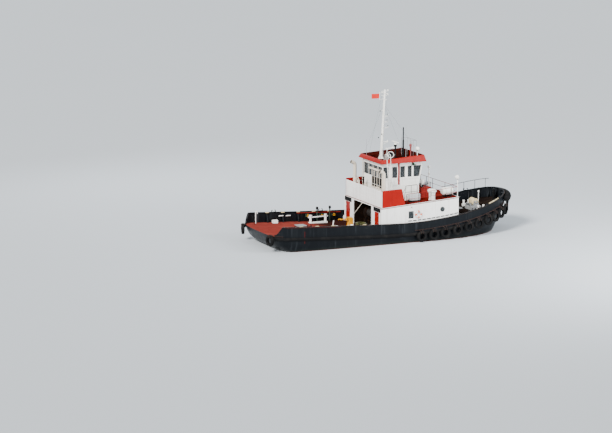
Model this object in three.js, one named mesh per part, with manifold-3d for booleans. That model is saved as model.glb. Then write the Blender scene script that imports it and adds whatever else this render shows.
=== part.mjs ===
// Harbour tug, afloat: millimetres, +X forward, +Y to port, +Z up.
// The origin is on the centreline, amidships, at the water's surface.
import * as THREE from "three";
import { mergeVertices } from "three/addons/utils/BufferGeometryUtils.js";
import Module from "manifold-3d";

const wasm = await Module();
wasm.setup();

// Driving dimensions of the hull
const GAP = 0.3; // left between solids that touch
const SLIVER = 0.08; // edges shorter than this are closed up
const STERN_X = -13150;
const STEM_X = 13050;
const HALF_BEAM = 4300;
const KEEL_Z = -3000;
const LOW_X = 400; // where the sheer is lowest
const RAIL_LOW = 1950; // rail height above water at LOW_X
const RAIL_RISE_FORE = 1900;
const RAIL_RISE_AFT = 620;
const BULWARK_HEIGHT = 1000; // rail above deck
const BULWARK_PLATE = 80;
const STERN_OPENING = 3430; // half-width of the open transom
const FORE_BULKHEAD_X = 6300;

// Driving dimensions of the house on the main deck
const HOUSE_HALF = 4140;
const HOUSE_HALF_FORE = 4070;
const HOUSE_KNUCKLE_X = 4200;
const HOUSE_WALL = 120;
const HOUSE_AFT_X = -2050;
const BAY_HALF = 1950; // half-width of the winch bay
const BAY_BACK_X = 700;
const BOAT_DECK_THICK = 100;
const BOAT_DECK_Z = 3700; // its top at BAY_BACK_X
const BOAT_DECK_SLOPE = 0.064; // rises forward

// Driving dimensions of the wheelhouse
const WH_HALF = 2150;
const WH_WALL = 80;
const WH_AFT_X = -950;
const WH_FRONT_X = 2950; // at the floor
const WH_FLOOR_Z = 5250;
const WH_TOP_Z = 7500;
const WH_LEAN = 420; // how far the front leans forward over its height
const SILL_Z = 6060;
const HEAD_Z = 7100;
const DOOR_X = [0, 640];
const ROOF_DECK_Z = 7640;
const ROOF_HALF = 2600;
const ROOF_X = [-1300, 3550];

// Driving dimensions of the running gear
const SHAFT_Y = 1700;
const SHAFT_Z = -1750;
const SHAFT_R = 100;
const PROP_X = -10400;
const PROP_R = 930;
const RUDDER_X = -11650;
const RUDDER_TOP_Z = -820;
const RUDDER_FOOT_Z = -2700;
const TRUNK_FOOT_Z = -740;

// Driving dimensions of what stands on deck
const WINCH = { x: -650, z: 2250, half: 1150, flangeR: 760, coreR: 420, shaftR: 90, plate: 90 };
const WINDLASS = { x: 10100, half: 420, flangeR: 360, coreR: 210, shaftR: 60, plate: 60, lift: 620 };
const HOOK = { x: -3600, z: 1950, pinR: 60, pinX: -3730 };
const TYRE = { ring: 400, tube: 125, drop: 400, stand: 285 };

// Level pads that other gear is fastened on: centre, half its side, and how far it stands up
const PADS = {
  afterDeck: { x: -7000, y: 0, half: 400, lift: 20 },
  boatDeck: { x: 4700, y: 2600, half: 300, lift: 20 },
  roof: { x: 2600, y: 1300, half: 250, lift: 20 },
};

// Colours and finishes
const paint = (color, roughness = 0.5, metalness = 0.1) => ({ color, roughness, metalness });
const BLACK_HULL = paint(0x17191c, 0.55);
const ANTIFOULING = paint(0x5c2a22, 0.7);
const RED = paint(0xc8291c, 0.5);
const DECK_RED = paint(0x9c2f24, 0.75);
const WHITE = paint(0xe9e8e2, 0.45);
const BUFF = paint(0xc9b78c, 0.6);
const RUBBER = paint(0x141414, 0.9, 0);
const STEEL = paint(0x6f7072, 0.45, 0.7);
const BRONZE = paint(0xa8854a, 0.35, 0.8);
const GLASS = paint(0x22303a, 0.05, 0);
const GREY = paint(0x8d8f90, 0.6);
const DARK = paint(0x2c2622, 0.7);
const YELLOW = paint(0xd9b21c, 0.5);
const OLIVE = paint(0x7d8a3a, 0.9, 0);

const tug = new THREE.Group();

/** Adds one named solid to the boat, less the slivers that cutting leaves. */
function add(name, body, finish) {
  const { vertProperties, triVerts } = body.simplify(SLIVER).getMesh();
  const geometry = new THREE.BufferGeometry();
  geometry.setAttribute("position", new THREE.BufferAttribute(vertProperties, 3));
  geometry.setIndex(new THREE.BufferAttribute(triVerts, 1));
  geometry.computeVertexNormals();
  const mesh = new THREE.Mesh(geometry, new THREE.MeshStandardMaterial({ ...finish, flatShading: true }));
  mesh.name = name;
  tug.add(mesh);
}

/** A solid from flat lists of corners and triangles, turned the right way out. */
function solidOf(positions, triangles) {
  const vertProperties = Float32Array.from(positions);
  const make = (faces) => {
    const triVerts = Uint32Array.from(faces);
    return new wasm.Manifold(new wasm.Mesh({ numProp: 3, vertProperties, triVerts }));
  };
  const body = make(triangles);
  if (body.volume() > 0) return body;
  const flipped = [];
  for (let i = 0; i < triangles.length; i += 3) {
    flipped.push(triangles[i], triangles[i + 2], triangles[i + 1]);
  }
  return make(flipped);
}

/** A solid from a closed three.js geometry. */
function solid(geometry) {
  for (const extra of ["normal", "uv"]) geometry.deleteAttribute(extra);
  const merged = mergeVertices(geometry, 0.002);
  const index = Array.from(merged.index.array);
  const triangles = [];
  for (let i = 0; i < index.length; i += 3) {
    const [a, b, c] = index.slice(i, i + 3);
    if (a !== b && b !== c && c !== a) triangles.push(a, b, c);
  }
  return solidOf(merged.attributes.position.array, triangles);
}

const join = (...bodies) => wasm.Manifold.union(bodies.flat());
const mirrorY = (body) => body.mirror([0, 1, 0]);

/** A block between two corners. */
function box(x0, x1, y0, y1, z0, z1) {
  const geometry = new THREE.BoxGeometry(x1 - x0, y1 - y0, z1 - z0);
  return solid(geometry.translate((x0 + x1) / 2, (y0 + y1) / 2, (z0 + z1) / 2));
}

/** A block centred on x and y, standing on z0. */
const post = (x, y, z0, sx, sy, height) =>
  box(x - sx / 2, x + sx / 2, y - sy / 2, y + sy / 2, z0, z0 + height);

/** A level pad whose top stands clear of a surface of the given height at its fore and aft edges. */
function pad({ x, y, half, lift }, heightAt) {
  const [aft, fore] = [heightAt(x - half), heightAt(x + half)];
  return box(x - half, x + half, y - half, y + half, Math.min(aft, fore) - lift, Math.max(aft, fore) + lift);
}

// How a drawing in a plane is turned so that it is pushed out along an axis
const ALONG = {
  x: new THREE.Matrix4().set(0, 0, 1, 0, 1, 0, 0, 0, 0, 1, 0, 0, 0, 0, 0, 1),
  y: new THREE.Matrix4().set(1, 0, 0, 0, 0, 0, -1, 0, 0, 1, 0, 0, 0, 0, 0, 1),
  z: new THREE.Matrix4(),
};

/** An outline pushed out from low to high: [y, z] points along x, [x, z] along y, [x, y] along z. */
function prism(points, axis, low, high) {
  const shape = new THREE.Shape(points.map(([u, v]) => new THREE.Vector2(u, v)));
  const geometry = new THREE.ExtrudeGeometry(shape, { depth: high - low, bevelEnabled: false });
  geometry.applyMatrix4(ALONG[axis]);
  const shift = { x: [low, 0, 0], y: [0, high, 0], z: [0, 0, low] }[axis];
  return solid(geometry.translate(...shift));
}

/** A round bar from a to b, with its radius at each end. */
function rod(a, b, r, r2 = r, sides = 8, twist = 0) {
  const from = new THREE.Vector3(...a);
  const to = new THREE.Vector3(...b);
  const geometry = new THREE.CylinderGeometry(r2, r, from.distanceTo(to), sides);
  geometry.rotateY(twist);
  const turn = new THREE.Quaternion().setFromUnitVectors(
    new THREE.Vector3(0, 1, 0),
    to.clone().sub(from).normalize(),
  );
  geometry.applyQuaternion(turn);
  const middle = from.add(to).multiplyScalar(0.5);
  return solid(geometry.translate(middle.x, middle.y, middle.z));
}

const SHAFT_SIDES = 20;
const SHAFT_TWIST = Math.PI / SHAFT_SIDES / 2; // keeps a shaft's corners off those of what it passes through

/** A shaft or pin, and the bore that it turns in, cut GAP clear of its corners at any turn. */
const shaftBar = (a, b, r) => rod(a, b, r, r, SHAFT_SIDES, SHAFT_TWIST);
function bore(a, b, r) {
  const clear = (r + GAP) / Math.cos(Math.PI / SHAFT_SIDES);
  return rod(a, b, clear, clear, SHAFT_SIDES, SHAFT_TWIST + Math.PI / SHAFT_SIDES);
}

/** A round bar along a list of points that lie near one plane, mitred at its corners. */
function bentRod(points, r, normal, sides = 6) {
  const path = points.map((p) => new THREE.Vector3(...p));
  const legs = path.slice(1).map((p, i) => p.clone().sub(path[i]).normalize());
  const rings = path.map((p, i) => {
    const [before, after] = [legs[Math.max(0, i - 1)], legs[Math.min(i, legs.length - 1)]];
    const tangent = before.clone().add(after).normalize();
    const across = tangent.clone().cross(normal).normalize();
    const up = across.clone().cross(tangent).normalize();
    const stretch = 1 / Math.max(0.3, tangent.dot(after));
    return Array.from({ length: sides }, (_, k) => {
      const turn = ((k + 0.5) / sides) * Math.PI * 2;
      const [u, v] = [r * Math.cos(turn) * stretch, r * Math.sin(turn)];
      return p.clone().addScaledVector(across, u).addScaledVector(up, v).toArray();
    });
  });
  return loft(rings);
}

/** A turned form: [radius, height] points about an upright axis at x, y. */
function turned(points, x, y, sides = 16) {
  const geometry = new THREE.LatheGeometry(points.map(([r, z]) => new THREE.Vector2(r, z)), sides);
  geometry.rotateX(Math.PI / 2);
  return solid(geometry.translate(x, y, 0));
}

/** The triangles that close a ring of corners lying near one plane, in the ring's own sense. */
function capOf(ring) {
  const normal = new THREE.Vector3();
  ring.forEach((p, i) => {
    const q = ring[(i + 1) % ring.length];
    normal.x += (p[1] - q[1]) * (p[2] + q[2]);
    normal.y += (p[2] - q[2]) * (p[0] + q[0]);
    normal.z += (p[0] - q[0]) * (p[1] + q[1]);
  });
  const size = normal.toArray().map(Math.abs);
  const drop = size.indexOf(Math.max(...size));
  const flat = ring.map((p) => new THREE.Vector2(...p.filter((_, axis) => axis !== drop)));
  const turns = THREE.ShapeUtils.area(flat) > 0;
  return THREE.ShapeUtils.triangulateShape(flat, []).map(([a, b, c]) => {
    const left = THREE.ShapeUtils.area([flat[a], flat[b], flat[c]]) > 0;
    return left === turns ? [a, b, c] : [a, c, b];
  });
}

/** A solid through a row of rings that have the same number of corners.
 *  With its own cap faces a ring is taken as alike in both its halves, and so are the facets on them. */
function loft(rings, capFaces = null) {
  const count = rings[0].length;
  const faces = [];
  for (let k = 0; k + 1 < rings.length; k += 1) {
    for (let i = 0; i < count; i += 1) {
      const j = (i + 1) % count;
      const [a, b] = [k * count + i, k * count + j];
      if (capFaces && i >= count / 2) faces.push(a, b, a + count, b, b + count, a + count);
      else faces.push(a, b, b + count, a, b + count, a + count);
    }
  }
  const last = (rings.length - 1) * count;
  (capFaces ?? capOf(rings[0])).forEach(([a, b, c]) => faces.push(a, c, b));
  (capFaces ?? capOf(rings.at(-1))).forEach(([a, b, c]) => faces.push(last + a, last + b, last + c));
  return solidOf(rings.flat(2), faces);
}

/** The rail's height above water at x. */
function railZ(x) {
  const fore = ((x - LOW_X) / (STEM_X - LOW_X)) ** 2;
  const aft = ((LOW_X - x) / (LOW_X - STERN_X)) ** 1.2;
  return RAIL_LOW + (x > LOW_X ? RAIL_RISE_FORE * fore : RAIL_RISE_AFT * aft);
}

// The bottom of the hull on its centreline: [x, z], faired between
const BOTTOM = [
  [-13400, -250], [-11400, -480], [-9600, -900], [-7600, -1800], [-5600, -2500],
  [-3400, -2700], [7600, -2700], [10200, -2450], [13400, -1500],
];

/** The height at x on a line of [x, z] points. */
function along(line, x) {
  const k = Math.max(1, line.findIndex(([px]) => px >= x));
  const [[x0, z0], [x1, z1]] = [line[k - 1], line[k]];
  return z0 + ((z1 - z0) * (x - x0)) / (x1 - x0);
}

// Level lines of the hull, from the flat of the bottom up to the deck edge.
// up: share of the way from the bottom to the deck; bowFull: 2 is an ellipse, more is bluffer
const LEVELS = [
  { up: 0.0, half: 1700, aft: -9400, fore: 8600, bowFull: 1.5 },
  { up: 0.07, half: 2950, aft: -10600, fore: 10100, bowFull: 1.6 },
  { up: 0.22, half: 3800, aft: -11900, fore: 11200, bowFull: 1.75 },
  { up: 0.45, half: 4150, aft: -12650, fore: 11950, bowFull: 1.9 },
  { up: 0.68, half: 4260, aft: -12950, fore: 12450, bowFull: 2.05 },
  { up: 0.86, half: HALF_BEAM, aft: -13100, fore: 12800, bowFull: 2.2 },
  { up: 1.0, half: HALF_BEAM, aft: STERN_X, fore: STEM_X, bowFull: 2.3 },
];
const STERN_ROUND = 1700; // length of the rounded quarter
const STERN_FULL = 3.6;
const BOW_ROUND = 8000; // length of the rounded bow
const STERN_STEPS = 6;
const SIDE_STEPS = 8;
const BOW_STEPS = 12;

/** Half a level line, stern to stem on the port side: [x, y] points. */
function halfLine({ half, aft, fore, bowFull }) {
  const points = [];
  const power = (value, n) => Math.max(0, value) ** (2 / n);
  for (let i = 0; i < STERN_STEPS; i += 1) {
    const turn = (i / STERN_STEPS) * (Math.PI / 2);
    const inward = 1 - power(Math.cos(turn), STERN_FULL);
    points.push([aft + STERN_ROUND * inward, half * power(Math.sin(turn), STERN_FULL)]);
  }
  const [x0, x1] = [aft + STERN_ROUND, fore - BOW_ROUND];
  for (let i = 0; i < SIDE_STEPS; i += 1) points.push([x0 + ((x1 - x0) * i) / SIDE_STEPS, half]);
  for (let i = 0; i <= BOW_STEPS; i += 1) {
    const turn = (i / BOW_STEPS) * (Math.PI / 2);
    const y = i === BOW_STEPS ? 0 : half * power(Math.cos(turn), bowFull);
    points.push([x1 + BOW_ROUND * power(Math.sin(turn), bowFull), y]);
  }
  return points;
}

const deckEdge = halfLine(LEVELS.at(-1));
const deckKnots = deckEdge.map(([x]) => [x, railZ(x) - BULWARK_HEIGHT]);
const deckZ = (x) => along(deckKnots, x);
const edgeY = (x) => along(deckEdge, x);

/** The deck's line from x0 to x1: [x, z] points, raised by lift. */
function deckLine(x0, x1, lift = GAP) {
  const inside = deckKnots.filter(([x]) => x > x0 && x < x1).map(([x]) => x);
  return [x0, ...inside, x1].map((x) => [x, deckZ(x) + lift]);
}

/** The hull as one closed solid up to its deck. */
function hullShape() {
  const rings = LEVELS.map((level) => {
    const half = halfLine(level);
    const point = ([x, y]) => {
      const low = along(BOTTOM, x);
      return [x, y, low + level.up * (along(deckKnots, Math.min(Math.max(x, STERN_X), STEM_X)) - low)];
    };
    const port = half.map(point);
    const starboard = half.slice(1, -1).reverse().map(([x, y]) => point([x, -y]));
    return [...port, ...starboard];
  });
  const count = rings[0].length;
  const across = (i) => (count - i) % count;
  const cap = [];
  for (let i = 0; i < count / 2; i += 1) {
    if (i > 0) cap.push([i, i + 1, across(i)]);
    if (i + 1 < count / 2) cap.push([i + 1, across(i + 1), across(i)]);
  }
  return loft(rings, cap);
}

// The outward direction of each straight stretch of the deck's edge on the port side
const edgeNormals = deckEdge.slice(1).map(([x, y], i) => {
  const [dx, dy] = [x - deckEdge[i][0], y - deckEdge[i][1]];
  return [-dy / Math.hypot(dx, dy), dx / Math.hypot(dx, dy)];
});

/** The outward direction at the deck edge's point i, as long as a mitre there needs. */
function mitreAt(i) {
  const [ax, ay] = edgeNormals[i - 1];
  const [bx, by] = edgeNormals[i] ?? [ax, -ay];
  const share = 1 + ax * bx + ay * by;
  return [(ax + bx) / share, (ay + by) / share];
}

/** Points along the deck's edge on the port side from x0 to x1, each with its outward direction. */
function edgePath(x0, x1) {
  const xs = [x0, ...deckEdge.map(([x]) => x).filter((x) => x > x0 + 1 && x < x1 - 1), x1];
  return xs.map((x) => {
    const knot = deckEdge.findIndex(([kx]) => Math.abs(kx - x) < 1);
    const [nx, ny] = knot > 0 ? mitreAt(knot) : edgeNormals[deckEdge.findIndex(([kx]) => kx > x) - 1];
    return { x, y: edgeY(x), nx, ny };
  });
}

/** The same edge round the bow, from x on the port side to x on the starboard side. */
function bowPath(x0) {
  const port = edgePath(x0, STEM_X);
  const starboard = port.slice(0, -1).map((p) => ({ ...p, y: -p.y, ny: -p.ny })).reverse();
  return [...port, ...starboard];
}

/** A bar along an edge path: section gives its corners as [outward, height above deck] at each point. */
function edgeStrip(path, section) {
  const corner = (p, out, up) => [p.x + p.nx * out, p.y + p.ny * out, deckZ(p.x) + up];
  return loft(path.map((p, i) => section(i, p).map(([out, up]) => corner(p, out, up))));
}

const CAP_HEIGHT = 60;
const CAP_OUT = 30;
const CAP_IN = 140;

/** The bulwark's section at height high: plate, with a flat rail on top. */
function bulwarkSection(high) {
  const [under, out] = [high - CAP_HEIGHT, high < BULWARK_HEIGHT ? 1 : CAP_OUT];
  return [
    [0, GAP], [0, under], [out, under], [out, high],
    [-CAP_IN, high], [-CAP_IN, under], [-BULWARK_PLATE, under], [-BULWARK_PLATE, GAP],
  ];
}

const STAY = { outer: 20 - BULWARK_PLATE, foot: 12, reach: 420, half: 12, intoCap: 5 };

/** A triangular stay inside the bulwark at the path's point p. */
function stay(p) {
  const { outer, foot, reach, half, intoCap } = STAY;
  const top = BULWARK_HEIGHT - CAP_HEIGHT + intoCap;
  const plate = prism([[outer, foot], [outer, top], [-CAP_IN, top], [-reach, foot]], "y", -half, half);
  const turn = THREE.MathUtils.radToDeg(Math.atan2(p.ny, p.nx));
  return plate.rotate([0, 0, turn]).translate([p.x, p.y, deckZ(p.x)]);
}

const STAY_SPACING = 1650;
const STAY_FIRST = 2600; // from the stern
const STAY_LAST = 300; // abaft the house
const STERN_RAMP = [170, 640]; // rail height at the first points beside the open transom

function bulwarkAft() {
  const openX = deckEdge.find(([, y]) => y > STERN_OPENING)[0];
  const path = edgePath(openX, FORE_BULKHEAD_X);
  const plate = edgeStrip(path, (i) => bulwarkSection(STERN_RAMP[i] ?? BULWARK_HEIGHT));
  const stays = [];
  for (let x = STERN_X + STAY_FIRST; x < HOUSE_AFT_X - STAY_LAST; x += STAY_SPACING) {
    stays.push(stay(edgePath(x, x + 100)[0]));
  }
  return join(plate, stays);
}

function bulwarkFore() {
  const path = bowPath(FORE_BULKHEAD_X + GAP);
  const plate = edgeStrip(path, () => bulwarkSection(BULWARK_HEIGHT));
  return join(plate, path.filter((_, i) => i % 2 === 1).map(stay));
}

const STRAKE_OUT = 150;
const STRAKE_HIGH = 320;
const STRAKE_END_X = 12000;

/** The rubbing strake along one side, with a rounded face. */
function strake() {
  const section = [
    [GAP, -STRAKE_HIGH], [STRAKE_OUT * 0.7, -STRAKE_HIGH], [STRAKE_OUT, -STRAKE_HIGH * 0.75],
    [STRAKE_OUT, -STRAKE_HIGH * 0.25], [STRAKE_OUT * 0.7, -5], [GAP, -5],
  ];
  return edgeStrip(edgePath(STERN_X + 250, STRAKE_END_X), () => section);
}

const BOW_FENDER = { fromX: 12150, r: 330, up: 600 };

/** The fat rubber fender laid round the stem. */
function bowFender() {
  const sides = 10;
  const section = Array.from({ length: sides }, (_, i) => {
    const turn = (i / sides) * Math.PI * 2;
    const out = GAP + BOW_FENDER.r + BOW_FENDER.r * Math.cos(turn);
    return [out, BOW_FENDER.up + BOW_FENDER.r * Math.sin(turn)];
  });
  return edgeStrip(bowPath(BOW_FENDER.fromX), () => section);
}

// Where tyres hang along each side
const TYRE_X = [2100, 3420, 4640, 5980, 7250, 8430, 9550, 10500, 11350, 12100, 12700];
const CHAIN_X = [1500, 12850];
const QUARTER_TYRE_X = -12950;
const CHAIN_UP = 200;
const QUARTER_CHAIN_UP = 70;
const CHAIN_R = 22;

/** A tyre hung flat against the side at the path's point p, and the short bar that it hangs by. */
function tyreAt(p, chainUp) {
  const ring = new THREE.TorusGeometry(TYRE.ring, TYRE.tube, 6, 12);
  ring.rotateY(Math.PI / 2).rotateX(Math.PI / 12);
  ring.rotateZ(Math.atan2(p.ny, p.nx));
  const z = deckZ(p.x) - TYRE.drop;
  const at = (out, up) => [p.x + p.nx * out, p.y + p.ny * out, up];
  const r = CHAIN_R * 1.2;
  const hanger = rod(at(CHAIN_R, deckZ(p.x) + chainUp), at(TYRE.stand, z + TYRE.ring), r, r, 6, 0.2);
  return join(solid(ring.translate(...at(TYRE.stand, z))), hanger);
}

/** Tyres in a row and the chain along the side that carries them. */
function tyreRow(fromX, toX, xs, chainUp) {
  const chain = Array.from({ length: 6 }, (_, i) => {
    const turn = (i / 6) * Math.PI * 2;
    return [GAP + CHAIN_R + CHAIN_R * Math.cos(turn), chainUp + CHAIN_R * Math.sin(turn)];
  });
  const points = xs.map((x) => edgePath(x, x + 50)[0]);
  return join(edgeStrip(edgePath(fromX, toX), () => chain), points.map((p) => tyreAt(p, chainUp)));
}

const hull = hullShape();
const hatches = [
  { name: "hatch_lid_aft", x: -8600, y: 0, sx: 900, sy: 900, high: 350 },
  { name: "hatch_lid_fore", x: 8300, y: 0, sx: 800, sy: 800, high: 450 },
];
const COAMING = 60;

/** An open coaming standing on the deck: a square tube that leaves the deck closed inside it. */
function coaming({ x, y, sx, sy, high }) {
  const foot = deckZ(x) - 150;
  const outer = box(x - sx / 2, x + sx / 2, y - sy / 2, y + sy / 2, foot, deckZ(x) + high);
  const inner = box(
    x - sx / 2 + COAMING, x + sx / 2 - COAMING, y - sy / 2 + COAMING, y + sy / 2 - COAMING,
    foot - 400, deckZ(x) + high + 10,
  );
  return { outer, inner };
}

/** A hatch lid that overhangs its coaming, hinged along its aft edge. */
function hatchLid({ x, y, sx, sy, high }) {
  const z = deckZ(x) + high + GAP;
  const lid = box(x - sx / 2 - 30, x + sx / 2 + 30, y - sy / 2 - 30, y + sy / 2 + 30, z, z + 50);
  const handle = box(x + sx / 2 - 120, x + sx / 2 - 90, y - 90, y + 90, z + 40, z + 90);
  return join(lid, handle);
}

function runningGear() {
  const side = hull.translate([-GAP, 0, -GAP]);
  const bracketX = PROP_X + 620;
  const on = (x) => [x, SHAFT_Y, SHAFT_Z];
  const shaft = join(
    rod(on(-5600), on(PROP_X + 250 + GAP), SHAFT_R, SHAFT_R, 14),
    rod(on(bracketX + 260), on(bracketX - 260), SHAFT_R * 1.6, SHAFT_R * 1.6, 14),
    ...[-620, 620].map((dy) =>
      prism([[-150, -45], [150, -45], [150, 45], [-150, 45]], "z", 0, 1700)
        .rotate([-Math.sign(dy) * 26, 0, 0])
        .translate([bracketX, SHAFT_Y, SHAFT_Z]),
    ),
  );
  return shaft.subtract(side).decompose().sort((a, b) => b.volume() - a.volume())[0];
}

// Blade sections from the hub out: radius, chord, pitch angle from the disc, thickness
const BLADE = [
  { r: 120, chord: 300, pitch: 58, thick: 80 },
  { r: 380, chord: 520, pitch: 42, thick: 60 },
  { r: 680, chord: 620, pitch: 31, thick: 42 },
  { r: PROP_R - 60, chord: 420, pitch: 24, thick: 30 },
  { r: PROP_R, chord: 160, pitch: 22, thick: 24 },
];
const BLADES = 4;
const BLADE_SECTIONS = 12;
// A blade's section as shares of its chord and thickness, along one face and back along the other
const BLADE_OUTLINE = [
  [-0.5, 0.15], [-0.2, 0.5], [0.2, 0.45], [0.5, 0.15],
  [0.5, -0.15], [0.2, -0.45], [-0.2, -0.5], [-0.5, -0.15],
];
const BLADE_CAP = [[0, 1, 7], [1, 6, 7], [1, 2, 6], [2, 5, 6], [2, 3, 5], [3, 4, 5]];

/** One blade standing up from the hub's centre. */
function blade() {
  const [root, tip] = [BLADE[0].r, BLADE.at(-1).r];
  const at = (key, r) => along(BLADE.map((row) => [row.r, row[key]]), r);
  const sections = Array.from({ length: BLADE_SECTIONS }, (_, i) => {
    const r = root + ((tip - root) * i) / (BLADE_SECTIONS - 1);
    const turn = THREE.MathUtils.degToRad(at("pitch", r));
    return BLADE_OUTLINE.map(([c, t]) => {
      const [u, v] = [c * at("chord", r), t * at("thick", r)];
      return [u * Math.sin(turn) + v * Math.cos(turn), u * Math.cos(turn) - v * Math.sin(turn), r];
    });
  });
  return loft(sections, BLADE_CAP);
}

function propeller() {
  const hub = join(
    rod([-250, 0, 0], [250, 0, 0], 160, 190, 16),
    rod([-480, 0, 0], [-250, 0, 0], 40, 160, 16),
  );
  const blades = Array.from({ length: BLADES }, (_, i) => blade().rotate([(i * 360) / BLADES + 45, 0, 0]));
  return join(hub, blades).translate([PROP_X, SHAFT_Y, SHAFT_Z]);
}

function rudder() {
  const face = [[370, 80], [150, 120], [-500, 60], [-900, 12]];
  const foil = [[420, 0], ...face, ...face.map(([x, y]) => [x, -y]).reverse()];
  const blade = prism(foil, "z", RUDDER_FOOT_Z, RUDDER_TOP_Z);
  const stock = rod([0, 0, RUDDER_TOP_Z - 50], [0, 0, TRUNK_FOOT_Z - GAP], 90, 90, 14);
  return join(blade, stock).translate([RUDDER_X, SHAFT_Y, 0]);
}

/** The pipe in the hull that a rudder's stock turns in. */
const rudderTrunk = () => rod([RUDDER_X, SHAFT_Y, 200], [RUDDER_X, SHAFT_Y, TRUNK_FOOT_Z], 170, 170, 14);

function skeg() {
  const outline = [
    [-11000, KEEL_Z], [8400, KEEL_Z], [9400, -2550], [9200, -2000], [-9000, 0], [-10200, 0], [-11000, -1700],
  ];
  const plate = prism(outline, "y", -170, 170).subtract(hull.translate([0, 0, -GAP]));
  return plate.decompose().sort((a, b) => b.volume() - a.volume())[0];
}

const trunks = join(rudderTrunk(), mirrorY(rudderTrunk()));
const coamings = hatches.map(coaming);

// Posts and pipes that stand on the main deck: foot x, y, radius, height, how far the head leans forward
const DECK_POSTS = [
  { x: -5210, y: 3690, r: 60, high: 1500, lean: 0 },
  { x: -3850, y: 3690, r: 60, high: 1560, lean: 0 },
  { x: -11700, y: 3760, r: 45, high: 1150, lean: 0 },
  { x: -6450, y: -2500, r: 55, high: 1150, lean: 170 },
  { x: 12350, y: 0, r: 110, high: 1150, lean: 0 },
];
const VENT_HEAD = { r: 125, high: 260, count: 2 }; // on the first posts
const DECK_ROOT = 60; // how deep a fitting's foot is let into the deck

/** One post with its foot let into the deck. */
function deckPost({ x, y, r, high, lean }, i) {
  const foot = deckZ(x);
  const pole = rod([x, y, foot - DECK_ROOT], [x + lean, y, foot + high], r, r, 10);
  if (i >= VENT_HEAD.count) return pole;
  const [low, top] = [foot + high - VENT_HEAD.high, foot + high + 10];
  return join(pole, rod([x, y, low], [x, y, top], VENT_HEAD.r, VENT_HEAD.r, 12));
}

const FORE_BITTS = { x: 10100, y: 1550, reach: 280, r: 90, high: 520, bed: 420, half: 130, plate: 60 };

/** A pair of short posts on a bed beside the windlass. */
function foreBitts({ x, y, reach, r, high, bed, half, plate }) {
  const top = deckZ(x + bed) + plate;
  const postAt = (dx) => rod([x + dx, y, top - plate], [x + dx, y, deckZ(x) + high], r, r, 12);
  const posts = [postAt(-reach), postAt(reach)];
  return join(box(x - bed, x + bed, y - half, y + half, deckZ(x - bed) - DECK_ROOT, top), posts);
}

const starboardBitts = foreBitts({ ...FORE_BITTS, y: -FORE_BITTS.y });
const fittings = [...DECK_POSTS.map(deckPost), foreBitts(FORE_BITTS), starboardBitts];
const afterPad = pad(PADS.afterDeck, deckZ);
const hullWithFittings = join(hull, trunks, afterPad, fittings, coamings.map((c) => c.outer))
  .subtract(join(coamings.map((c) => c.inner)));

add("hull", hullWithFittings, BLACK_HULL);
add("skeg", skeg(), ANTIFOULING);
const quarterTyre = tyreRow(STERN_X + 120, STERN_X + 900, [QUARTER_TYRE_X], QUARTER_CHAIN_UP);
for (const [side, place] of [["port", (body) => body], ["starboard", mirrorY]]) {
  add(`shaft_${side}`, place(runningGear()), STEEL);
  add(`propeller_${side}`, place(propeller()), BRONZE);
  add(`rudder_${side}`, place(rudder()), ANTIFOULING);
  add(`bulwark_${side}`, place(bulwarkAft()), BLACK_HULL);
  add(`rubbing_strake_${side}`, place(strake()), RUBBER);
  add(`tyres_${side}`, place(tyreRow(...CHAIN_X, TYRE_X, CHAIN_UP)), RUBBER);
  add(`quarter_tyre_${side}`, place(quarterTyre), RUBBER);
}
add("bulwark_fore", bulwarkFore(), BLACK_HULL);
add("bow_fender", bowFender(), RUBBER);
hatches.forEach((hatch) => add(hatch.name, hatchLid(hatch), GREY));

// The house on the main deck

const boatTop = (x) => BOAT_DECK_Z + BOAT_DECK_SLOPE * (x - BAY_BACK_X);
const boatUnder = (x) => boatTop(x) - BOAT_DECK_THICK;
const seatZ = (x) => boatTop(x) + GAP; // for a level foot on the sloping deck, taken at its fore edge

/** Everything between the main deck and the boat deck from x0 to x1. */
const betweenDecks = (x0, x1) =>
  prism([...deckLine(x0, x1), [x1, boatUnder(x1) - GAP], [x0, boatUnder(x0) - GAP]], "y", -5000, 5000);
const houseSpace = betweenDecks(HOUSE_AFT_X - 100, FORE_BULKHEAD_X + 100);
const wall = (plan) => prism(plan, "z", 0, 5000).intersect(houseSpace);

const HOUSE_OUT = [
  [HOUSE_AFT_X, HOUSE_HALF],
  [HOUSE_KNUCKLE_X, HOUSE_HALF],
  [FORE_BULKHEAD_X, HOUSE_HALF_FORE],
];
const houseSide = () => wall([...HOUSE_OUT, ...HOUSE_OUT.map(([x, y]) => [x, y - HOUSE_WALL]).reverse()]);

function houseFront() {
  const half = HOUSE_HALF_FORE - HOUSE_WALL - GAP;
  const x0 = FORE_BULKHEAD_X - HOUSE_WALL;
  return wall([[x0, -half], [FORE_BULKHEAD_X, -half], [FORE_BULKHEAD_X, half], [x0, half]]);
}

const BAY_DOOR = { y0: 2850, y1: 3650, low: 1250, high: 3000 };
const LOUVRE = { y0: 2550, y1: 3950, low: 3130, high: 3440, blades: 4 };

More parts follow.
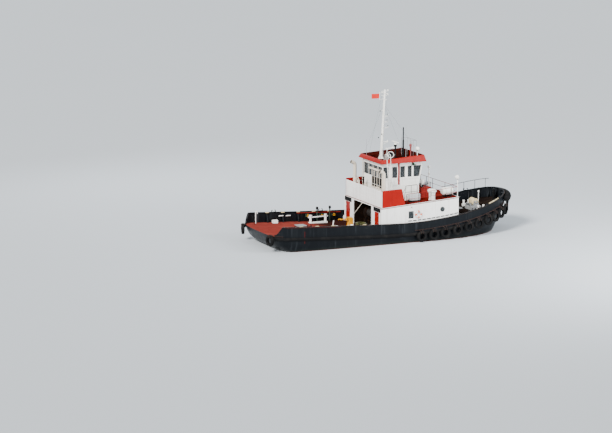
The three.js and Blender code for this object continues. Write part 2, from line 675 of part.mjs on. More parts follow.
/** The winch bay's back and inner walls and the two aft faces beside it, as one bent bulkhead. */
function bayBulkhead() {
  const outer = HOUSE_HALF - HOUSE_WALL - GAP;
  const [inside, t] = [BAY_HALF, HOUSE_WALL];
  const half = [
    [HOUSE_AFT_X, outer], [HOUSE_AFT_X, inside], [BAY_BACK_X, inside],
  ];
  const back = [
    [BAY_BACK_X + t, inside + t], [HOUSE_AFT_X + t, inside + t], [HOUSE_AFT_X + t, outer],
  ];
  const flip = (points) => points.map(([x, y]) => [x, -y]).reverse();
  const plan = [...half, ...flip(half), ...flip(back), ...back];
  let body = wall(plan);
  for (const side of [1, -1]) {
    const across = ([a, b]) => (side > 0 ? [a, b] : [-b, -a]);
    const hole = ([y0, y1], z0, z1) => box(HOUSE_AFT_X - 200, HOUSE_AFT_X + t + 100, y0, y1, z0, z1);
    body = body.subtract(hole(across([BAY_DOOR.y0, BAY_DOOR.y1]), BAY_DOOR.low, BAY_DOOR.high));
    const step = (LOUVRE.high - LOUVRE.low) / LOUVRE.blades;
    for (let i = 0; i < LOUVRE.blades; i += 1) {
      const z = LOUVRE.low + i * step;
      body = body.subtract(hole(across([LOUVRE.y0, LOUVRE.y1]), z, z + step * 0.55));
    }
  }
  return body;
}

/** A solid door leaf with its handle, flat on the after face of the house. */
function bayDoor() {
  const { y0, y1, low, high } = BAY_DOOR;
  const leaf = box(HOUSE_AFT_X - 45, HOUSE_AFT_X - GAP, y0 - 40, y1 + 40, low - 40, high + 40);
  const handle = box(HOUSE_AFT_X - 90, HOUSE_AFT_X - 40, y0 + 60, y0 + 90, 2050, 2250);
  return join(leaf, handle);
}

// Lockers on the boat deck, each with its top's height
const LOCKERS = [
  { x: [3380, 4480], y: [-1750, -50], top: 4800 },
  { x: [1380, 2560], y: [-3380, -2880], top: 4560 },
];
// The mushroom ventilator, the cowl on the fore locker and the pole forward of it
const VENT = { x: 3700, y: -3500, r: 300, capR: 430, top: 4960, capHigh: 300 };
const COWL = { x: 3630, y: -1500, r: 110, capR: 230, top: 5580, capHigh: 360 };
const POLE = { x: 4620, y: -1000, r: 40, top: 6760 };

/** A ventilator with an overhanging cap, its foot let into what it stands on at z0. */
function ventilator({ x, y, r, capR, top, capHigh }, z0) {
  const low = top - capHigh;
  const cap = [[r, low + 40], [capR, low], [capR, low + capHigh * 0.6], [capR * 0.7, top], [0, top]];
  return turned([[0, z0], [r, z0], ...cap], x, y, 16);
}

function boatDeck() {
  const [x0, x1] = [HOUSE_AFT_X, FORE_BULKHEAD_X + 40];
  const outline = [[x0, boatUnder(x0)], [x1, boatUnder(x1)], [x1, boatTop(x1)], [x0, boatTop(x0)]];
  const slab = prism(outline, "y", -5000, 5000);
  const plan = [...HOUSE_OUT, ...HOUSE_OUT.map(([x, y]) => [x, -y]).reverse()];
  const edge = plan.map(([x, y]) => [x === FORE_BULKHEAD_X ? x1 : x, y]);
  const body = [slab.intersect(prism(edge, "z", 0, 6000)), pad(PADS.boatDeck, boatTop)];
  const rootZ = (x) => boatTop(x) - DECK_ROOT;
  const lockers = LOCKERS.map(({ x: [a, b], y: [c, d], top }) => box(a, b, c, d, rootZ(a), top));
  const vents = [ventilator(VENT, rootZ(VENT.x)), ventilator(COWL, LOCKERS[0].top - DECK_ROOT)];
  const pole = rod([POLE.x, POLE.y, rootZ(POLE.x)], [POLE.x, POLE.y, POLE.top], POLE.r, POLE.r, 8);
  return join(body, lockers, vents, pole);
}

// The raised screen round the after end of the boat deck
const SCREEN = { aftX: -1900, thick: 70, lift: 6, top: 5050, sideTop: 5180, foreLow: 500, foreTop: 140 };

function screenSide() {
  const x0 = SCREEN.aftX;
  const lip = GAP;
  const outline = [
    [x0, boatTop(x0) + lip], [SCREEN.foreLow, boatTop(SCREEN.foreLow) + lip],
    [SCREEN.foreTop, SCREEN.sideTop + 60], [x0, SCREEN.sideTop],
  ];
  return prism(outline, "y", HOUSE_HALF - SCREEN.thick, HOUSE_HALF);
}

function screenAft() {
  const half = HOUSE_HALF - SCREEN.thick - GAP;
  const [x0, x1] = [SCREEN.aftX, SCREEN.aftX + SCREEN.thick];
  return box(x0, x1, -half, half, boatTop(x0) + SCREEN.lift, SCREEN.top);
}

for (const [side, place] of [["port", (body) => body], ["starboard", mirrorY]]) {
  add(`house_side_${side}`, place(houseSide()), WHITE);
  add(`bay_door_${side}`, place(bayDoor()), RED);
  add(`screen_${side}`, place(screenSide()), RED);
}
add("house_front", houseFront(), WHITE);
add("bay_bulkhead", bayBulkhead(), WHITE);
add("boat_deck", boatDeck(), DECK_RED);
add("screen_aft", screenAft(), WHITE);

// The wheelhouse

const whFront = (z) => WH_FRONT_X + (WH_LEAN * (z - WH_FLOOR_Z)) / (WH_TOP_Z - WH_FLOOR_Z);

function wheelhouseTrunk() {
  const shell = (inset, top) =>
    prism(
      [
        [WH_AFT_X + inset, boatTop(WH_AFT_X + inset) + GAP - inset * 2],
        [WH_FRONT_X - inset, boatTop(WH_FRONT_X - inset) + GAP - inset * 2],
        [WH_FRONT_X - inset, top], [WH_AFT_X + inset, top],
      ],
      "y", inset - WH_HALF, WH_HALF - inset,
    );
  return shell(0, WH_FLOOR_Z).subtract(shell(WH_WALL, WH_FLOOR_Z - WH_WALL));
}

// Side windows: [x at the aft edge, x at the fore edge]; the last one leans with the front
const SIDE_WINDOWS = [[-860, -340], [960, 1420], [1750, 2150]];
const LEANING_WINDOW_X = 2380;
const CORNER_POST = 130;
const FRONT_WINDOWS = 4;
const FRONT_POST = 110;

/** The wall's side view between two heights. */
const sideOutline = (z0, z1, inset = 0) => [
  [WH_AFT_X + inset, z0], [whFront(z0) - inset, z0], [whFront(z1) - inset, z1], [WH_AFT_X + inset, z1],
];

function wheelhouseSide() {
  const [y0, y1] = [WH_HALF - WH_WALL, WH_HALF];
  const z0 = WH_FLOOR_Z + GAP;
  let body = prism(sideOutline(z0, WH_TOP_Z), "y", y0, y1);
  const cut = (outline) => {
    body = body.subtract(prism(outline, "y", y0 - 100, y1 + 100));
  };
  SIDE_WINDOWS.forEach(([x0, x1]) => cut([[x0, SILL_Z], [x1, SILL_Z], [x1, HEAD_Z], [x0, HEAD_Z]]));
  const post = CORNER_POST;
  cut([
    [LEANING_WINDOW_X, SILL_Z], [whFront(SILL_Z) - post, SILL_Z], [whFront(HEAD_Z) - post, HEAD_Z],
    [LEANING_WINDOW_X, HEAD_Z],
  ]);
  cut([[DOOR_X[0], z0 + 60], [DOOR_X[1], z0 + 60], [DOOR_X[1], HEAD_Z + 80], [DOOR_X[0], HEAD_Z + 80]]);
  return body;
}

/** Holes across a wall between -half and half, cut from one outline seen from the side. */
function acrossHoles(outline, half, count, gap) {
  const width = (2 * half - gap * (count - 1)) / count;
  return Array.from({ length: count }, (_, i) => {
    const y0 = -half + i * (width + gap);
    return prism(outline, "y", y0, y0 + width);
  });
}

function wheelhouseFront() {
  const half = WH_HALF - WH_WALL - GAP;
  const z0 = WH_FLOOR_Z + GAP;
  const top = [whFront(WH_TOP_Z), WH_TOP_Z];
  const slab = [[whFront(z0) - WH_WALL, z0], [whFront(z0), z0], top, [top[0] - WH_WALL, WH_TOP_Z]];
  const hole = [[2000, SILL_Z], [4500, SILL_Z], [4500, HEAD_Z], [2000, HEAD_Z]];
  const holes = acrossHoles(hole, half - 60, FRONT_WINDOWS, FRONT_POST);
  return prism(slab, "y", -half, half).subtract(join(holes));
}

function wheelhouseAft() {
  const half = WH_HALF - WH_WALL - GAP;
  const slab = box(WH_AFT_X, WH_AFT_X + WH_WALL, -half, half, WH_FLOOR_Z + GAP, WH_TOP_Z);
  const hole = [[-2000, SILL_Z], [0, SILL_Z], [0, HEAD_Z], [-2000, HEAD_Z]];
  return slab.subtract(join(acrossHoles(hole, half - 60, FRONT_WINDOWS, FRONT_POST)));
}

const PANE = 16;
const PANE_LAP = 40; // how far a pane passes behind the wall round its window

/** One bent sheet of glass behind the windows: along a side, across and back along the other side. */
function glassBand(forward) {
  const out = WH_HALF - WH_WALL - GAP;
  const z0 = SILL_Z - PANE_LAP;
  const z1 = HEAD_Z + PANE_LAP;
  const ends = (z, t) =>
    forward
      ? [DOOR_X[1] + 90, whFront(z) - WH_WALL - GAP - t]
      : [WH_AFT_X + WH_WALL + GAP + t, DOOR_X[0] - 90];
  const ring = (z) => {
    const [a, b] = ends(z, 0);
    const [c, d] = ends(z, PANE);
    const inner = out - PANE;
    // open is the end beside the doors, shut the glass across, and back its inner face
    const [open, shut, back] = forward ? [a, b, d] : [b, a, c];
    return [
      [open, out, z], [shut, out, z], [shut, -out, z], [open, -out, z],
      [open, -inner, z], [back, -inner, z], [back, inner, z], [open, inner, z],
    ];
  };
  return loft([ring(z0), ring(z1)]);
}

const DOOR_THICK = 45;

/** The wheelhouse's door leaf with its window, outside the wall, hung on its after edge. */
function wheelhouseDoor() {
  const [x0, x1] = [DOOR_X[0] - 35, DOOR_X[1] + 35];
  const [y0, y1] = [WH_HALF + GAP, WH_HALF + GAP + DOOR_THICK];
  const leaf = box(x0, x1, y0, y1, WH_FLOOR_Z + 40, HEAD_Z + 110);
  const window = box(x0 + 110, x1 - 110, y0 - 50, y1 + 50, SILL_Z, HEAD_Z);
  const handle = box(x1 - 90, x1 - 60, y1 - 5, y1 + 45, SILL_Z - 250, SILL_Z - 90);
  return join(leaf.subtract(window), handle);
}

const SEARCHLIGHT = {
  x: 250, y: -1500, z: 8240, r: 330, postTop: 7860,
  ahead: 200, behind: 120, aim: [-0.6, -0.8],
};

/** The post on the roof that carries the searchlight. */
function searchlightPost() {
  const { x, y, postTop } = SEARCHLIGHT;
  return rod([x, y, ROOF_DECK_Z - 20], [x, y, postTop], 60, 60, 10);
}

const RADAR = { x: 1450, shelfZ: 8900 };

/** The pillar on the roof with the shelf that the radar's scanner turns on. */
function radarPedestal() {
  const z0 = ROOF_DECK_Z - 20;
  const profile = [
    [0, z0], [150, z0], [150, z0 + 50], [70, z0 + 80],
    [70, RADAR.shelfZ - 200], [150, RADAR.shelfZ - 180], [150, RADAR.shelfZ], [0, RADAR.shelfZ],
  ];
  return turned(profile, RADAR.x, 0, 14);
}

// Aerials and posts that stand on the roof
const ROOF_POSTS = [
  { x: 2300, y: 0, r: 75, top: 10600 },
  { x: 3100, y: 0, r: 90, top: 8900 },
  { x: 3100, y: -1500, r: 40, top: 8450 },
];
// The ladder from the boat deck to the roof on the starboard side: x of its stiles, foot, head
const ROOF_LADDER = { x: [-680, -300], footY: -3150, headY: -2560, headZ: 7780, r: 28, rungR: 16, rungs: 12 };

/** The ladder's stiles and rungs; its head is let into the roof's edge and its feet stand on the deck. */
function roofLadder() {
  const { x, footY, headY, headZ, r, rungR, rungs } = ROOF_LADDER;
  const footZ = seatZ(x[1] + r);
  const at = (share, px) => [px, footY + (headY - footY) * share, footZ + (headZ - footZ) * share];
  const stiles = x.map((px) => rod([px, footY, footZ], at(1, px), r, r, 6));
  const steps = Array.from({ length: rungs }, (_, i) => {
    const share = (i + 0.6) / (rungs + 0.8);
    return rod(at(share, x[0]), at(share, x[1]), rungR, rungR, 5, 0.2);
  });
  const level = box(x[0] - 200, x[1] + 200, footY - 200, headY, footZ - 200, footZ);
  return join(stiles, steps).subtract(level);
}

const ROOF_FASCIA = { aftTop: 7870, foreTop: 8140, inset: 170, parapet: 90, clear: 9000 };

/** The roof: a sloping fascia round a sunk deck. */
function wheelhouseRoof() {
  const [x0, x1] = ROOF_X;
  const ring = (inset, half, zAft, zFore) => {
    const [a, b] = [x0 + inset, x1 - inset];
    return [[a, -half, zAft], [b, -half, zFore], [b, half, zFore], [a, half, zAft]];
  };
  const { aftTop, foreTop, inset, parapet, clear } = ROOF_FASCIA;
  const z0 = WH_TOP_Z + GAP;
  const outer = loft([ring(0, ROOF_HALF, z0, z0), ring(inset, ROOF_HALF - inset, aftTop, foreTop)]);
  const inHalf = ROOF_HALF - inset - parapet;
  const level = (z) => ring(inset + parapet, inHalf, z, z);
  const well = loft([level(ROOF_DECK_Z), level(clear)]);
  const posts = ROOF_POSTS.map(({ x, y, r, top }) => rod([x, y, ROOF_DECK_Z - 20], [x, y, top], r, r, 8));
  const body = [outer.subtract(well), searchlightPost(), pad(PADS.roof, () => ROOF_DECK_Z)];
  return join(body, posts, radarPedestal(), roofLadder());
}

function helmConsole() {
  const z = WH_FLOOR_Z + GAP;
  const desk = [
    [WH_FRONT_X - 950, z], [WH_FRONT_X - 250, z], [WH_FRONT_X - 150, z + 850], [WH_FRONT_X - 420, z + 1000],
    [WH_FRONT_X - 950, z + 780],
  ];
  return prism(desk, "y", -1300, 1300);
}

function helmChair() {
  const z = WH_FLOOR_Z + GAP;
  return join(
    turned([[0, z], [260, z], [260, z + 40], [50, z + 60], [50, z + 520], [0, z + 520]], 1200, 0, 12),
    box(920, 1440, -260, 260, z + 500, z + 620),
    prism([[900, z + 560], [1010, z + 560], [960, z + 1250], [880, z + 1250]], "y", -240, 240),
  );
}

add("wheelhouse_trunk", wheelhouseTrunk(), WHITE);
for (const [side, place] of [["port", (body) => body], ["starboard", mirrorY]]) {
  add(`wheelhouse_side_${side}`, place(wheelhouseSide()), WHITE);
  add(`wheelhouse_door_${side}`, place(wheelhouseDoor()), WHITE);
}
add("wheelhouse_front", wheelhouseFront(), WHITE);
add("wheelhouse_aft", wheelhouseAft(), WHITE);
add("glass_forward", glassBand(true), GLASS);
add("glass_aft", glassBand(false), GLASS);
add("wheelhouse_roof", wheelhouseRoof(), RED);
add("helm_console", helmConsole(), GREY);
add("helm_chair", helmChair(), DARK);

// Mast, radar and lamps on the roof

const MAST = { x: -100, topX: 290, top: 14370, r: 150, topR: 80 };
const mastX = (z) => MAST.x + ((MAST.topX - MAST.x) * (z - ROOF_DECK_Z)) / (MAST.top - ROOF_DECK_Z);
const MAST_ARMS = [{ z: 10650, out: 520 }, { z: 11200, out: 420 }, { z: 11750, out: 420 }];
// The flag on its staff abaft the mast; its cloth waves, with this many crests
const FLAG = {
  x: -300, staffR: 20, low: 13520, high: 13980,
  long: 820, wave: 45, crests: 1.5, thick: 8, steps: 12,
};
// Yards across the mast: z, half length, radius
const YARDS = [{ z: 14000, half: 650, r: 28 }, { z: 13400, half: 420, r: 24 }];

function flag() {
  const { x, staffR, low, high, long, wave, crests, thick, steps } = FLAG;
  const line = Array.from({ length: steps + 1 }, (_, i) => {
    const share = i / steps;
    return [x - staffR - GAP - long * share, wave * share * Math.sin(share * crests * Math.PI * 2)];
  });
  const back = line.map(([px, py]) => [px, py + thick]).reverse();
  return prism([...line, ...back], "z", low, high);
}

function mast() {
  const z0 = ROOF_DECK_Z + GAP;
  const parts = [
    rod([mastX(z0), 0, z0 + 12], [MAST.topX, 0, MAST.top], MAST.r, MAST.topR, 12),
    box(mastX(z0) - 220, mastX(z0) + 220, -220, 220, z0, z0 + 30),
    ...YARDS.map(({ z, half, r }) => rod([mastX(z), -half, z], [mastX(z), half, z], r, r, 8)),
  ];
  const staff = (z) => [FLAG.x, 0, z];
  parts.push(rod(staff(FLAG.low - 150), staff(FLAG.high + 120), FLAG.staffR, FLAG.staffR, 8, 0.1));
  for (const z of [FLAG.low - 100, FLAG.high + 60]) parts.push(rod([mastX(z), 0, z], staff(z), 16, 16, 6));
  MAST_ARMS.forEach(({ z, out }) => {
    parts.push(rod([mastX(z), 0, z], [mastX(z) + out, 0, z], 26, 26, 6));
    parts.push(post(mastX(z) + out, 0, z - 30, 150, 150, 40));
    parts.push(turned([[0, z], [70, z], [70, z + 190], [0, z + 210]], mastX(z) + out, 0, 10));
  });
  return join(parts);
}

const SCANNER = { hubR: 145, hubHigh: 190, wide: 150, long: 1500, high: 140 };

/** The scanner's bar on its hub, which turns on the pedestal. */
function radarScanner() {
  const { hubR, hubHigh, wide, long, high } = SCANNER;
  const z0 = RADAR.shelfZ + GAP;
  const hub = turned([[0, z0], [hubR, z0], [hubR, z0 + hubHigh], [0, z0 + hubHigh]], RADAR.x, 0, 14);
  return join(hub, post(RADAR.x, 0, z0 + hubHigh - 10, wide, long, high));
}

/** A round lamp in a yoke that turns on its post. */
function searchlight() {
  const { x, y, z, r, postTop, ahead, behind, aim } = SEARCHLIGHT;
  const at = (reach) => [x + aim[0] * reach, y + aim[1] * reach, z];
  return join(
    rod(at(ahead), at(-behind), r, r * 0.75, 16),
    rod([x, y, postTop + GAP], [x, y, z], 55, 55, 10),
  );
}

add("mast", mast(), WHITE);
add("flag", flag(), RED);
add("radar_scanner", radarScanner(), WHITE);
add("searchlight", searchlight(), GREY);

// Fittings on the boat deck

const EXHAUST = { x: -1350, y: 3250, r: 170, top: 6800 };

function exhaust() {
  const { x, y, r, top } = EXHAUST;
  const z0 = seatZ(x + r + 70);
  return join(
    bentRod([[x, y, z0], [x, y, top], [x - 420, y, top + 170]], r, new THREE.Vector3(0, 1, 0), 12),
    rod([x, y, z0], [x, y, z0 + 500], r + 70, r + 70, 12),
  );
}

const RAIL_R = 21;
const RAIL_POST_R = 28;
const POST_TWIST = 0.37;
const RAIL_HIGH = 1000;
// Where posts of the boat deck's rail stand, aft to fore on the port side: [x, y]
const RAIL_POSTS = [
  [700, 4060], [2000, 4060], [3300, 4060], [4500, 4040],
  [5500, 4010], [6220, 3960], [6220, 2640], [6220, 1320],
];
// The lamp's pole on the rail's starboard fore corner
const CORNER_POLE = { x: 6220, y: -3960, r: 40, top: 6050 };

function boatDeckRail() {
  const port = RAIL_POSTS.map(([x, y]) => [x, y]);
  const starboard = port.map(([x, y]) => [x, -y]).reverse();
  const feet = [...port, [6220, 0], ...starboard];
  const up = new THREE.Vector3(0, 0, 1);
  const barAt = (share) => feet.map(([x, y]) => [x, y, boatTop(x) + RAIL_HIGH * share]);
  const bars = [0.5, 1].map((share) => bentRod(barAt(share), RAIL_R, up));
  const posts = feet.filter(([, y]) => y !== 0).map(([x, y]) => {
    const top = boatTop(x) + RAIL_HIGH + RAIL_R + 6;
    return rod([x, y, seatZ(x + RAIL_POST_R)], [x, y, top], RAIL_POST_R, RAIL_POST_R, 6, POST_TWIST);
  });
  const { x, y, r, top } = CORNER_POLE;
  return join(bars, posts, rod([x, y, seatZ(x + r)], [x, y, top], r, r, 10));
}

const RAFT = { x: 5520, y: -3150, half: 580, r: 390, lift: 160, feet: 300, taper: 120, endR: 0.7 };

/** The canister of the liferaft with its two cradle feet. */
function liferaft() {
  const { x, y, half, r, lift, feet, taper, endR } = RAFT;
  const z = boatTop(x) + r + lift;
  const foot = (dx) => {
    const low = seatZ(x + dx + 40);
    const sides = [[y - r * 0.8, low], [y + r * 0.8, low], [y + r * 0.6, z], [y - r * 0.6, z]];
    return prism(sides, "x", x + dx - 40, x + dx + 40);
  };
  return join(
    rod([x - half, y, z], [x - half + taper, y, z], r * endR, r, 16),
    rod([x - half + taper, y, z], [x + half - taper, y, z], r, r, 16),
    rod([x + half - taper, y, z], [x + half, y, z], r, r * endR, 16),
    foot(-feet), foot(feet),
  );
}

const DINGHY = { x: 4550, y: 900, half: 1250, beam: 620, high: 480 };

/** A small open boat, keel down in two chocks. */
function dinghy() {
  const { x, y, half, beam, high } = DINGHY;
  const z0 = boatTop(x) + 260;
  const stations = [-1, -0.5, 0, 0.45, 0.8, 0.98];
  const widths = [0.8, 0.95, 1, 0.85, 0.5, 0.1];
  const ring = (i, scale, floor) => {
    const [w, px] = [widths[i] * beam * scale, x + stations[i] * half * (scale < 1 ? 0.93 : 1)];
    const top = z0 + high + (i > 3 ? (i - 3) * 60 : 0) + (scale < 1 ? 60 : 0);
    const bilge = z0 + floor + 140;
    return [
      [px, y - w, top], [px, y - w * 0.85, bilge], [px, y, z0 + floor],
      [px, y + w * 0.85, bilge], [px, y + w, top],
    ];
  };
  const outer = loft(stations.map((_, i) => ring(i, 1, 0)));
  const inner = loft(stations.map((_, i) => ring(i, 0.88, 70)));
  const chock = (dx) => box(x + dx - 50, x + dx + 50, y - 400, y + 400, seatZ(x + dx + 50), z0 + 120);
  return join(outer.subtract(inner), chock(-700).subtract(inner), chock(600).subtract(inner));
}

for (const [side, place] of [["port", (body) => body], ["starboard", mirrorY]]) {
  add(`exhaust_${side}`, place(exhaust()), WHITE);
}
add("boat_deck_rail", boatDeckRail(), WHITE);
add("liferaft", liferaft(), WHITE);
add("dinghy", dinghy(), GREY);

// Deck machinery

/** The two cheeks and bed that carry a drum across the boat. */
function drumFrame({ x, z, half, flangeR, shaftR, plate }, bedAft, bedFore) {
  const z0 = Math.max(deckZ(x - bedAft), deckZ(x + bedFore)) + 25;
  const [foot, head, top] = [flangeR * 0.9, shaftR * 3, z + shaftR * 2.4];
  const sides = [[x - foot, z0], [x + foot, z0], [x + head, top], [x - head, top]];
  const cheek = prism(sides, "y", half + 25, half + 25 + plate);
  const reach = half + plate + 200;
  const low = deckLine(x - bedAft, x + bedFore, GAP);
  const bed = prism([...low, [x + bedFore, z0 + 110], [x - bedAft, z0 + 110]], "y", -reach, reach);
  const bearing = bore([x, -half - 300, z], [x, half + 300, z], shaftR);
  return join(bed, cheek, mirrorY(cheek)).subtract(bearing);
}

/** A drum with two flanges on a shaft across the boat. */
function drum({ x, z, half, flangeR, coreR, shaftR, plate }) {
  const bar = (y0, y1, r) => rod([x, y0, z], [x, y1, z], r, r, SHAFT_SIDES);
  return join(
    bar(-half, half, coreR), bar(-half, -half + 50, flangeR), bar(half - 50, half, flangeR),
    shaftBar([x, -half - plate - 60, z], [x, half + plate + 60, z], shaftR),
  );
}

const windlass = { ...WINDLASS, z: deckZ(WINDLASS.x) + WINDLASS.lift };

const BITTS = {
  x: -5400, y: 3050, reach: 800, r: 115, high: 780,
  bed: 950, half: 180, barZ: 560, barR: 60, barOut: 260,
};

/** A pair of mooring posts with a cross bar, on one bed along the boat. */
function bitts({ x, y, reach, r, high, bed, half, barZ, barR, barOut }) {
  const z0 = Math.max(deckZ(x - bed), deckZ(x + bed)) + 10;
  const sides = [...deckLine(x - bed, x + bed), [x + bed, z0 + 70], [x - bed, z0 + 70]];
  const postAt = (dx) => rod([x + dx, y, z0 + 20], [x + dx, y, z0 + high], r, r, 12);
  const end = (dx) => [x + dx, y, z0 + barZ];
  const bar = rod(end(-reach - barOut), end(reach + barOut), barR, barR, 10);
  return join(prism(sides, "y", y - half, y + half), postAt(-reach), postAt(reach), bar);
}

function hookPost() {
  const { x, z, pinR, pinX } = HOOK;
  const foot = deckLine(x - 500, x + 500);
  const bed = prism([...foot, [x + 500, deckZ(x) + 90], [x - 500, deckZ(x) + 90]], "y", -500, 500);
  const column = box(x + 40, x + 440, -260, 260, deckZ(x) + 60, z + 160);
  const ear = (z0, z1) => box(pinX - 100, x + 60, -120, 120, z0, z1);
  const pin = shaftBar([pinX, 0, z - 60], [pinX, 0, z + 60], pinR);
  return join(bed, column, ear(z + 55, z + 120), ear(z - 120, z - 55), pin);
}

/** The tow hook, swinging level on its pin. */
function towHook() {
  const { z, pinR, pinX: px } = HOOK;
  const eye = rod([px, 0, z - 48], [px, 0, z + 48], 130, 130, 16);
  const shank = box(px - 620, px - 60, -60, 60, z - 45, z + 45);
  const outline = [
    [-620, -60], [-560, -60], [-560, 240], [-760, 240], [-880, 120],
    [-880, 60], [-780, 60], [-720, 130], [-660, 130], [-660, 0],
  ];
  const claw = prism(outline.map(([dx, y]) => [px + dx, y]), "z", z - 45, z + 45);
  return join(eye, shank, claw).subtract(bore([px, 0, z - 90], [px, 0, z + 90], pinR));
}

const ROPE_COIL = { x: -2460, y: -550, inner: 395, outer: 575, high: 540 };

/** The outer form of a heavy rope coiled down on the deck abaft the winch, lying on the deck's slope. */
function ropeCoil({ x, y, inner, outer, high }) {
  const [aft, fore] = [deckZ(x - outer), deckZ(x + outer)];
  const tilt = THREE.MathUtils.radToDeg(Math.atan2(aft - fore, 2 * outer));
  const ring = turned([[inner, 0], [outer, 0], [outer, high], [inner, high], [inner, 0]], 0, 0, 20);
  return ring.rotate([0, tilt, 0]).translate([x, y, deckZ(x) + GAP]);
}

add("rope_coil", ropeCoil(ROPE_COIL), OLIVE);
add("winch_frame", drumFrame(WINCH, 1150, 950), DARK);
add("winch_drum", drum(WINCH), DARK);
add("windlass_frame", drumFrame(windlass, 600, 500), GREY);
add("windlass_drum", drum(windlass), BUFF);
add("bitts_port", bitts(BITTS), WHITE);
add("bitts_starboard", bitts({ ...BITTS, y: -BITTS.y }), WHITE);
add("tow_post", hookPost(), YELLOW);
add("tow_hook", towHook(), YELLOW);

export default tug;
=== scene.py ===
"""Harbour tug: the finished surfaces of the boat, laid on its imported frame, in metres.

X runs forward, Y to port and Z up; the origin is on the centreline, amidships, at the water.
"""
import math

import bmesh
import bpy
import numpy as np
from bpy.props import FloatProperty, FloatVectorProperty, IntProperty, PointerProperty
from bpy.types import Operator, Panel, PropertyGroup
from mathutils import Matrix, Vector


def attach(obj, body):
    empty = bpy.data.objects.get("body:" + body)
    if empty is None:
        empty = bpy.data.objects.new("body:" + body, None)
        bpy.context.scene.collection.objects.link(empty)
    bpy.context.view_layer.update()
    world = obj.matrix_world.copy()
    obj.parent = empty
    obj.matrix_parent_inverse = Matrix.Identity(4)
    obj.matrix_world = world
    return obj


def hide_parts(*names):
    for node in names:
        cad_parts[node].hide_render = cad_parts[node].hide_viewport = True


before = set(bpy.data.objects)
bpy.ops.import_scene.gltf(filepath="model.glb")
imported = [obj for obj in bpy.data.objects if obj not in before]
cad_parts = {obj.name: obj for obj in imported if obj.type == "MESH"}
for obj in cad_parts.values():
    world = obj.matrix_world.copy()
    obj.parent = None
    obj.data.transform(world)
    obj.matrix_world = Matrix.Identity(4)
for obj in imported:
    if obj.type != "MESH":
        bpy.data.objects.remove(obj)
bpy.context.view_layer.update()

bl_info = {
    "name": "Harbour tug",
    "version": (1, 0, 0),
    "blender": (4, 5, 0),
    "location": "3D View > Sidebar > Tug",
    "description": "Builds the surfaces, finishes and stage of a harbour tug on its packed frame",
    "category": "Add Mesh",
}

# Hull, as the frame's own
STERN_X = -13.15
STEM_X = 13.05
HALF_BEAM = 4.3
LOW_X = 0.4
RAIL_LOW = 1.95
RAIL_RISE_FORE = 1.9
RAIL_RISE_AFT = 0.62
BULWARK_HEIGHT = 1.0
STERN_ROUND = 1.7
STERN_FULL = 3.6
BOW_ROUND = 8.0
FORE_BULKHEAD_X = 6.3
HOUSE_FORE_X = FORE_BULKHEAD_X + 0.04
STERN_GATE_X = -12.852
STERN_FULL_RAIL_X = -12.25
STERN_SILL = 0.17
KEEL_Z = -3.0

# The hull's bottom on the centreline: x, z
BOTTOM = np.array([
    (-13.4, -0.25), (-11.4, -0.48), (-9.6, -0.9), (-7.6, -1.8), (-5.6, -2.5),
    (-3.4, -2.7), (7.6, -2.7), (10.2, -2.45), (13.4, -1.5),
])
# Level lines: share of the way up to the deck, half width, after end, fore end, bow fullness
LEVELS = np.array([
    (0.0, 1.7, -9.4, 8.6, 1.5),
    (0.07, 2.95, -10.6, 10.1, 1.6),
    (0.22, 3.8, -11.9, 11.2, 1.75),
    (0.45, 4.15, -12.65, 11.95, 1.9),
    (0.68, 4.26, -12.95, 12.45, 2.05),
    (0.86, 4.3, -13.1, 12.8, 2.2),
    (1.0, 4.3, -13.15, 13.05, 2.3),
])

# House and wheelhouse, as the frame's own
HOUSE_HALF = 4.14
HOUSE_HALF_FORE = 4.07
HOUSE_KNUCKLE_X = 4.2
HOUSE_AFT_X = -2.05
BAY_BACK_X = 0.7
BOAT_DECK_Z = 3.7
BOAT_DECK_SLOPE = 0.064
WH_HALF = 2.15
WH_WALL = 0.08
WH_AFT_X = -0.95
WH_FRONT_X = 2.95
WH_FLOOR_Z = 5.25
WH_TOP_Z = 7.5
WH_LEAN = 0.42
SILL_Z = 6.06
HEAD_Z = 7.1
ROOF_DECK_Z = 7.64
ROOF_HALF = 2.6
ROOF_X = (-1.3, 3.55)
SIDE_WINDOWS = ((-0.86, -0.34), (0.96, 1.42), (1.75, 2.15))
LEANING_WINDOW_X = 2.38
CORNER_POST = 0.13
FRONT_WINDOWS = 4
FRONT_POST = 0.11
BOTH_SIDES = (1, -1)
SIDE_NAME = {1: "port", -1: "starboard"}

SHAFT_Y = 1.7
SHAFT_Z = -1.75
PROP_X = -10.4
RUDDER_X = -11.65
RUDDER_Z = (-2.7, -0.82)
SKEG = [(-11, KEEL_Z), (8.4, KEEL_Z), (9.4, -2.55), (9.2, -2), (-9, 0), (-10.2, 0), (-11, -1.7)]
BLADES = 4
# Blade sections from the hub out: radius, chord, pitch, thickness
BLADE = np.array([
    (0.12, 0.3, 58, 0.08), (0.38, 0.52, 42, 0.06), (0.68, 0.62, 31, 0.042), (0.87, 0.42, 24, 0.03),
    (0.93, 0.16, 22, 0.024),
])

# The heavy rope on the after deck: its coil's x, y, outer and inner radius and height
ROPE_SIZE = 0.09
ROPE_COIL = (-2.46, -0.55, 0.575, 0.395, 0.54)

# The flag's hoist and its lowest and highest point
FLAG_X = -0.3
FLAG_Z = (13.52, 13.98)

# Hatches: x, half width of the coaming, height
HATCHES = ((-8.6, 0.45, 0.35), (8.3, 0.4, 0.45))

# Tyres: x along the sides, and at the quarters
TYRE_X = (2.1, 3.42, 4.64, 5.98, 7.25, 8.43, 9.55, 10.5, 11.35, 12.1, 12.7)
QUARTER_TYRE_X = (-12.95,)
CHAIN_X = (1.5, 12.85)
TYRE_STAND = 0.285
TYRE_DROP = 0.4
CHAIN_UP = 0.2
QUARTER_CHAIN_UP = 0.07

# Corners nearer than this are one; a seated piece stands this far off what it stands on
WELD = 2e-5
SEAT = 0.0003

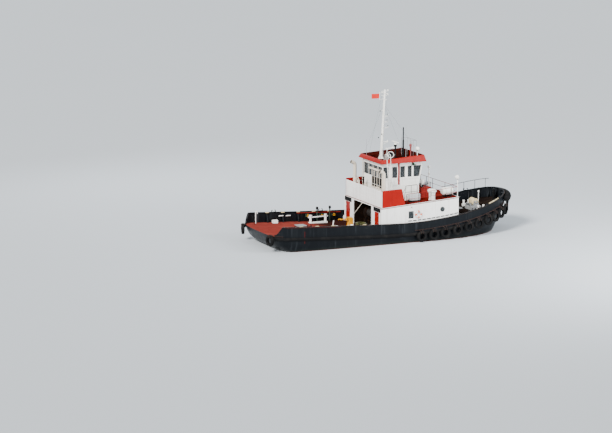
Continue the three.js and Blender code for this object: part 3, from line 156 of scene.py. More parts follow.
# The photograph's view: degrees round from the beam and down, metres off, pixels to a metre, the
# picture's size, and the pixel at which one point of the boat stands
VIEW_ROUND, VIEW_DOWN, VIEW_OFF, VIEW_SCALE = 24, 10.5, 230.0, 10.3
PICTURE = (612, 433)
VIEW_POINT, VIEW_PIXEL = (-0.6, 0, 3.1), (376, 205)
SENSOR = 36
FLOOR_REACH = 900.0


# Shapes of the hull

def rail_z(x):
    """Sheer of the rail: a parabola forward of its lowest point, a gentler power curve aft of it."""
    x = np.asarray(x, float)
    fore = np.clip((x - LOW_X) / (STEM_X - LOW_X), 0, None) ** 2
    aft = np.clip((LOW_X - x) / (LOW_X - STERN_X), 0, None) ** 1.2
    return RAIL_LOW + RAIL_RISE_FORE * fore + RAIL_RISE_AFT * aft


def deck_z(x):
    """The main deck, one bulwark's height under the rail, straight between the frame's own stations."""
    return np.interp(x, STATIONS, rail_z(STATIONS) - BULWARK_HEIGHT)


def deck_at(x):
    """The main deck's height at x, as a plain number."""
    return float(deck_z(x))


def rail_at(x):
    """The rail's height at x, as a plain number."""
    return float(rail_z(x))


def boat_top(x):
    """The boat deck's top: a plane that rises forward."""
    return BOAT_DECK_Z + BOAT_DECK_SLOPE * (np.asarray(x, float) - BAY_BACK_X)


def top_z(x):
    """The boat deck's height at x, as a plain number."""
    return float(boat_top(x))


def wh_front(z):
    """X of the wheelhouse's leaning front at height z."""
    return WH_FRONT_X + WH_LEAN * (z - WH_FLOOR_Z) / (WH_TOP_Z - WH_FLOOR_Z)


def eased(knots, values, at):
    """Values carried smoothly through their knots: cubic pieces that share a slope at each knot."""
    slope = np.gradient(values, knots, axis=0)
    k = np.clip(np.searchsorted(knots, at) - 1, 0, len(knots) - 2)
    step = (knots[k + 1] - knots[k])
    t = (at - knots[k]) / step
    if values.ndim > 1:
        t, step = t[:, None], step[:, None]
    rise = values[k + 1] - values[k]
    return (values[k] + rise * t * t * (3 - 2 * t)
            + slope[k] * step * t * (1 - t) ** 2 - slope[k + 1] * step * t * t * (1 - t))


def half_line(half, aft, fore, full, steps):
    """Half a level line from stern to stem: a rounded quarter, a straight side and a rounded bow.
    Quarter and bow are superellipses, so x and y follow powers of a turn's sine and cosine."""
    quarter = np.linspace(0, np.pi / 2, steps[0], endpoint=False)
    side = np.linspace(0, 1, steps[1], endpoint=False)
    bow = np.linspace(0, np.pi / 2, steps[2])
    power = 2 / STERN_FULL
    x = [aft + STERN_ROUND * (1 - np.cos(quarter) ** power)]
    y = [half * np.sin(quarter) ** power]
    start, end = aft + STERN_ROUND, fore - BOW_ROUND
    x.append(start + (end - start) * side)
    y.append(half + 0 * side)
    x.append(end + BOW_ROUND * np.sin(bow) ** (2 / full))
    y.append(half * np.clip(np.cos(bow), 0, 1) ** (2 / full) * (bow < np.pi / 2 - 1e-9))
    shape = np.broadcast_shapes(*(a.shape[:-1] for a in x))
    return [np.concatenate([np.broadcast_to(a, shape + a.shape[-1:]) for a in v], -1) for v in (x, y)]


STATIONS = half_line(HALF_BEAM, STERN_X, STEM_X, LEVELS[-1, 4], (6, 8, 13))[0]
EDGE_STEPS = (40, 60, 120)
EDGE_X, EDGE_Y = half_line(HALF_BEAM, STERN_X, STEM_X, LEVELS[-1, 4], EDGE_STEPS)


def edge_path(x0, x1, side=1):
    """The deck's edge from x0 to x1: points on deck height and their outward directions."""
    inside = (EDGE_X > x0 + 1e-3) & (EDGE_X < x1 - 1e-3)
    x = np.concatenate([[x0], EDGE_X[inside], [x1]])
    y = np.interp(x, EDGE_X, EDGE_Y)
    return with_normals(x, y, side)


def bow_path(x0, side=1):
    """The deck's edge round the bow, from x0 on the port side to x0 on the starboard side."""
    x = np.concatenate([[x0], EDGE_X[EDGE_X > x0 + 1e-3]])
    y = np.interp(x, EDGE_X, EDGE_Y)
    return with_normals(np.concatenate([x, x[-2::-1]]), np.concatenate([y, -y[-2::-1]]), side)


def with_normals(x, y, side):
    """Points (x, y, deck height) and the level directions square to their line, to its left."""
    points = np.stack([x, side * y, deck_z(x)], -1)
    dx, dy = np.gradient(x), np.gradient(side * y)
    out = np.stack([-dy, dx, 0 * x], -1) * side
    return points, unit(out)


# Surfaces: each is (points, quads, caps), worked out as whole arrays

def unit(v):
    """Vectors at length one."""
    return v / np.maximum(np.linalg.norm(v, axis=-1, keepdims=True), 1e-12)


def turns(count):
    """Equal steps round a whole turn."""
    return np.arange(count) * 2 * np.pi / count


def bent(values, power):
    """Values raised to a power with their signs kept."""
    return np.sign(values) * np.abs(values) ** power


def run_along(points):
    """How far each point lies along its line."""
    return np.concatenate([[0], np.cumsum(np.linalg.norm(np.diff(points, axis=0), axis=1))])


def at_run(at, run, points):
    """The points at given distances along a line."""
    return np.stack([np.interp(at, run, points[:, i]) for i in range(3)], -1)


def grid_faces(rows, cols, wrap_rows=False, wrap_cols=False):
    """Quads of a grid of corners, closed round either way where asked."""
    r = np.arange(rows if wrap_rows else rows - 1)[:, None]
    c = np.arange(cols if wrap_cols else cols - 1)[None, :]
    r2, c2 = (r + 1) % rows, (c + 1) % cols
    return np.stack([r * cols + c, r * cols + c2, r2 * cols + c2, r2 * cols + c], -1).reshape(-1, 4)


def rings(points, closed=False):
    """A closed surface through rings of corners, with flat caps unless the rings close on themselves."""
    rows, cols = points.shape[:2]
    quads = grid_faces(rows, cols, closed, True)
    caps = [] if closed else [np.arange(cols), (rows - 1) * cols + np.arange(cols)]
    return points.reshape(-1, 3), quads, caps


def basis(direction):
    """Three square unit directions, the last along the one given."""
    w = unit(np.asarray(direction, float))
    aside = np.array([1.0, 0, 0]) if abs(w[0]) < 0.9 else np.array([0, 1.0, 0])
    u = unit(np.cross(aside, w))
    return u, np.cross(w, u), w


def tube(path, radius, sides=10, closed=False, lobes=0, lay=0.2, depth=0.0):
    """A round section carried along a path. With lobes, its radius swells in as many strands,
    which turn round the path once in each lay of length."""
    path = np.asarray(path, float)
    tangent = np.roll(path, -1, 0) - np.roll(path, 1, 0) if closed else np.gradient(path, axis=0)
    tangent = unit(tangent)
    flat = np.linalg.svd(path - path.mean(0), full_matrices=True)[2][-1]
    across = unit(np.cross(tangent, flat))
    up = np.cross(across, tangent)
    turn = turns(sides)
    r = np.broadcast_to(np.asarray(radius, float).reshape(-1, 1), (len(path), sides))
    if lobes:
        run = run_along(path)
        r = r * (1 + depth * np.abs(np.cos(lobes / 2 * (turn - 2 * np.pi * run[:, None] / lay))) - depth)
    ring = r[..., None] * (np.cos(turn)[:, None] * across[:, None] + np.sin(turn)[:, None] * up[:, None])
    return rings(path[:, None] + ring, closed)


def sweep(path, out, up, section, closed=False):
    """A flat section of (outward, upward) points carried along a path by its own directions."""
    section = np.broadcast_to(section, (len(path),) + np.shape(section)[-2:])
    up = np.broadcast_to(up, path.shape)
    out = np.broadcast_to(out, path.shape)
    return rings(path[:, None] + section[..., :1] * out[:, None] + section[..., 1:] * up[:, None], closed)


def lathe(profile, centre=(0, 0, 0), axis=(0, 0, 1), sides=32, closed=False):
    """A profile of (radius, height) turned about an axis through centre."""
    profile = np.asarray(profile, float)
    u, v, w = basis(axis)
    turn = (np.arange(sides) + 0.5) * 2 * np.pi / sides
    ring = np.cos(turn)[:, None] * u + np.sin(turn)[:, None] * v
    points = np.asarray(centre, float) + profile[:, :1, None] * ring + profile[:, 1:, None] * w
    return rings(points, closed)


def bar(a, b, r, r2=None, sides=12):
    """A straight round bar from a to b, with its radius at each end."""
    a, b = np.asarray(a, float), np.asarray(b, float)
    length = np.linalg.norm(b - a)
    return lathe([(r, 0), (r if r2 is None else r2, length)], a, b - a, sides)


def ball(centre, r, squash=1.0, axis=(0, 0, 1), sides=20):
    """A sphere, flattened along its axis by squash."""
    turn = np.linspace(0, np.pi, sides // 2 + 1)
    return lathe(np.stack([r * np.sin(turn), -r * squash * np.cos(turn)], -1), centre, axis, sides)


def ring_of(centre, axis, big, small, sides=32, around=12):
    """A round bar bent into a ring."""
    turn = turns(around)
    return lathe(np.stack([big + small * np.cos(turn), small * np.sin(turn)], -1), centre, axis, sides, True)


def block(lo, hi):
    """A box between two corners."""
    (x0, y0, z0), (x1, y1, z1) = lo, hi
    ring = lambda z: [(x0, y0, z), (x1, y0, z), (x1, y1, z), (x0, y1, z)]
    return rings(np.array([ring(z0), ring(z1)], float))


def prism(outline, axis, low, high):
    """A drawn outline pushed along an axis: (y, z) points along x, (x, z) along y, (x, y) along z."""
    outline = np.asarray(outline, float)
    order = {"x": (2, 0, 1), "y": (0, 2, 1), "z": (0, 1, 2)}[axis]
    ends = [np.insert(outline, 2, end, axis=1)[:, order] for end in (low, high)]
    return rings(np.stack(ends))


def rounded(points, reach, steps=6, closed=False):
    """A line of points with each corner eased: a quadratic arc between points at reach from it."""
    points = np.asarray(points, float)
    before, after = np.roll(points, 1, 0), np.roll(points, -1, 0)
    t = np.linspace(0, 1, steps + 1)[None, :, None]
    start = points + unit(before - points) * reach
    end = points + unit(after - points) * reach
    arcs = (1 - t) ** 2 * start[:, None] + 2 * t * (1 - t) * points[:, None] + t * t * end[:, None]
    if closed:
        return arcs.reshape(-1, points.shape[1])
    return np.concatenate([points[:1], arcs[1:-1].reshape(-1, points.shape[1]), points[-1:]])


def border(corners, wide, proud, normal, sink=0.01):
    """A flat frame round a closed outline: its inner line lies wide within the outer one, mitred,
    and it stands proud of the surface along the normal."""
    corners = np.asarray(corners, float)
    normal = unit(np.asarray(normal, float))
    ahead = unit(np.roll(corners, -1, 0) - corners)
    inward = np.cross(normal, ahead)
    inward = inward * np.sign(np.sum(inward * (corners.mean(0) - corners)))
    behind = np.roll(inward, 1, 0)
    mitre = (inward + behind) / (1 + np.sum(inward * behind, axis=1, keepdims=True))
    section = [
        (0, -sink), (0, proud * 0.7), (wide * 0.2, proud), (wide * 0.8, proud), (wide, proud * 0.7),
        (wide, -sink),
    ]
    section = np.array(section)
    points = corners[:, None] + section[None, :, :1] * mitre[:, None] + section[None, :, 1:] * normal
    return rings(points, True)


def scatter(surface, at, frames=None):
    """Copies of a small surface at many places, each turned by its own three directions."""
    points, quads, caps = surface
    at = np.asarray(at, float).reshape(-1, 3)
    frames = np.broadcast_to(np.eye(3), (len(at), 3, 3)) if frames is None else np.asarray(frames, float)
    moved = at[:, None] + np.einsum("mk,nkj->nmj", points, frames)
    shift = np.arange(len(at))[:, None, None] * len(points)
    return moved.reshape(-1, 3), (quads[None] + shift).reshape(-1, 4), [
        cap + n * len(points) for n in range(len(at)) for cap in caps
    ]


def mirrored(surface):
    """The same surface on the other side of the boat."""
    points, quads, caps = surface
    return points * (1, -1, 1), quads, caps


def on_side(surface, side):
    """The surface as drawn to port, or its mirror for starboard."""
    return surface if side > 0 else mirrored(surface)


class Shape:
    """Surfaces gathered into one piece: corners, faces and the finish of each face."""

    def __init__(self, *surfaces):
        self.points, self.faces, self.finish, self.count = [], [], [], 0
        for surface in surfaces:
            self.add(surface)

    def add(self, surface, finish=0):
        """Takes one surface in, with the number of its finish."""
        points, quads, caps = surface
        self.points.append(points)
        faces = (quads + self.count).tolist() + [(cap + self.count).tolist() for cap in caps]
        self.faces += faces
        self.finish += [finish] * len(faces)
        self.count += len(points)
        return self

    def on(self, side, surface, finish=0):
        """Takes a surface drawn to port in on one side of the boat."""
        return self.add(on_side(surface, side), finish)

    def both(self, surface, finish=0):
        """Takes a surface in on both sides of the boat."""
        return self.add(surface, finish).add(mirrored(surface), finish)


def piece(name, shape, finishes, body="boat", replaces=(), bevel=0.0, sharp=38):
    """Welds a shape into one mesh with its faces outwards, and sets it on its body."""
    mesh = bpy.data.meshes.new(name)
    mesh.from_pydata(np.concatenate(shape.points).tolist(), [], shape.faces)
    mesh.polygons.foreach_set("material_index", np.array(shape.finish, np.int32))
    work = bmesh.new()
    work.from_mesh(mesh)
    bmesh.ops.remove_doubles(work, verts=work.verts, dist=WELD)
    bmesh.ops.recalc_face_normals(work, faces=work.faces)
    work.to_mesh(mesh)
    work.free()
    mesh.polygons.foreach_set("use_smooth", np.ones(len(mesh.polygons), bool))
    mesh.set_sharp_from_angle(angle=math.radians(sharp))
    names = (finishes,) if isinstance(finishes, str) else finishes
    for finish in names:
        mesh.materials.append(material(finish))
    obj = bpy.data.objects.new(name, mesh)
    bpy.context.scene.collection.objects.link(obj)
    if bevel:
        ease = obj.modifiers.new("eased edges", "BEVEL")
        ease.width, ease.segments, ease.limit_method = bevel, 2, "ANGLE"
        ease.angle_limit = math.radians(40)
    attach(obj, body)
    if replaces:
        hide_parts(*((replaces,) if isinstance(replaces, str) else replaces))
    return obj


# Sizes and colours that a user would change

def colour_property(name, description, hex_digits):
    """A paint colour on a settings panel, given as six hex digits."""
    return FloatVectorProperty(
        name=name, description=description, subtype="COLOR", size=4, min=0, max=1, default=linear(hex_digits),
    )


def linear(hex_digits):
    """Six hex digits as linear light, with full alpha."""
    parts = np.array([int(hex_digits[i:i + 2], 16) / 255 for i in (0, 2, 4)])
    light = np.where(parts <= 0.04045, parts / 12.92, ((parts + 0.055) / 1.055) ** 2.4)
    return (*light.tolist(), 1.0)


def length_property(name, description, default):
    """A length in metres on a settings panel."""
    return FloatProperty(name=name, description=description, default=default, min=0.0, unit="LENGTH")


class TugHullSettings(PropertyGroup):
    """Sizes of what lies along the hull."""
    stay_spacing: length_property("Stay spacing", "Distance between the stays inside the bulwark", 1.65)
    tyre_radius: length_property("Tyre radius", "Outer radius of the tyres hung on the side", 0.525)
    tread_lugs: IntProperty(name="Tread lugs", description="Lugs round each tyre", default=26, min=4, max=60)
    fender_ribs: length_property("Fender ribs", "Distance between the ribs of the bow fender", 0.22)
    chain_pitch: length_property("Chain pitch", "Distance between the links of the tyres' chain", 0.11)


class TugHouseSettings(PropertyGroup):
    """Sizes on the house and wheelhouse."""
    gasket: length_property("Gasket", "Width of the rubber round each wheelhouse window", 0.035)
    porthole_radius: length_property("Porthole radius", "Radius of the round windows' glass", 0.19)
    rail_radius: length_property("Rail radius", "Radius of the boat deck's rails", 0.021)
    rung_spacing: length_property("Rung spacing", "Distance between the rungs of ladders", 0.3)


class TugGearSettings(PropertyGroup):
    """Sizes of ropes, wires and cloth."""
    hawser: length_property("Hawser", "Diameter of the rope on the windlass and the bow", 0.07)
    tow_wire: length_property("Tow wire", "Diameter of the wire on the towing winch", 0.045)
    stay_wire: length_property("Stay wire", "Diameter of the mast's stays", 0.01)


class TugPaintSettings(PropertyGroup):
    """Colours and weathering."""
    hull: colour_property("Hull", "Paint of the topsides and bulwarks", "0b0e12")
    deck: colour_property("Deck", "Paint of the after deck", "76302a")
    house: colour_property("House", "Paint of the house", "f0efec")
    trim: colour_property("Trim", "Paint of the roof's fascia, screens and doors", "900a02")
    wear: FloatProperty(
        name="Wear", description="How much paint has chipped", default=0.3, subtype="FACTOR", min=0, max=1,
    )
    dirt: FloatProperty(
        name="Dirt", description="How much grime has run", default=0.5, subtype="FACTOR", min=0, max=1,
    )


class TugStageSettings(PropertyGroup):
    """Floor and light."""
    floor: colour_property("Floor", "Colour of the floor", "bfc5ca")
    key: FloatProperty(name="Key light", description="Strength of the main light", default=6.4, min=0)
    fill: FloatProperty(
        name="Fill light", description="Strength of the light from all round", default=0.8, min=0,
    )


SETTINGS = {
    "tug_hull": TugHullSettings,
    "tug_house": TugHouseSettings,
    "tug_gear": TugGearSettings,
    "tug_paint": TugPaintSettings,
    "tug_stage": TugStageSettings,
}


# Finishes

class Wiring:
    """Adds nodes to a tree. A value for a socket is a plain number or colour, or another node's socket."""

    def __init__(self, tree):
        self.tree = tree

    def node(self, kind, inputs=None, **settings):
        """One node with its settings and the values or links of its sockets."""
        node = self.tree.nodes.new(kind)
        for key, value in settings.items():
            setattr(node, key, value)
        for key, value in (inputs or {}).items():
            self.feed(node.inputs[key], value)
        return node

    def feed(self, socket, value):
        """Links a socket, or sets it."""
        if isinstance(value, bpy.types.NodeSocket):
            self.tree.links.new(value, socket)
        else:
            socket.default_value = value

    def math(self, operation, a, b=0.5, clamp=False):
        """The result of one sum."""
        return self.node("ShaderNodeMath", {0: a, 1: b}, operation=operation, use_clamp=clamp).outputs[0]

    def times(self, a, b):
        """One value times another."""
        return self.math("MULTIPLY", a, b)

    def plus(self, a, b):
        """One value and another."""
        return self.math("ADD", a, b)

    def minus(self, a, b):
        """One value less another."""
        return self.math("SUBTRACT", a, b)

    def noise(self, vector, scale, detail=4.0, rough=0.55):
        """Cloudy noise between 0 and 1."""
        inputs = {"Vector": vector, "Scale": scale, "Detail": detail, "Roughness": rough}
        return self.node("ShaderNodeTexNoise", inputs).outputs[0]

    def ramp(self, value, low, high, to_low=0.0, to_high=1.0):
        """A value between low and high carried to another range, held at its ends."""
        inputs = {"Value": value, "From Min": low, "From Max": high, "To Min": to_low, "To Max": to_high}
        return self.node("ShaderNodeMapRange", inputs, clamp=True).outputs[0]

    def mix(self, share, a, b):
        """Colour a with a share of colour b over it."""
        return self.node("ShaderNodeMix", {0: share, 6: a, 7: b}, data_type="RGBA").outputs[2]

    def place(self):
        """The point of the surface in the boat's own frame."""
        return self.node("ShaderNodeTexCoord").outputs["Object"]

    def stretched(self, vector, by, scale=1.0):
        """A vector times a scale, and times a fixed amount along each axis."""
        scaled = self.node("ShaderNodeVectorMath", {0: vector, "Scale": scale}, operation="SCALE").outputs[0]
        return self.node("ShaderNodeVectorMath", {0: scaled, 1: by}, operation="MULTIPLY").outputs[0]


def new_group(name, inputs, outputs):
    """A shader node group with named sockets: its wiring, what comes in and what goes out."""
    tree = bpy.data.node_groups.new(name, "ShaderNodeTree")
    for label, default in inputs.items():
        kind = "NodeSocketFloat" if isinstance(default, (int, float)) else "NodeSocketColor"
        tree.interface.new_socket(label, in_out="INPUT", socket_type=kind).default_value = default
    for label in outputs:
        kind = "NodeSocketColor" if label == "Color" else "NodeSocketFloat"
        tree.interface.new_socket(label, in_out="OUTPUT", socket_type=kind)
    wires = Wiring(tree)
    return wires, wires.node("NodeGroupInput").outputs, wires.node("NodeGroupOutput").inputs


GREY = (0.5, 0.5, 0.5, 1.0)


def weathered_paint():
    """Paint with uneven tone, grime that has run down it and chips down to what is under it."""
    wires, given, out = new_group(
        "weathered_paint",
        {"Paint": GREY, "Worn": GREY, "Grime": GREY, "Wear": 0.3, "Dirt": 0.5, "Gloss": 0.45, "Grain": 1.0},
        ("Color", "Roughness", "Height"),
    )
    place = wires.place()
    broad = wires.noise(place, wires.times(given["Grain"], 0.45), 3.0)
    fine = wires.noise(place, wires.times(given["Grain"], 6.0), 8.0, 0.7)
    runs = wires.noise(wires.stretched(place, (2.2, 2.2, 0.16), given["Grain"]), 1.0, 6.0, 0.6)
    streak = wires.times(wires.ramp(runs, 0.48, 0.74), given["Dirt"])
    blotch = wires.times(wires.ramp(broad, 0.46, 0.8), given["Dirt"])
    grime = wires.math("MAXIMUM", streak, wires.times(blotch, 0.55))
    seed = wires.plus(wires.times(fine, 0.6), wires.times(broad, 0.4))
    lift = wires.times(given["Wear"], 0.22)
    low = wires.minus(0.7, lift)
    chips = wires.ramp(seed, low, wires.plus(low, 0.025))
    tone = wires.ramp(broad, 0.25, 0.75, 0.86, 1.08)
    toned = wires.node("ShaderNodeHueSaturation", {"Value": tone, "Color": given["Paint"]}).outputs[0]
    wires.feed(out["Color"], wires.mix(chips, wires.mix(grime, toned, given["Grime"]), given["Worn"]))
    rough = wires.plus(given["Gloss"], wires.times(grime, 0.3))
    rough = wires.plus(rough, wires.times(chips, 0.25))
    uneven = wires.times(wires.minus(fine, 0.5), 0.25)
    wires.feed(out["Roughness"], wires.math("ADD", rough, uneven, clamp=True))
    lumps = wires.times(fine, 0.35)
    wires.feed(out["Height"], wires.minus(lumps, wires.times(chips, 0.6)))


def run_marks():
    """A mask of thin marks that water has drawn down a side, in some places and not in others."""
    wires, given, out = new_group("run_marks", {"Amount": 0.5, "Grain": 1.0}, ("Mask",))
    place = wires.place()
    thin = wires.noise(wires.stretched(place, (5.0, 5.0, 0.3), given["Grain"]), 1.0, 3.0, 0.5)
    where = wires.noise(place, wires.times(given["Grain"], 0.7), 2.0)
    mask = wires.times(wires.ramp(thin, 0.56, 0.74), wires.ramp(where, 0.42, 0.62))
    wires.feed(out["Mask"], wires.times(mask, given["Amount"]))


def water_line():
    """Masks by height: what lies below the level, and a band of growth that fades above it."""
    wires, given, out = new_group("water_line", {"Level": 0.1, "Band": 0.3}, ("Below", "Growth"))
    place = wires.place()
    height = wires.node("ShaderNodeSeparateXYZ", {0: place}).outputs[2]
    ragged = wires.times(wires.minus(wires.noise(place, 3.0, 6.0, 0.7), 0.5), 0.35)
    z = wires.minus(wires.plus(height, ragged), given["Level"])
    wires.feed(out["Below"], wires.ramp(wires.minus(height, given["Level"]), 0.01, -0.01))
    wires.feed(out["Growth"], wires.ramp(z, given["Band"], 0.0))


def trodden_deck():
    """Gritty deck paint, paler where it is trodden and darker where oil and water lie."""
    wires, given, out = new_group(
        "trodden_deck",
        {"Paint": GREY, "Worn": GREY, "Stain": GREY, "Wear": 0.4, "Grain": 1.0},
        ("Color", "Roughness", "Height"),
    )
    place = wires.place()
    paths = wires.noise(wires.stretched(place, (0.35, 0.9, 1.0), given["Grain"]), 1.0, 5.0, 0.6)
    spots = wires.noise(place, wires.times(given["Grain"], 2.6), 7.0, 0.68)
    grit = wires.noise(place, wires.times(given["Grain"], 60.0), 2.0, 0.5)
    trodden = wires.times(wires.ramp(paths, 0.44, 0.72), given["Wear"])
    stain = wires.times(wires.ramp(spots, 0.54, 0.72), 0.65)
    base = wires.mix(trodden, given["Paint"], given["Worn"])
    wires.feed(out["Color"], wires.mix(stain, base, given["Stain"]))
    wires.feed(out["Roughness"], wires.ramp(wires.minus(spots, stain), -0.1, 0.7, 0.3, 0.78))
    wires.feed(out["Height"], wires.plus(grit, wires.times(spots, 0.6)))


def scuffed_rubber():
    """Rubber with pale scuffs, salt in its hollows and a dull, pitted skin."""
    wires, given, out = new_group(
        "scuffed_rubber", {"Rubber": GREY, "Scuff": GREY, "Amount": 0.4, "Grain": 1.0},
        ("Color", "Roughness", "Height"),
    )
    place = wires.place()
    patch = wires.noise(place, wires.times(given["Grain"], 1.6), 5.0, 0.6)
    pits = wires.noise(place, wires.times(given["Grain"], 22.0), 6.0, 0.65)
    scuff = wires.times(wires.ramp(patch, 0.48, 0.75), wires.ramp(pits, 0.42, 0.68))
    share = wires.times(scuff, given["Amount"])
    wires.feed(out["Color"], wires.mix(share, given["Rubber"], given["Scuff"]))
    wires.feed(out["Roughness"], wires.ramp(pits, 0.3, 0.7, 0.62, 0.92))
    wires.feed(out["Height"], pits)


def worn_metal():
    """Bare metal, tarnished or rusted in patches."""
    wires, given, out = new_group(
        "worn_metal", {"Metal": GREY, "Tarnish": GREY, "Amount": 0.4, "Grain": 1.0},
        ("Color", "Roughness", "Height", "Bare"),
    )
    place = wires.place()
    patch = wires.noise(place, wires.times(given["Grain"], 4.0), 6.0, 0.65)
    fine = wires.noise(place, wires.times(given["Grain"], 40.0), 4.0, 0.6)
    low = wires.minus(0.75, wires.times(given["Amount"], 0.5))
    tarnish = wires.ramp(patch, low, wires.plus(low, 0.12))
    wires.feed(out["Color"], wires.mix(tarnish, given["Metal"], given["Tarnish"]))
    wires.feed(out["Roughness"], wires.plus(wires.ramp(tarnish, 0, 1, 0.28, 0.75), wires.times(fine, 0.15)))
    wires.feed(out["Height"], wires.plus(wires.times(fine, 0.4), wires.times(tarnish, 0.5)))
    wires.feed(out["Bare"], wires.ramp(tarnish, 0, 1, 1.0, 0.15))


def fibre():
    """Rope and cloth: fine fibres with uneven dye and soil."""
    wires, given, out = new_group(
        "fibre", {"Dye": GREY, "Soil": GREY, "Amount": 0.4, "Grain": 1.0}, ("Color", "Roughness", "Height"),
    )
    place = wires.place()
    strands = wires.noise(place, wires.times(given["Grain"], 70.0), 3.0, 0.6)
    patch = wires.noise(place, wires.times(given["Grain"], 3.0), 4.0)
    soil = wires.times(wires.ramp(patch, 0.4, 0.75), given["Amount"])
    dark = wires.node(
        "ShaderNodeHueSaturation", {"Value": wires.ramp(strands, 0.3, 0.7, 0.75, 1.1), "Color": given["Dye"]},
    )
    wires.feed(out["Color"], wires.mix(soil, dark.outputs[0], given["Soil"]))
    wires.feed(out["Roughness"], wires.ramp(strands, 0.2, 0.8, 0.7, 0.95))
    wires.feed(out["Height"], strands)


GROUPS = (weathered_paint, run_marks, water_line, trodden_deck, scuffed_rubber, worn_metal, fibre)

# Paints: colour, what shows where it is worn, grime, wear, dirt, gloss, grain, what runs and how much
PAINTS = {
    "white_paint": ("house", "b8b0a4", "aaa498", 0.16, 0.3, 0.38, 1.0, "96745c", 0.3),
    "clean_white": ("eceae4", "b9b2a4", "a29c90", 0.1, 0.3, 0.32, 1.6, "8a5a3c", 0.2),
    "trim_red": ("trim", "6a1c12", "5c140c", 0.16, 0.4, 0.4, 1.1, "c8a89c", 0.08),
    "faded_red": ("84201a", "b06a60", "40140f", 0.4, 0.6, 0.6, 1.2, "4a2a22", 0.3),
    "dull_red": ("4a1210", "5a3a34", "2a0c0a", 0.4, 0.6, 0.6, 1.2, "3a2622", 0.3),
    "black_paint": ("0c0c0d", "3c352e", "1a1816", 0.3, 0.4, 0.5, 1.4, "3c3a36", 0.25),
    "grey_paint": ("8b8d8e", "5e564c", "5c5a55", 0.35, 0.5, 0.5, 1.4, "6b4632", 0.4),
    "rail_wear": ("26201e", "6a5f58", "141110", 0.6, 0.6, 0.6, 2.4, "5a2c1c", 0.4),
    # Brown paint darkened as painted shade: the winch and the bay's inside stand in the bay's shadow.
    "winch_brown": ("150e0a", "3a2417", "0a0807", 0.7, 0.6, 0.62, 1.8, "7a4a2c", 0.5),
    "buff_white": ("d9cfbf", "b5a58c", "6e5f4c", 0.4, 0.5, 0.5, 1.0, "6a5a48", 0.2),
    "buff_paint": ("cdbb92", "8d6f4a", "7f735c", 0.45, 0.5, 0.55, 2.0, "7a4a2c", 0.5),
    "yellow_paint": ("e09c04", "7a4c0c", "5c3c10", 0.45, 0.45, 0.45, 2.2, "6b4426", 0.4),
    "dark_green": ("2d3a30", "5a5a4a", "20241f", 0.4, 0.4, 0.5, 2.0, "5a3d28", 0.3),
    "raft_shell": ("e6e6e2", "c9c8c2", "98948a", 0.12, 0.4, 0.3, 1.8, "8a7a66", 0.25),
    "dinghy_shell": ("b7b9ba", "8f9192", "6e6e6a", 0.3, 0.5, 0.4, 1.8, "6b5a48", 0.3),
    "float_orange": ("d9531e", "e0a684", "8a4a2c", 0.25, 0.35, 0.5, 3.0, "6a4a3a", 0.15),
    "antifouled": ("6a3128", "3f2a24", "3b4234", 0.4, 0.7, 0.65, 1.0, "5a6046", 0.5),
    "wood": ("8a6440", "5a4430", "3c3026", 0.4, 0.5, 0.55, 4.0, "3c3026", 0.2),
    "panel_grey": ("4c5052", "34383a", "2b2d2e", 0.2, 0.3, 0.45, 3.0, "2b2d2e", 0.1),
}
# Decks: colour, trodden, stained, wear, grain
DECKS = {
    "deck_red": ("deck", "a05446", "341310", 0.42, 1.0),
    "deck_dark": ("16110f", "362b25", "0a0908", 0.5, 1.1),
    "boat_deck_red": ("580f0a", "84382e", "240a08", 0.45, 1.2),
    "roof_red": ("330c08", "5c241c", "120705", 0.5, 1.3),
}
# Rubbers: colour, scuffs, how much, grain
RUBBERS = {
    "tyre_rubber": ("0b0b0c", "4a4742", 0.55, 1.0),
    "fender_rubber": ("0c0c0d", "45423d", 0.4, 0.8),
    "gasket": ("101011", "3a3938", 0.3, 3.0),
    "hose": ("1a1a1b", "4c4a48", 0.3, 3.0),
}
# Metals: colour, tarnish, how much, grain
METALS = {
    "galvanised": ("9a9d9f", "6f6e6a", 0.5, 1.0),
    "bare_steel": ("8a8c8e", "5f4a3a", 0.45, 1.2),
    "rusty_steel": ("3c3835", "34211a", 0.9, 1.0),
    "bronze": ("b08a4c", "4f6a52", 0.45, 1.0),
    "wire": ("2c2927", "1a1512", 0.8, 2.0),
    "brass": ("b99a58", "6a5a34", 0.4, 2.0),
}
# Fibres: dye, soil, how much, grain
FIBRES = {
    "olive_rope": ("4b4c18", "222013", 0.7, 1.0),
    "cream_hawser": ("c9b994", "7d6c4c", 0.6, 1.0),
    "flag_cloth": ("cf2a1e", "8e1f18", 0.35, 1.0),
    "cushion_cloth": ("232325", "3c3a38", 0.4, 2.0),
    "lashing": ("d8d2c2", "8a8272", 0.4, 2.0),
}
# Glass and lenses: tint, roughness, how much light goes through
GLASSES = {
    "window_glass": ("1c2629", 0.04, 0.6),
    "lamp_glass": ("e8ecec", 0.12, 0.35),
    "red_lens": ("a3140e", 0.1, 0.3),
    "green_lens": ("0e7a3c", 0.1, 0.3),
    "dark_screen": ("0a0f12", 0.08, 0.0),
}


# Shine of a finish, as the shader's specular level: decks and the floor, paint, metal and glass
DULL, SATIN, CLEAN = 0.0, 0.12, 0.5


def shaded(name, shine=SATIN):
    """A new material: its wiring and its shader, joined to the output."""
    made = bpy.data.materials.new(f"tug_{name}")
    made.use_nodes = True
    wires = Wiring(made.node_tree)
    shader = made.node_tree.nodes["Principled BSDF"]
    shader.inputs["Specular IOR Level"].default_value = shine
    return made, wires, shader


def use(wires, name, inputs):
    """One of the shared effects, with its own values, as its outputs."""
    return wires.node("ShaderNodeGroup", inputs, node_tree=bpy.data.node_groups[name]).outputs


def raise_surface(wires, shader, height, strength, distance):
    """Lets a height tilt the light on the surface."""
    inputs = {"Height": height, "Strength": strength, "Distance": distance}
    wires.feed(shader.inputs["Normal"], wires.node("ShaderNodeBump", inputs).outputs[0])


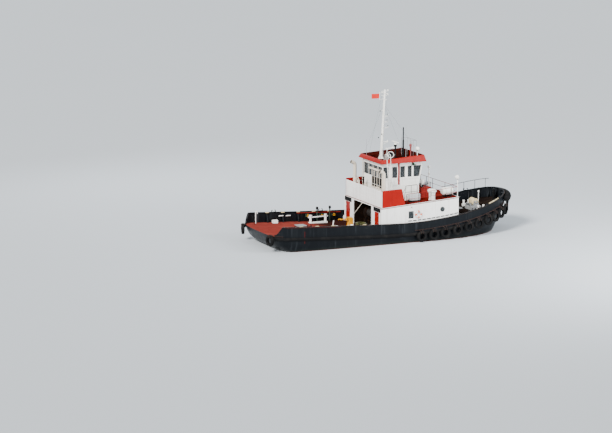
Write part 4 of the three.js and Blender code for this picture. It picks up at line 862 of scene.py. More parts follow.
def coated(name, effect, inputs, strength, distance, shine=SATIN):
    """A material whose colour, roughness and relief come from one shared effect: it, its wiring, its
    shader and what else the effect gives."""
    made, wires, shader = shaded(name, shine)
    skin = use(wires, effect, inputs)
    wires.feed(shader.inputs["Base Color"], skin["Color"])
    wires.feed(shader.inputs["Roughness"], skin["Roughness"])
    raise_surface(wires, shader, skin["Height"], strength, distance)
    return made, wires, shader, skin


def tint(code):
    """A colour by its hex digits, or by its name on the paint panel."""
    paint = bpy.context.scene.tug_paint
    return tuple(getattr(paint, code)) if hasattr(paint, code) else linear(code)


def paint_inputs(row):
    """The values of one row of paints for weathered paint."""
    paint = bpy.context.scene.tug_paint
    colour, worn, grime, wear, dirt, gloss, grain = row[:7]
    return {
        "Paint": tint(colour), "Worn": linear(worn), "Grime": linear(grime), "Gloss": gloss, "Grain": grain,
        "Wear": wear * paint.wear / 0.3, "Dirt": dirt * paint.dirt / 0.5,
    }


def painted(name):
    """A weathered paint with rust or salt run down it."""
    row = PAINTS[name]
    made, wires, shader = shaded(name)
    coat = use(wires, "weathered_paint", paint_inputs(row))
    marks = use(wires, "run_marks", {"Amount": row[8], "Grain": row[6]})["Mask"]
    wires.feed(shader.inputs["Base Color"], wires.mix(marks, coat["Color"], linear(row[7])))
    wires.feed(shader.inputs["Roughness"], coat["Roughness"])
    raise_surface(wires, shader, coat["Height"], 0.35, 0.006)
    return made


def topsides():
    """Black hull paint with salt run down it, and red bottom paint with growth below the water."""
    made, wires, shader = shaded("topsides")
    row = ("hull", "2c2c2c", "1d2124", 0.3, 0.45, 0.36, 0.8)
    coat = use(wires, "weathered_paint", paint_inputs(row))
    marks = use(wires, "run_marks", {"Amount": 0.2, "Grain": 0.8})["Mask"]
    line = use(wires, "water_line", {"Level": 0.04, "Band": 0.3})
    above = wires.mix(marks, coat["Color"], linear("5d6268"))
    above = wires.mix(wires.times(line["Growth"], 0.5), above, linear("20261f"))
    bottom = use(wires, "weathered_paint", paint_inputs(PAINTS["antifouled"]))
    wires.feed(shader.inputs["Base Color"], wires.mix(line["Below"], above, bottom["Color"]))
    rough = wires.math("MAXIMUM", coat["Roughness"], wires.times(line["Below"], 0.7))
    wires.feed(shader.inputs["Roughness"], rough)
    raise_surface(wires, shader, coat["Height"], 0.3, 0.01)
    return made


def bay_paint():
    """White on the after faces, and dark brown inside the winch bay forward of them: painted shade for the
    shadow in the bay.
    """
    made, wires, shader = shaded("bay_paint")
    white = use(wires, "weathered_paint", paint_inputs(PAINTS["white_paint"]))
    brown = use(wires, "weathered_paint", paint_inputs(PAINTS["winch_brown"]))
    marks = use(wires, "run_marks", {"Amount": 0.6, "Grain": 1.0})["Mask"]
    x = wires.node("ShaderNodeSeparateXYZ", {0: wires.place()}).outputs[0]
    # Painted shade: faces forward of the after face, inside the bay, turn dark brown.
    inside = wires.ramp(x, HOUSE_AFT_X + 0.004, HOUSE_AFT_X + 0.008)
    stained = wires.mix(marks, white["Color"], linear("8a5a3c"))
    wires.feed(shader.inputs["Base Color"], wires.mix(inside, stained, brown["Color"]))
    wires.feed(shader.inputs["Roughness"], white["Roughness"])
    raise_surface(wires, shader, white["Height"], 0.35, 0.006)
    return made


def deck_inputs(name):
    """The values of one of the decks for trodden deck paint."""
    paint, worn, stain, wear, grain = DECKS[name]
    return {"Paint": tint(paint), "Worn": linear(worn), "Stain": linear(stain), "Wear": wear, "Grain": grain}


def decked(name):
    """Deck paint."""
    return coated(name, "trodden_deck", deck_inputs(name), 0.5, 0.004, DULL)[0]


def after_deck():
    """Red deck paint aft, turning to dark brown between about x = -6.6 and x = -5 along a ragged line."""
    made, wires, shader = shaded("after_deck", DULL)
    red, brown = (use(wires, "trodden_deck", deck_inputs(name)) for name in ("deck_red", "deck_dark"))
    place = wires.place()
    x = wires.node("ShaderNodeSeparateXYZ", {0: place}).outputs[0]
    ragged = wires.times(wires.minus(wires.noise(place, 0.8, 5.0, 0.6), 0.5), 3.0)
    dark = wires.ramp(wires.plus(x, ragged), -6.6, -5.0, 0.0, 0.9)
    wires.feed(shader.inputs["Base Color"], wires.mix(dark, red["Color"], brown["Color"]))
    wires.feed(shader.inputs["Roughness"], red["Roughness"])
    raise_surface(wires, shader, red["Height"], 0.5, 0.004)
    return made


def rubbered(name):
    """Rubber."""
    rubber, scuff, amount, grain = RUBBERS[name]
    inputs = {"Rubber": linear(rubber), "Scuff": linear(scuff), "Amount": amount, "Grain": grain}
    return coated(name, "scuffed_rubber", inputs, 0.5, 0.004)[0]


def metal(name):
    """Bare metal; tarnish takes its shine away."""
    bright, tarnish, amount, grain = METALS[name]
    inputs = {"Metal": linear(bright), "Tarnish": linear(tarnish), "Amount": amount, "Grain": grain}
    made, wires, shader, skin = coated(name, "worn_metal", inputs, 0.4, 0.002, CLEAN)
    wires.feed(shader.inputs["Metallic"], skin["Bare"])
    return made


def woven(name):
    """Rope or cloth, with a little sheen."""
    dye, soil, amount, grain = FIBRES[name]
    inputs = {"Dye": linear(dye), "Soil": linear(soil), "Amount": amount, "Grain": grain}
    made, _, shader, _ = coated(name, "fibre", inputs, 0.5, 0.003)
    shader.inputs["Sheen Weight"].default_value = 0.25
    return made


def glazed(name):
    """Glass, a lens or a screen, with salt dried on it."""
    colour, rough, through = GLASSES[name]
    made, wires, shader = shaded(name, CLEAN)
    film = wires.noise(wires.place(), 2.5, 6.0, 0.65)
    salt = wires.ramp(film, 0.5, 0.8, 0.0, 0.25)
    wires.feed(shader.inputs["Base Color"], wires.mix(salt, linear(colour), linear("b8bcbc")))
    wires.feed(shader.inputs["Roughness"], wires.ramp(film, 0.45, 0.85, rough, rough + 0.22))
    shader.inputs["Transmission Weight"].default_value = through
    shader.inputs["IOR"].default_value = 1.45
    return made


def stage_floor():
    """Plain pale floor with the faintest unevenness."""
    made, wires, shader = shaded("stage_floor", DULL)
    floor = tuple(bpy.context.scene.tug_stage.floor)
    broad = wires.noise(wires.place(), 0.02, 2.0)
    wires.feed(
        shader.inputs["Base Color"], wires.mix(wires.ramp(broad, 0.3, 0.7, 0, 0.04), floor, linear("a9adb0")),
    )
    shader.inputs["Roughness"].default_value = 0.75
    return made


MAKERS = {
    **{name: painted for name in PAINTS}, **{name: decked for name in DECKS},
    **{name: rubbered for name in RUBBERS}, **{name: metal for name in METALS},
    **{name: woven for name in FIBRES}, **{name: glazed for name in GLASSES},
}
SPECIAL = {"topsides": topsides, "after_deck": after_deck, "bay_paint": bay_paint, "stage_floor": stage_floor}


def material(name):
    """A finish by name, made the first time that it is asked for."""
    if f"tug_{name}" in bpy.data.materials:
        return bpy.data.materials[f"tug_{name}"]
    return SPECIAL[name]() if name in SPECIAL else MAKERS[name](name)


def dress(node, finish):
    """Gives a piece of the frame its finish."""
    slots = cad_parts[node].data.materials
    if not len(slots):
        slots.append(None)
    for i in range(len(slots)):
        slots[i] = material(finish)


def stage_camera():
    """The camera: far off on the starboard quarter, looking down on the boat at the photograph's angle."""
    azimuth, elevation = math.radians(VIEW_ROUND), math.radians(VIEW_DOWN)
    view = Vector((
        math.sin(azimuth) * math.cos(elevation), math.cos(azimuth) * math.cos(elevation),
        -math.sin(elevation),
    ))
    right = Vector((math.cos(azimuth), -math.sin(azimuth), 0))
    up = right.cross(view)
    across, down = ((at - size / 2) / VIEW_SCALE for at, size in zip(VIEW_PIXEL, PICTURE))
    centre = Vector(VIEW_POINT) - right * across + up * down
    data = bpy.data.cameras.new("camera")
    data.lens = SENSOR * VIEW_SCALE * VIEW_OFF / PICTURE[0]
    data.clip_start, data.clip_end = 1.0, 3000.0
    camera = bpy.data.objects.new("camera", data)
    turned = Matrix((right, up, -view)).transposed().to_4x4()
    camera.matrix_world = Matrix.Translation(centre - view * VIEW_OFF) @ turned
    bpy.context.scene.collection.objects.link(camera)
    bpy.context.scene.camera = camera


def area_light(name, place, aim, size, watts, colour):
    """A soft square light at a place, turned towards a point."""
    data = bpy.data.lights.new(name, "AREA")
    data.energy, data.size, data.color = watts, size, colour
    lamp = bpy.data.objects.new(name, data)
    lamp.location = place
    lamp.rotation_euler = (Vector(aim) - Vector(place)).to_track_quat("-Z", "Y").to_euler()
    bpy.context.scene.collection.objects.link(lamp)


def sun_light(name, towards, strength, spread, colour):
    """An even, soft light from far off in one direction; spread is its breadth in degrees."""
    data = bpy.data.lights.new(name, "SUN")
    data.energy, data.angle, data.color = strength, math.radians(spread), colour
    lamp = bpy.data.objects.new(name, data)
    lamp.rotation_euler = (-Vector(towards)).to_track_quat("-Z", "Y").to_euler()
    bpy.context.scene.collection.objects.link(lamp)


class TUG_OT_stage(Operator):
    """Make the camera, the floor at the waterline and the soft light"""
    bl_idname = "tug.stage"
    bl_label = "Stage"

    def execute(self, context):
        stage_camera()
        settings = context.scene.tug_stage
        corners = [(x * FLOOR_REACH, y * FLOOR_REACH, 0) for x, y in ((-1, -1), (1, -1), (1, 1), (-1, 1))]
        mesh = bpy.data.meshes.new("floor")
        mesh.from_pydata(corners, [], [(0, 1, 2, 3)])
        mesh.materials.append(material("stage_floor"))
        floor = bpy.data.objects.new("floor", mesh)
        context.scene.collection.objects.link(floor)
        sun_light("key", (-0.68, -0.46, 0.57), settings.key, 16, (1.0, 0.98, 0.95))
        area_light("side", (24, -34, 22), (0, 0, 3), 22, 3600 * settings.key, (0.96, 0.98, 1.0))
        area_light("back", (-10, 42, 30), (0, 0, 4), 26, 1200 * settings.key, (0.95, 0.97, 1.0))
        world = context.scene.world or bpy.data.worlds.new("sky")
        context.scene.world = world
        world.use_nodes = True
        sky = world.node_tree.nodes.get("Background")
        sky.inputs["Color"].default_value = (0.86, 0.9, 0.95, 1)
        sky.inputs["Strength"].default_value = settings.fill
        return {"FINISHED"}


# Rope coiled down on deck

def coil_path(across, columns, layers, size, per_turn=72):
    """The middle line of a rope laid down in a round coil: columns side by side, layer on layer. It
    goes to the next place in a twelfth of a turn, with a cosine, and each such shift comes a twelfth of
    a turn earlier than the last, so that no two turns cross."""
    outer = across / 2 - size / 2
    radii, heights = [], []
    for layer in range(layers):
        order = range(columns) if layer % 2 == 0 else range(columns - 1, -1, -1)
        radii += [outer - size * column for column in order]
        heights += [size * (layer + 0.5)] * columns
    stay = per_turn - 2 * (per_turn // 12)
    move = per_turn // 12
    ease = 0.5 - 0.5 * np.cos(np.pi * np.arange(move) / move)
    step = np.concatenate([np.concatenate([np.full(stay, n), n + ease]) for n in range(len(radii))])[:-move]
    turn = np.arange(len(step)) * 2 * np.pi / per_turn
    places = np.arange(len(radii))
    r, z = np.interp(step, places, radii), np.interp(step, places, heights)
    return np.stack([r * np.cos(turn), r * np.sin(turn), z], -1)


class TUG_OT_rope(Operator):
    """Coil the heavy rope down on the after deck"""
    bl_idname = "tug.rope"
    bl_label = "Rope"

    def execute(self, context):
        x, y, outer, inner, high = ROPE_COIL
        layers = round(high / ROPE_SIZE)
        columns = round((outer - inner) / ROPE_SIZE)
        drawn = coil_path(2 * outer, columns, layers, ROPE_SIZE)
        tilt = math.atan2(deck_at(x - outer) - deck_at(x + outer), 2 * outer)
        ahead = np.array([math.cos(tilt), 0, -math.sin(tilt)])
        up = np.array([math.sin(tilt), 0, math.cos(tilt)])
        foot = np.array([x, y, deck_at(x) + SEAT])
        path = foot + drawn[:, :1] * ahead + drawn[:, 1:2] * (0, 1, 0) + drawn[:, 2:] * up
        shape = Shape(tube(path, ROPE_SIZE / 2, 15, lobes=3, lay=0.42, depth=0.16))
        rope = piece("deck_rope", shape, "olive_rope", replaces="rope_coil", sharp=60)
        return {"FINISHED"}


# Hull

def hull_surface(rows=30, steps=(34, 70, 90)):
    """The hull below the deck. Each row is a level line, a share of the way from the bottom's
    profile up to the deck's sheer, so both rise and fall along the boat. The rows of both sides
    join into rings round the boat; a last row at the bottom closes them along the keel."""
    share = np.linspace(0, 1, rows) ** 1.15
    values = eased(LEVELS[:, 0], LEVELS[:, 1:], share)
    x, y = half_line(*(values[:, i:i + 1] for i in range(4)), steps)
    low = eased(BOTTOM[:, 0], BOTTOM[:, 1], x.reshape(-1)).reshape(x.shape)
    z = low + (deck_z(x) - low) * share[:, None]
    port = np.stack([x, y, z], -1)
    ring = np.concatenate([port, (port * (1, -1, 1))[:, -2:0:-1]], 1)
    ring = np.concatenate([ring[:1] * (1, 0, 1), ring])
    half, total = port.shape[1], ring.shape[1]
    last = (len(ring) - 1) * total
    across = np.arange(1, half - 1)
    deck = np.stack([across[:-1], across[1:], total - across[1:], total - across[:-1]], -1) + last
    ends = [np.array(end) + last for end in ([0, 1, total - 1], [half - 2, half - 1, total - half + 2])]
    return ring.reshape(-1, 3), grid_faces(len(ring), total, False, True), deck, ends


def square_wall(x, y, half_x, half_y, thick, z0, z1):
    """An upright wall round a rectangle, open above and below."""
    corner = np.array([(-1, -1), (1, -1), (1, 1), (-1, 1)])
    ring = lambda inset, z: np.column_stack([(half_x - inset, half_y - inset) * corner + (x, y), [z] * 4])
    return rings(np.stack([ring(0, z0), ring(0, z1), ring(thick, z1), ring(thick, z0)]), True)


class TUG_OT_hull(Operator):
    """Build the hull with its deck, coamings, rudder trunks and skeg"""
    bl_idname = "tug.hull"
    bl_label = "Hull"

    def execute(self, context):
        points, quads, deck, ends = hull_surface()
        shape = Shape((points, quads, []))
        shape.faces += deck.tolist() + [end.tolist() for end in ends]
        shape.finish += np.where(points[deck].mean(1)[:, 0] > FORE_BULKHEAD_X, 2, 1).tolist() + [1, 2]
        for x, half, high in HATCHES:
            shape.add(
                square_wall(x, 0, half, half, 0.06, deck_z(x) - 0.1, deck_z(x) + high), 1 if x < 0 else 2,
            )
            shape.add(square_wall(
                x, 0, half + 0.012, half + 0.012, 0.02, deck_z(x) + high - 0.09, deck_z(x) + high - 0.06,
            ))
        x, half = -7.0, 0.4
        shape.add(block(
            (x - half, -half, deck_z(x) - 0.05),
            (x + half, half, max(deck_at(x - half), deck_at(x + half)) + 0.02),
        ), 1)
        for side in BOTH_SIDES:
            trunk = [(0, 0.1), (0.17, 0.1), (0.17, -0.68), (0.195, -0.7), (0.195, -0.74), (0, -0.74)]
            shape.add(lathe(trunk, (RUDDER_X, side * SHAFT_Y, 0)))
        piece(
            "hull_plating", shape, ("topsides", "after_deck", "deck_dark"), replaces="hull",
            sharp=50,
        )
        skeg = Shape(prism(SKEG, "y", -0.17, 0.17))
        piece("skeg_plate", skeg, "antifouled", replaces="skeg", bevel=0.06)
        return {"FINISHED"}


def rail_height(x, ramped):
    """The bulwark's height over the deck; where ramped, it eases down to the sill of the open transom."""
    high = rail_z(x) - deck_z(x)
    if not ramped:
        return high
    t = np.clip((x - STERN_GATE_X) / (STERN_FULL_RAIL_X - STERN_GATE_X), 0, 1)
    return STERN_SILL + (high - STERN_SILL) * t * t * (3 - 2 * t)


def bulwark_plate(points, out, ramped=False):
    """The bulwark: an upright plate along the deck's edge with a rounded rail on top of it."""
    high = rail_height(points[:, 0], ramped)[:, None]
    low = 0 * high
    flare = np.clip((high - STERN_SILL) / 0.3, 0, 1) if ramped else low + 1
    across = np.concatenate([
        low, low, 0.028 * flare, 0.034 * flare, 0.022 * flare, low - 0.12, low - 0.138, low - 0.138,
        low - 0.08, low - 0.08,
    ], 1)
    drop = np.array([0.07, 0.06, 0.035, 0.006, 0.0, 0.018, 0.05, 0.062])
    up = np.concatenate([low, high - drop, low], 1)
    return sweep(points, out, (0, 0, 1), np.stack([across, up], -1))


def bulwark_cap_strip(points, out, ramped=False):
    """A thin strip along the rail's outer corner, where ropes and boats have rubbed it bright."""
    high = rail_height(points[:, 0], ramped)[:, None]
    section = np.stack([
        np.concatenate([0 * high + v for v in (0.012, 0.035, 0.036, -0.005)], 1),
        np.concatenate([high + v for v in (-0.05, -0.04, 0.004, 0.004)], 1),
    ], -1)
    return sweep(points, out, (0, 0, 1), section)


def along_edge(points, out, spacing, start=0.5):
    """Points at even steps along an edge path, with their own three directions: out, along and up."""
    run = run_along(points)
    at = np.arange(start * spacing, run[-1], spacing)
    place = at_run(at, run, points)
    place[:, 2] = deck_z(place[:, 0])
    outward = unit(at_run(at, run, out))
    up = np.broadcast_to([0.0, 0, 1], outward.shape)
    return place, np.stack([outward, np.cross(up, outward), up], 1)


# A stay inside the bulwark: distance outward, height
STAY = [(-0.075, 0.0), (-0.075, 0.935), (-0.14, 0.935), (-0.2, 0.62), (-0.42, 0.03), (-0.42, 0.0)]


def stay_plates(points, out, spacing):
    """Shapes of the stays along an edge path, and of the pads on their heads."""
    place, frames = along_edge(points, out, spacing)
    plate = prism(STAY, "y", -0.014, 0.014)
    flange = prism(
        [(-0.41, 0.03), (-0.19, 0.62), (-0.13, 0.93), (-0.145, 0.93), (-0.205, 0.62), (-0.43, 0.03)], "y",
        -0.045, 0.045,
    )
    head = block((-0.30, -0.16, 0.955), (-0.10, 0.16, 1.012))
    return scatter(plate, place, frames), scatter(flange, place, frames), scatter(head, place, frames)


class TUG_OT_bulwarks(Operator):
    """Build the bulwarks with their rails, stays and freeing ports"""
    bl_idname = "tug.bulwarks"
    bl_label = "Bulwarks"

    def execute(self, context):
        spacing = context.scene.tug_hull.stay_spacing
        for side, name in SIDE_NAME.items():
            points, out = edge_path(STERN_GATE_X, FORE_BULKHEAD_X, side)
            shape = Shape(bulwark_plate(points, out, True))
            shape.add(bulwark_cap_strip(points, out, True), 2)
            aft = (points[:, 0] > STERN_X + 1.8) & (points[:, 0] < HOUSE_AFT_X - 0.3)
            plates, flanges, heads = stay_plates(points[aft], out[aft], spacing)
            shape.add(plates).add(flanges)
            shape.add(heads, 1)
            ports, frames = along_edge(points[aft], out[aft], spacing, 1.0)
            flap = block((-0.092, -0.34, 0.12), (-0.07, 0.34, 0.40))
            bars = [
                block((-0.11, y - 0.012, 0.1), (-0.08, y + 0.012, 0.42))
                for y in (-0.34, -0.17, 0.0, 0.17, 0.34)
            ]
            for bit in [flap, *bars]:
                shape.add(scatter(bit, ports, frames), 3)
            finishes = ("topsides", "buff_paint", "rail_wear", "black_paint")
            piece(f"bulwark_run_{name}", shape, finishes, replaces=f"bulwark_{name}")
        points, out = bow_path(FORE_BULKHEAD_X + 0.001)
        shape = Shape(bulwark_plate(points, out))
        shape.add(bulwark_cap_strip(points, out), 2)
        plates, flanges, heads = stay_plates(points, out, 1.15)
        shape.add(plates).add(flanges)
        shape.add(heads)
        finishes = ("topsides", "buff_paint", "rail_wear")
        piece("bulwark_run_fore", shape, finishes, replaces="bulwark_fore")
        return {"FINISHED"}


# Fenders

def strake_surface(side, length=2.3, gap=0.01):
    """The rubber strake in lengths laid end to end, each a D-shaped section along the deck's edge."""
    points, out = edge_path(STERN_X + 0.25, 12.0, side)
    run = run_along(points)
    turn = np.linspace(-np.pi / 2, np.pi / 2, 9)
    face = np.stack([0.03 + 0.12 * np.cos(turn) ** 0.6, -0.1625 + 0.1575 * np.sin(turn)], -1)
    section = np.concatenate([[(0.001, -0.32)], face, [(0.001, -0.005)]])
    found = []
    for start in np.arange(0, run[-1] - 0.1, length):
        at = np.linspace(start, min(start + length, run[-1]) - gap, 16)
        place = at_run(at, run, points)
        ahead = unit(at_run(at, run, out))
        found.append(sweep(place, ahead, (0, 0, 1), section))
    return found


def fender_surface(ribs):
    """The bow fender: a round section laid along the edge round the stem, pinched between its ribs."""
    points, out = bow_path(12.15)
    run = run_along(points)
    at = np.linspace(0, run[-1], 160)
    place = at_run(at, run, points)
    ahead = unit(at_run(at, run, out))
    pinch = 1 - 0.07 * np.abs(np.cos(np.pi * at / ribs)) ** 6
    ease = np.clip(np.minimum(at, run[-1] - at) / 0.12, 0, 1)
    radius = (0.33 * pinch * np.sqrt(np.clip(1 - (1 - ease) ** 2, 0.04, 1)))[:, None]
    turn = turns(28)
    section = np.stack([0.331 + radius * np.cos(turn), 0.6 + radius * np.sin(turn)], -1)
    return sweep(place, ahead, (0, 0, 1), section)


TYRE_SECTION = np.array([
    (0.525, 0.0), (0.525, 0.085), (0.512, 0.112), (0.47, 0.125), (0.40, 0.123), (0.33, 0.114), (0.285, 0.098),
    (0.272, 0.085), (0.285, 0.07), (0.36, 0.09), (0.44, 0.10), (0.49, 0.07), (0.495, 0.0),
])


def tyre_surface(radius, lugs, around=96):
    """A worn truck tyre about z: a hollow section turned round, its tread stepped in and out by lugs."""
    half = TYRE_SECTION * (radius / 0.525, 1)
    section = np.concatenate([half, (half * (1, -1))[-2:0:-1]])
    turn = turns(around)
    lug = np.where(np.cos(lugs * turn) > -0.2, 0.0, -0.014)[:, None]
    tread = (section[:, 0] > radius - 0.014) & (np.abs(section[:, 1]) > 0.03)
    r = section[:, 0] + lug * tread
    points = np.stack([r * np.cos(turn)[:, None], r * np.sin(turn)[:, None], 0 * r + section[:, 1]], -1)
    return points.reshape(-1, 3), grid_faces(around, len(section), True, True), []


def link_surface(pitch, wire):
    """One chain link along x: a thin bar round an oval."""
    turn = turns(10)
    path = np.stack([
        pitch / 2 * bent(np.cos(turn), 0.7) * 1.2,
        pitch * 0.32 * np.sin(turn), 0 * turn,
    ], -1)
    return tube(path, wire, 4, True)


def chain(path, pitch, wire):
    """A chain along a path: links at even steps, every second one turned on its side."""
    path = np.asarray(path, float)
    run = run_along(path)
    at = np.arange(pitch / 2, run[-1], pitch)
    place = at_run(at, run, path)
    ahead = unit(np.gradient(place, axis=0))
    up = np.where(np.abs(ahead[:, 2:]) > 0.9, (1.0, 0, 0), (0.0, 0, 1))
    side = unit(np.cross(up, ahead))
    over = np.cross(ahead, side)
    odd = (np.arange(len(at)) % 2)[:, None] > 0
    frames = np.stack([ahead, np.where(odd, side, over), np.where(odd, over, -side)], 1)
    return scatter(link_surface(pitch, wire), place, frames)


def hung_tyres(shape, xs, side, up, settings):
    """Adds tyres along the side, each flat against it on its own two chains, with the lugs turned a
    little from one to the next."""
    tyre = tyre_surface(settings.tyre_radius, settings.tread_lugs)
    for n, x in enumerate(xs):
        points, out = edge_path(x, x + 0.05, side)
        p, w = points[0], out[0]
        level = deck_at(x)
        v = np.array([0.0, 0, 1])
        u = np.cross(v, w)
        spin = 0.7 * n
        frame_n = np.array(
            [u * math.cos(spin) + v * math.sin(spin), v * math.cos(spin) - u * math.sin(spin), w]
        )
        centre = p + w * TYRE_STAND
        centre[2] = level - TYRE_DROP
        shape.add(scatter(tyre, [centre], [frame_n]))
        for lean in (-0.11, 0.11):
            top = p + w * 0.045 + u * lean * 1.6
            top[2] = level + up
            foot = centre + u * lean + v * 0.45
            inner = centre + u * lean + v * 0.3
            turn = [foot + w * 0.14, centre + u * lean + v * 0.52, top]
            shape.add(chain([inner + w * 0.13, *turn], settings.chain_pitch * 0.8, 0.011), 1)


class TUG_OT_fenders(Operator):
    """Build the strakes, the bow fender and the tyres on their chains"""
    bl_idname = "tug.fenders"
    bl_label = "Strakes, fender and tyres"

    def execute(self, context):
        settings = context.scene.tug_hull
        for side, name in SIDE_NAME.items():
            shape = Shape(*strake_surface(side))
            piece(
                f"strake_rubber_{name}", shape, "fender_rubber",
                replaces=f"rubbing_strake_{name}",
            )
            shape = Shape()
            hung_tyres(shape, TYRE_X, side, CHAIN_UP, settings)
            points, out = edge_path(*CHAIN_X, side)
            carried = points + out * 0.03 + (0, 0, CHAIN_UP)
            shape.add(chain(carried, settings.chain_pitch, 0.013), 1)
            finishes = ("tyre_rubber", "rusty_steel")
            piece(f"tyre_row_{name}", shape, finishes, replaces=f"tyres_{name}", sharp=50)
            shape = Shape()
            hung_tyres(shape, QUARTER_TYRE_X, side, QUARTER_CHAIN_UP, settings)
            points, out = edge_path(STERN_X + 0.12, STERN_X + 0.9, side)
            shape.add(chain(points + out * 0.03 + (0, 0, QUARTER_CHAIN_UP), settings.chain_pitch, 0.013), 1)
            piece(
                f"tyre_quarter_{name}", shape, finishes, replaces=f"quarter_tyre_{name}",
                sharp=50,
            )
        shape = Shape(fender_surface(settings.fender_ribs))
        piece("fender_stem", shape, "fender_rubber", replaces="bow_fender", sharp=60)
        return {"FINISHED"}


# Running gear

def blade_surface():
    """A propeller blade standing along z from the hub: at each radius a lens-shaped section, as long
    as the chord and turned by the pitch, both eased from root to tip."""
    radius = BLADE[0, 0] + (BLADE[-1, 0] - BLADE[0, 0]) * np.linspace(0, 1, 26) ** 0.8
    chord, pitch, thick = eased(BLADE[:, 0], BLADE[:, 1:], radius).T[..., None]
    turn = turns(28)
    c = 0.5 * np.cos(turn)
    t = 0.5 * np.sin(turn) * (1 - (2 * c) ** 2 * 0.45)
    u, v = c * chord, t * thick
    angle = np.radians(pitch)
    x = u * np.sin(angle) + v * np.cos(angle)
    y = u * np.cos(angle) - v * np.sin(angle)
    return rings(np.stack([x, y, radius[:, None] + 0 * x], -1))


class TUG_OT_running_gear(Operator):
    """Build the shafts with their brackets, the propellers and the rudders"""
    bl_idname = "tug.running_gear"
    bl_label = "Propellers and rudders"

    def execute(self, context):
        for side, name in SIDE_NAME.items():
            place = np.array([PROP_X, SHAFT_Y, SHAFT_Z])
            shape = Shape()
            hub = [
                (0, -0.48), (0.03, -0.478), (0.085, -0.43), (0.135, -0.33), (0.165, -0.25), (0.178, -0.1),
                (0.19, 0.25), (0, 0.25),
            ]
            shape.on(side, lathe(hub, place, (1, 0, 0), 40))
            for n in range(BLADES):
                a = 2 * np.pi * n / BLADES + np.pi / 4
                turned = np.array([(1, 0, 0), (0, math.cos(a), math.sin(a)), (0, -math.sin(a), math.cos(a))])
                shape.on(side, scatter(blade_surface(), [place], [turned]))
            piece(f"screw_{name}_blades", shape, "bronze", f"screw_{name}", f"propeller_{name}")
            self.shaft(side, name)
            self.rudder(side, name)
        return {"FINISHED"}

    def shaft(self, side, name):
        """One shaft in its bossing, with the bracket's two legs as flattened ovals."""
        boss = PROP_X + 0.62
        shape = Shape()
        line = [(0, 0), (0.1, 0), (0.1, 4.55), (0, 4.55)]
        shape.on(side, lathe(line, (PROP_X + 0.2503, SHAFT_Y, SHAFT_Z), (1, 0, 0), 32))
        sleeve = [(0.1, -0.27), (0.14, -0.26), (0.16, -0.22), (0.16, 0.22), (0.14, 0.26), (0.1, 0.27)]
        shape.on(side, lathe(sleeve, (boss, SHAFT_Y, SHAFT_Z), (1, 0, 0), 32), 1)
        turn = turns(24)
        for lean in (-26, 26):
            a = math.radians(lean)
            up = np.array([0, math.sin(a), math.cos(a)])
            across = np.array([0, math.cos(a), -math.sin(a)])
            foot = np.array([boss, SHAFT_Y, SHAFT_Z])
            length = 1.05 if lean < 0 else 0.95
            path = foot + up * np.linspace(0.08, length, 8)[:, None]
            section = np.stack([0.15 * np.cos(turn), 0.045 * np.sin(turn)], -1)
            shape.on(side, sweep(path, np.array([1.0, 0, 0]), across, section), 1)
        piece(f"shaft_run_{name}", shape, ("bare_steel", "antifouled"), "boat", f"shaft_{name}")

    def rudder(self, side, name):
        """One rudder: a foil with end plates and zinc blocks, on its stock."""
        t = np.linspace(0, 1, 26)
        half = 0.12 * (2.6 * np.sqrt(t) * (1 - t) + 0.09 * (1 - t) * (1 + t * 2))
        chord = 0.42 - 1.32 * t
        outline = np.concatenate([np.stack([chord, half], -1), np.stack([chord, -half], -1)[-2:0:-1]])
        ring = lambda grow, z: np.column_stack([outline * (1, grow), [z] * len(outline)])
        low, high = RUDDER_Z
        foil = rings(np.stack([ring(0.9, low), ring(1, low + 0.02), ring(1, high - 0.02), ring(0.9, high)]))
        place = np.array([RUDDER_X, SHAFT_Y, 0])
        shape = Shape()
        shape.on(side, scatter(foil, [place]))
        for z in (low, high):
            plate = rings(np.stack([ring(1.5, z - 0.012), ring(1.5, z + 0.012)]))
            shape.on(side, scatter(plate, [place]))
        shape.on(side, bar(place + (0, 0, high - 0.05), place + (0, 0, -0.7405), 0.09), 2)
        for z in (-1.5, -2.2):
            for across in (-1, 1):
                zinc = block((-0.55, across * 0.05, z - 0.05), (-0.25, across * 0.105, z + 0.05))
                shape.on(side, scatter(zinc, [place]), 1)
        finishes = ("antifouled", "galvanised", "bare_steel")
        piece(
            f"rudder_foil_{name}", shape, finishes, f"rudder_{name}", f"rudder_{name}",
            bevel=0.004,
        )


# House

def house_y(x):
    """Half the house's width at x."""
    return np.interp(
        x, (HOUSE_AFT_X, HOUSE_KNUCKLE_X, FORE_BULKHEAD_X), (HOUSE_HALF, HOUSE_HALF, HOUSE_HALF_FORE),
    )


def grown(corners, by):
    """A rectangle's or quadrangle's corners moved outwards from its middle along both its sides."""
    corners = np.asarray(corners, float)
    ahead, behind = unit(np.roll(corners, -1, 0) - corners), unit(np.roll(corners, 1, 0) - corners)
    return corners - by * (ahead + behind)


def plate_bolts(centre, axis, radius, count, size=0.012):
    """Domed bolt heads in a circle on a flange."""
    u, v, w = basis(axis)
    turn = (np.arange(count) + 0.5) * 2 * np.pi / count
    at = np.asarray(centre) + radius * (np.cos(turn)[:, None] * u + np.sin(turn)[:, None] * v)
    head = lathe([(size, -0.004), (size, 0.004), (size * 0.7, 0.009), (0, 0.011)], sides=6)
    return scatter(head, at, np.broadcast_to(np.stack([u, v, w]), (count, 3, 3)))


def porthole(x, z, radius):
    """A round window on the house's side: a deep ring with a bead and bolts, and its glass."""
    y = float(house_y(x))
    ring = [
        (radius, -0.02), (radius, 0.03), (radius + 0.015, 0.038), (radius + 0.045, 0.03),
        (radius + 0.05, -0.02),
    ]
    pane = [(0, -0.01), (radius + 0.005, -0.01), (radius + 0.005, 0.006), (0, 0.012)]
    centre = (x, y, z)
    return lathe(ring, centre, (0, 1, 0), 48, True), lathe(pane, centre, (0, 1, 0), 48), plate_bolts(
        (x, y + 0.03, z), (0, 1, 0), radius + 0.03, 8,
    )


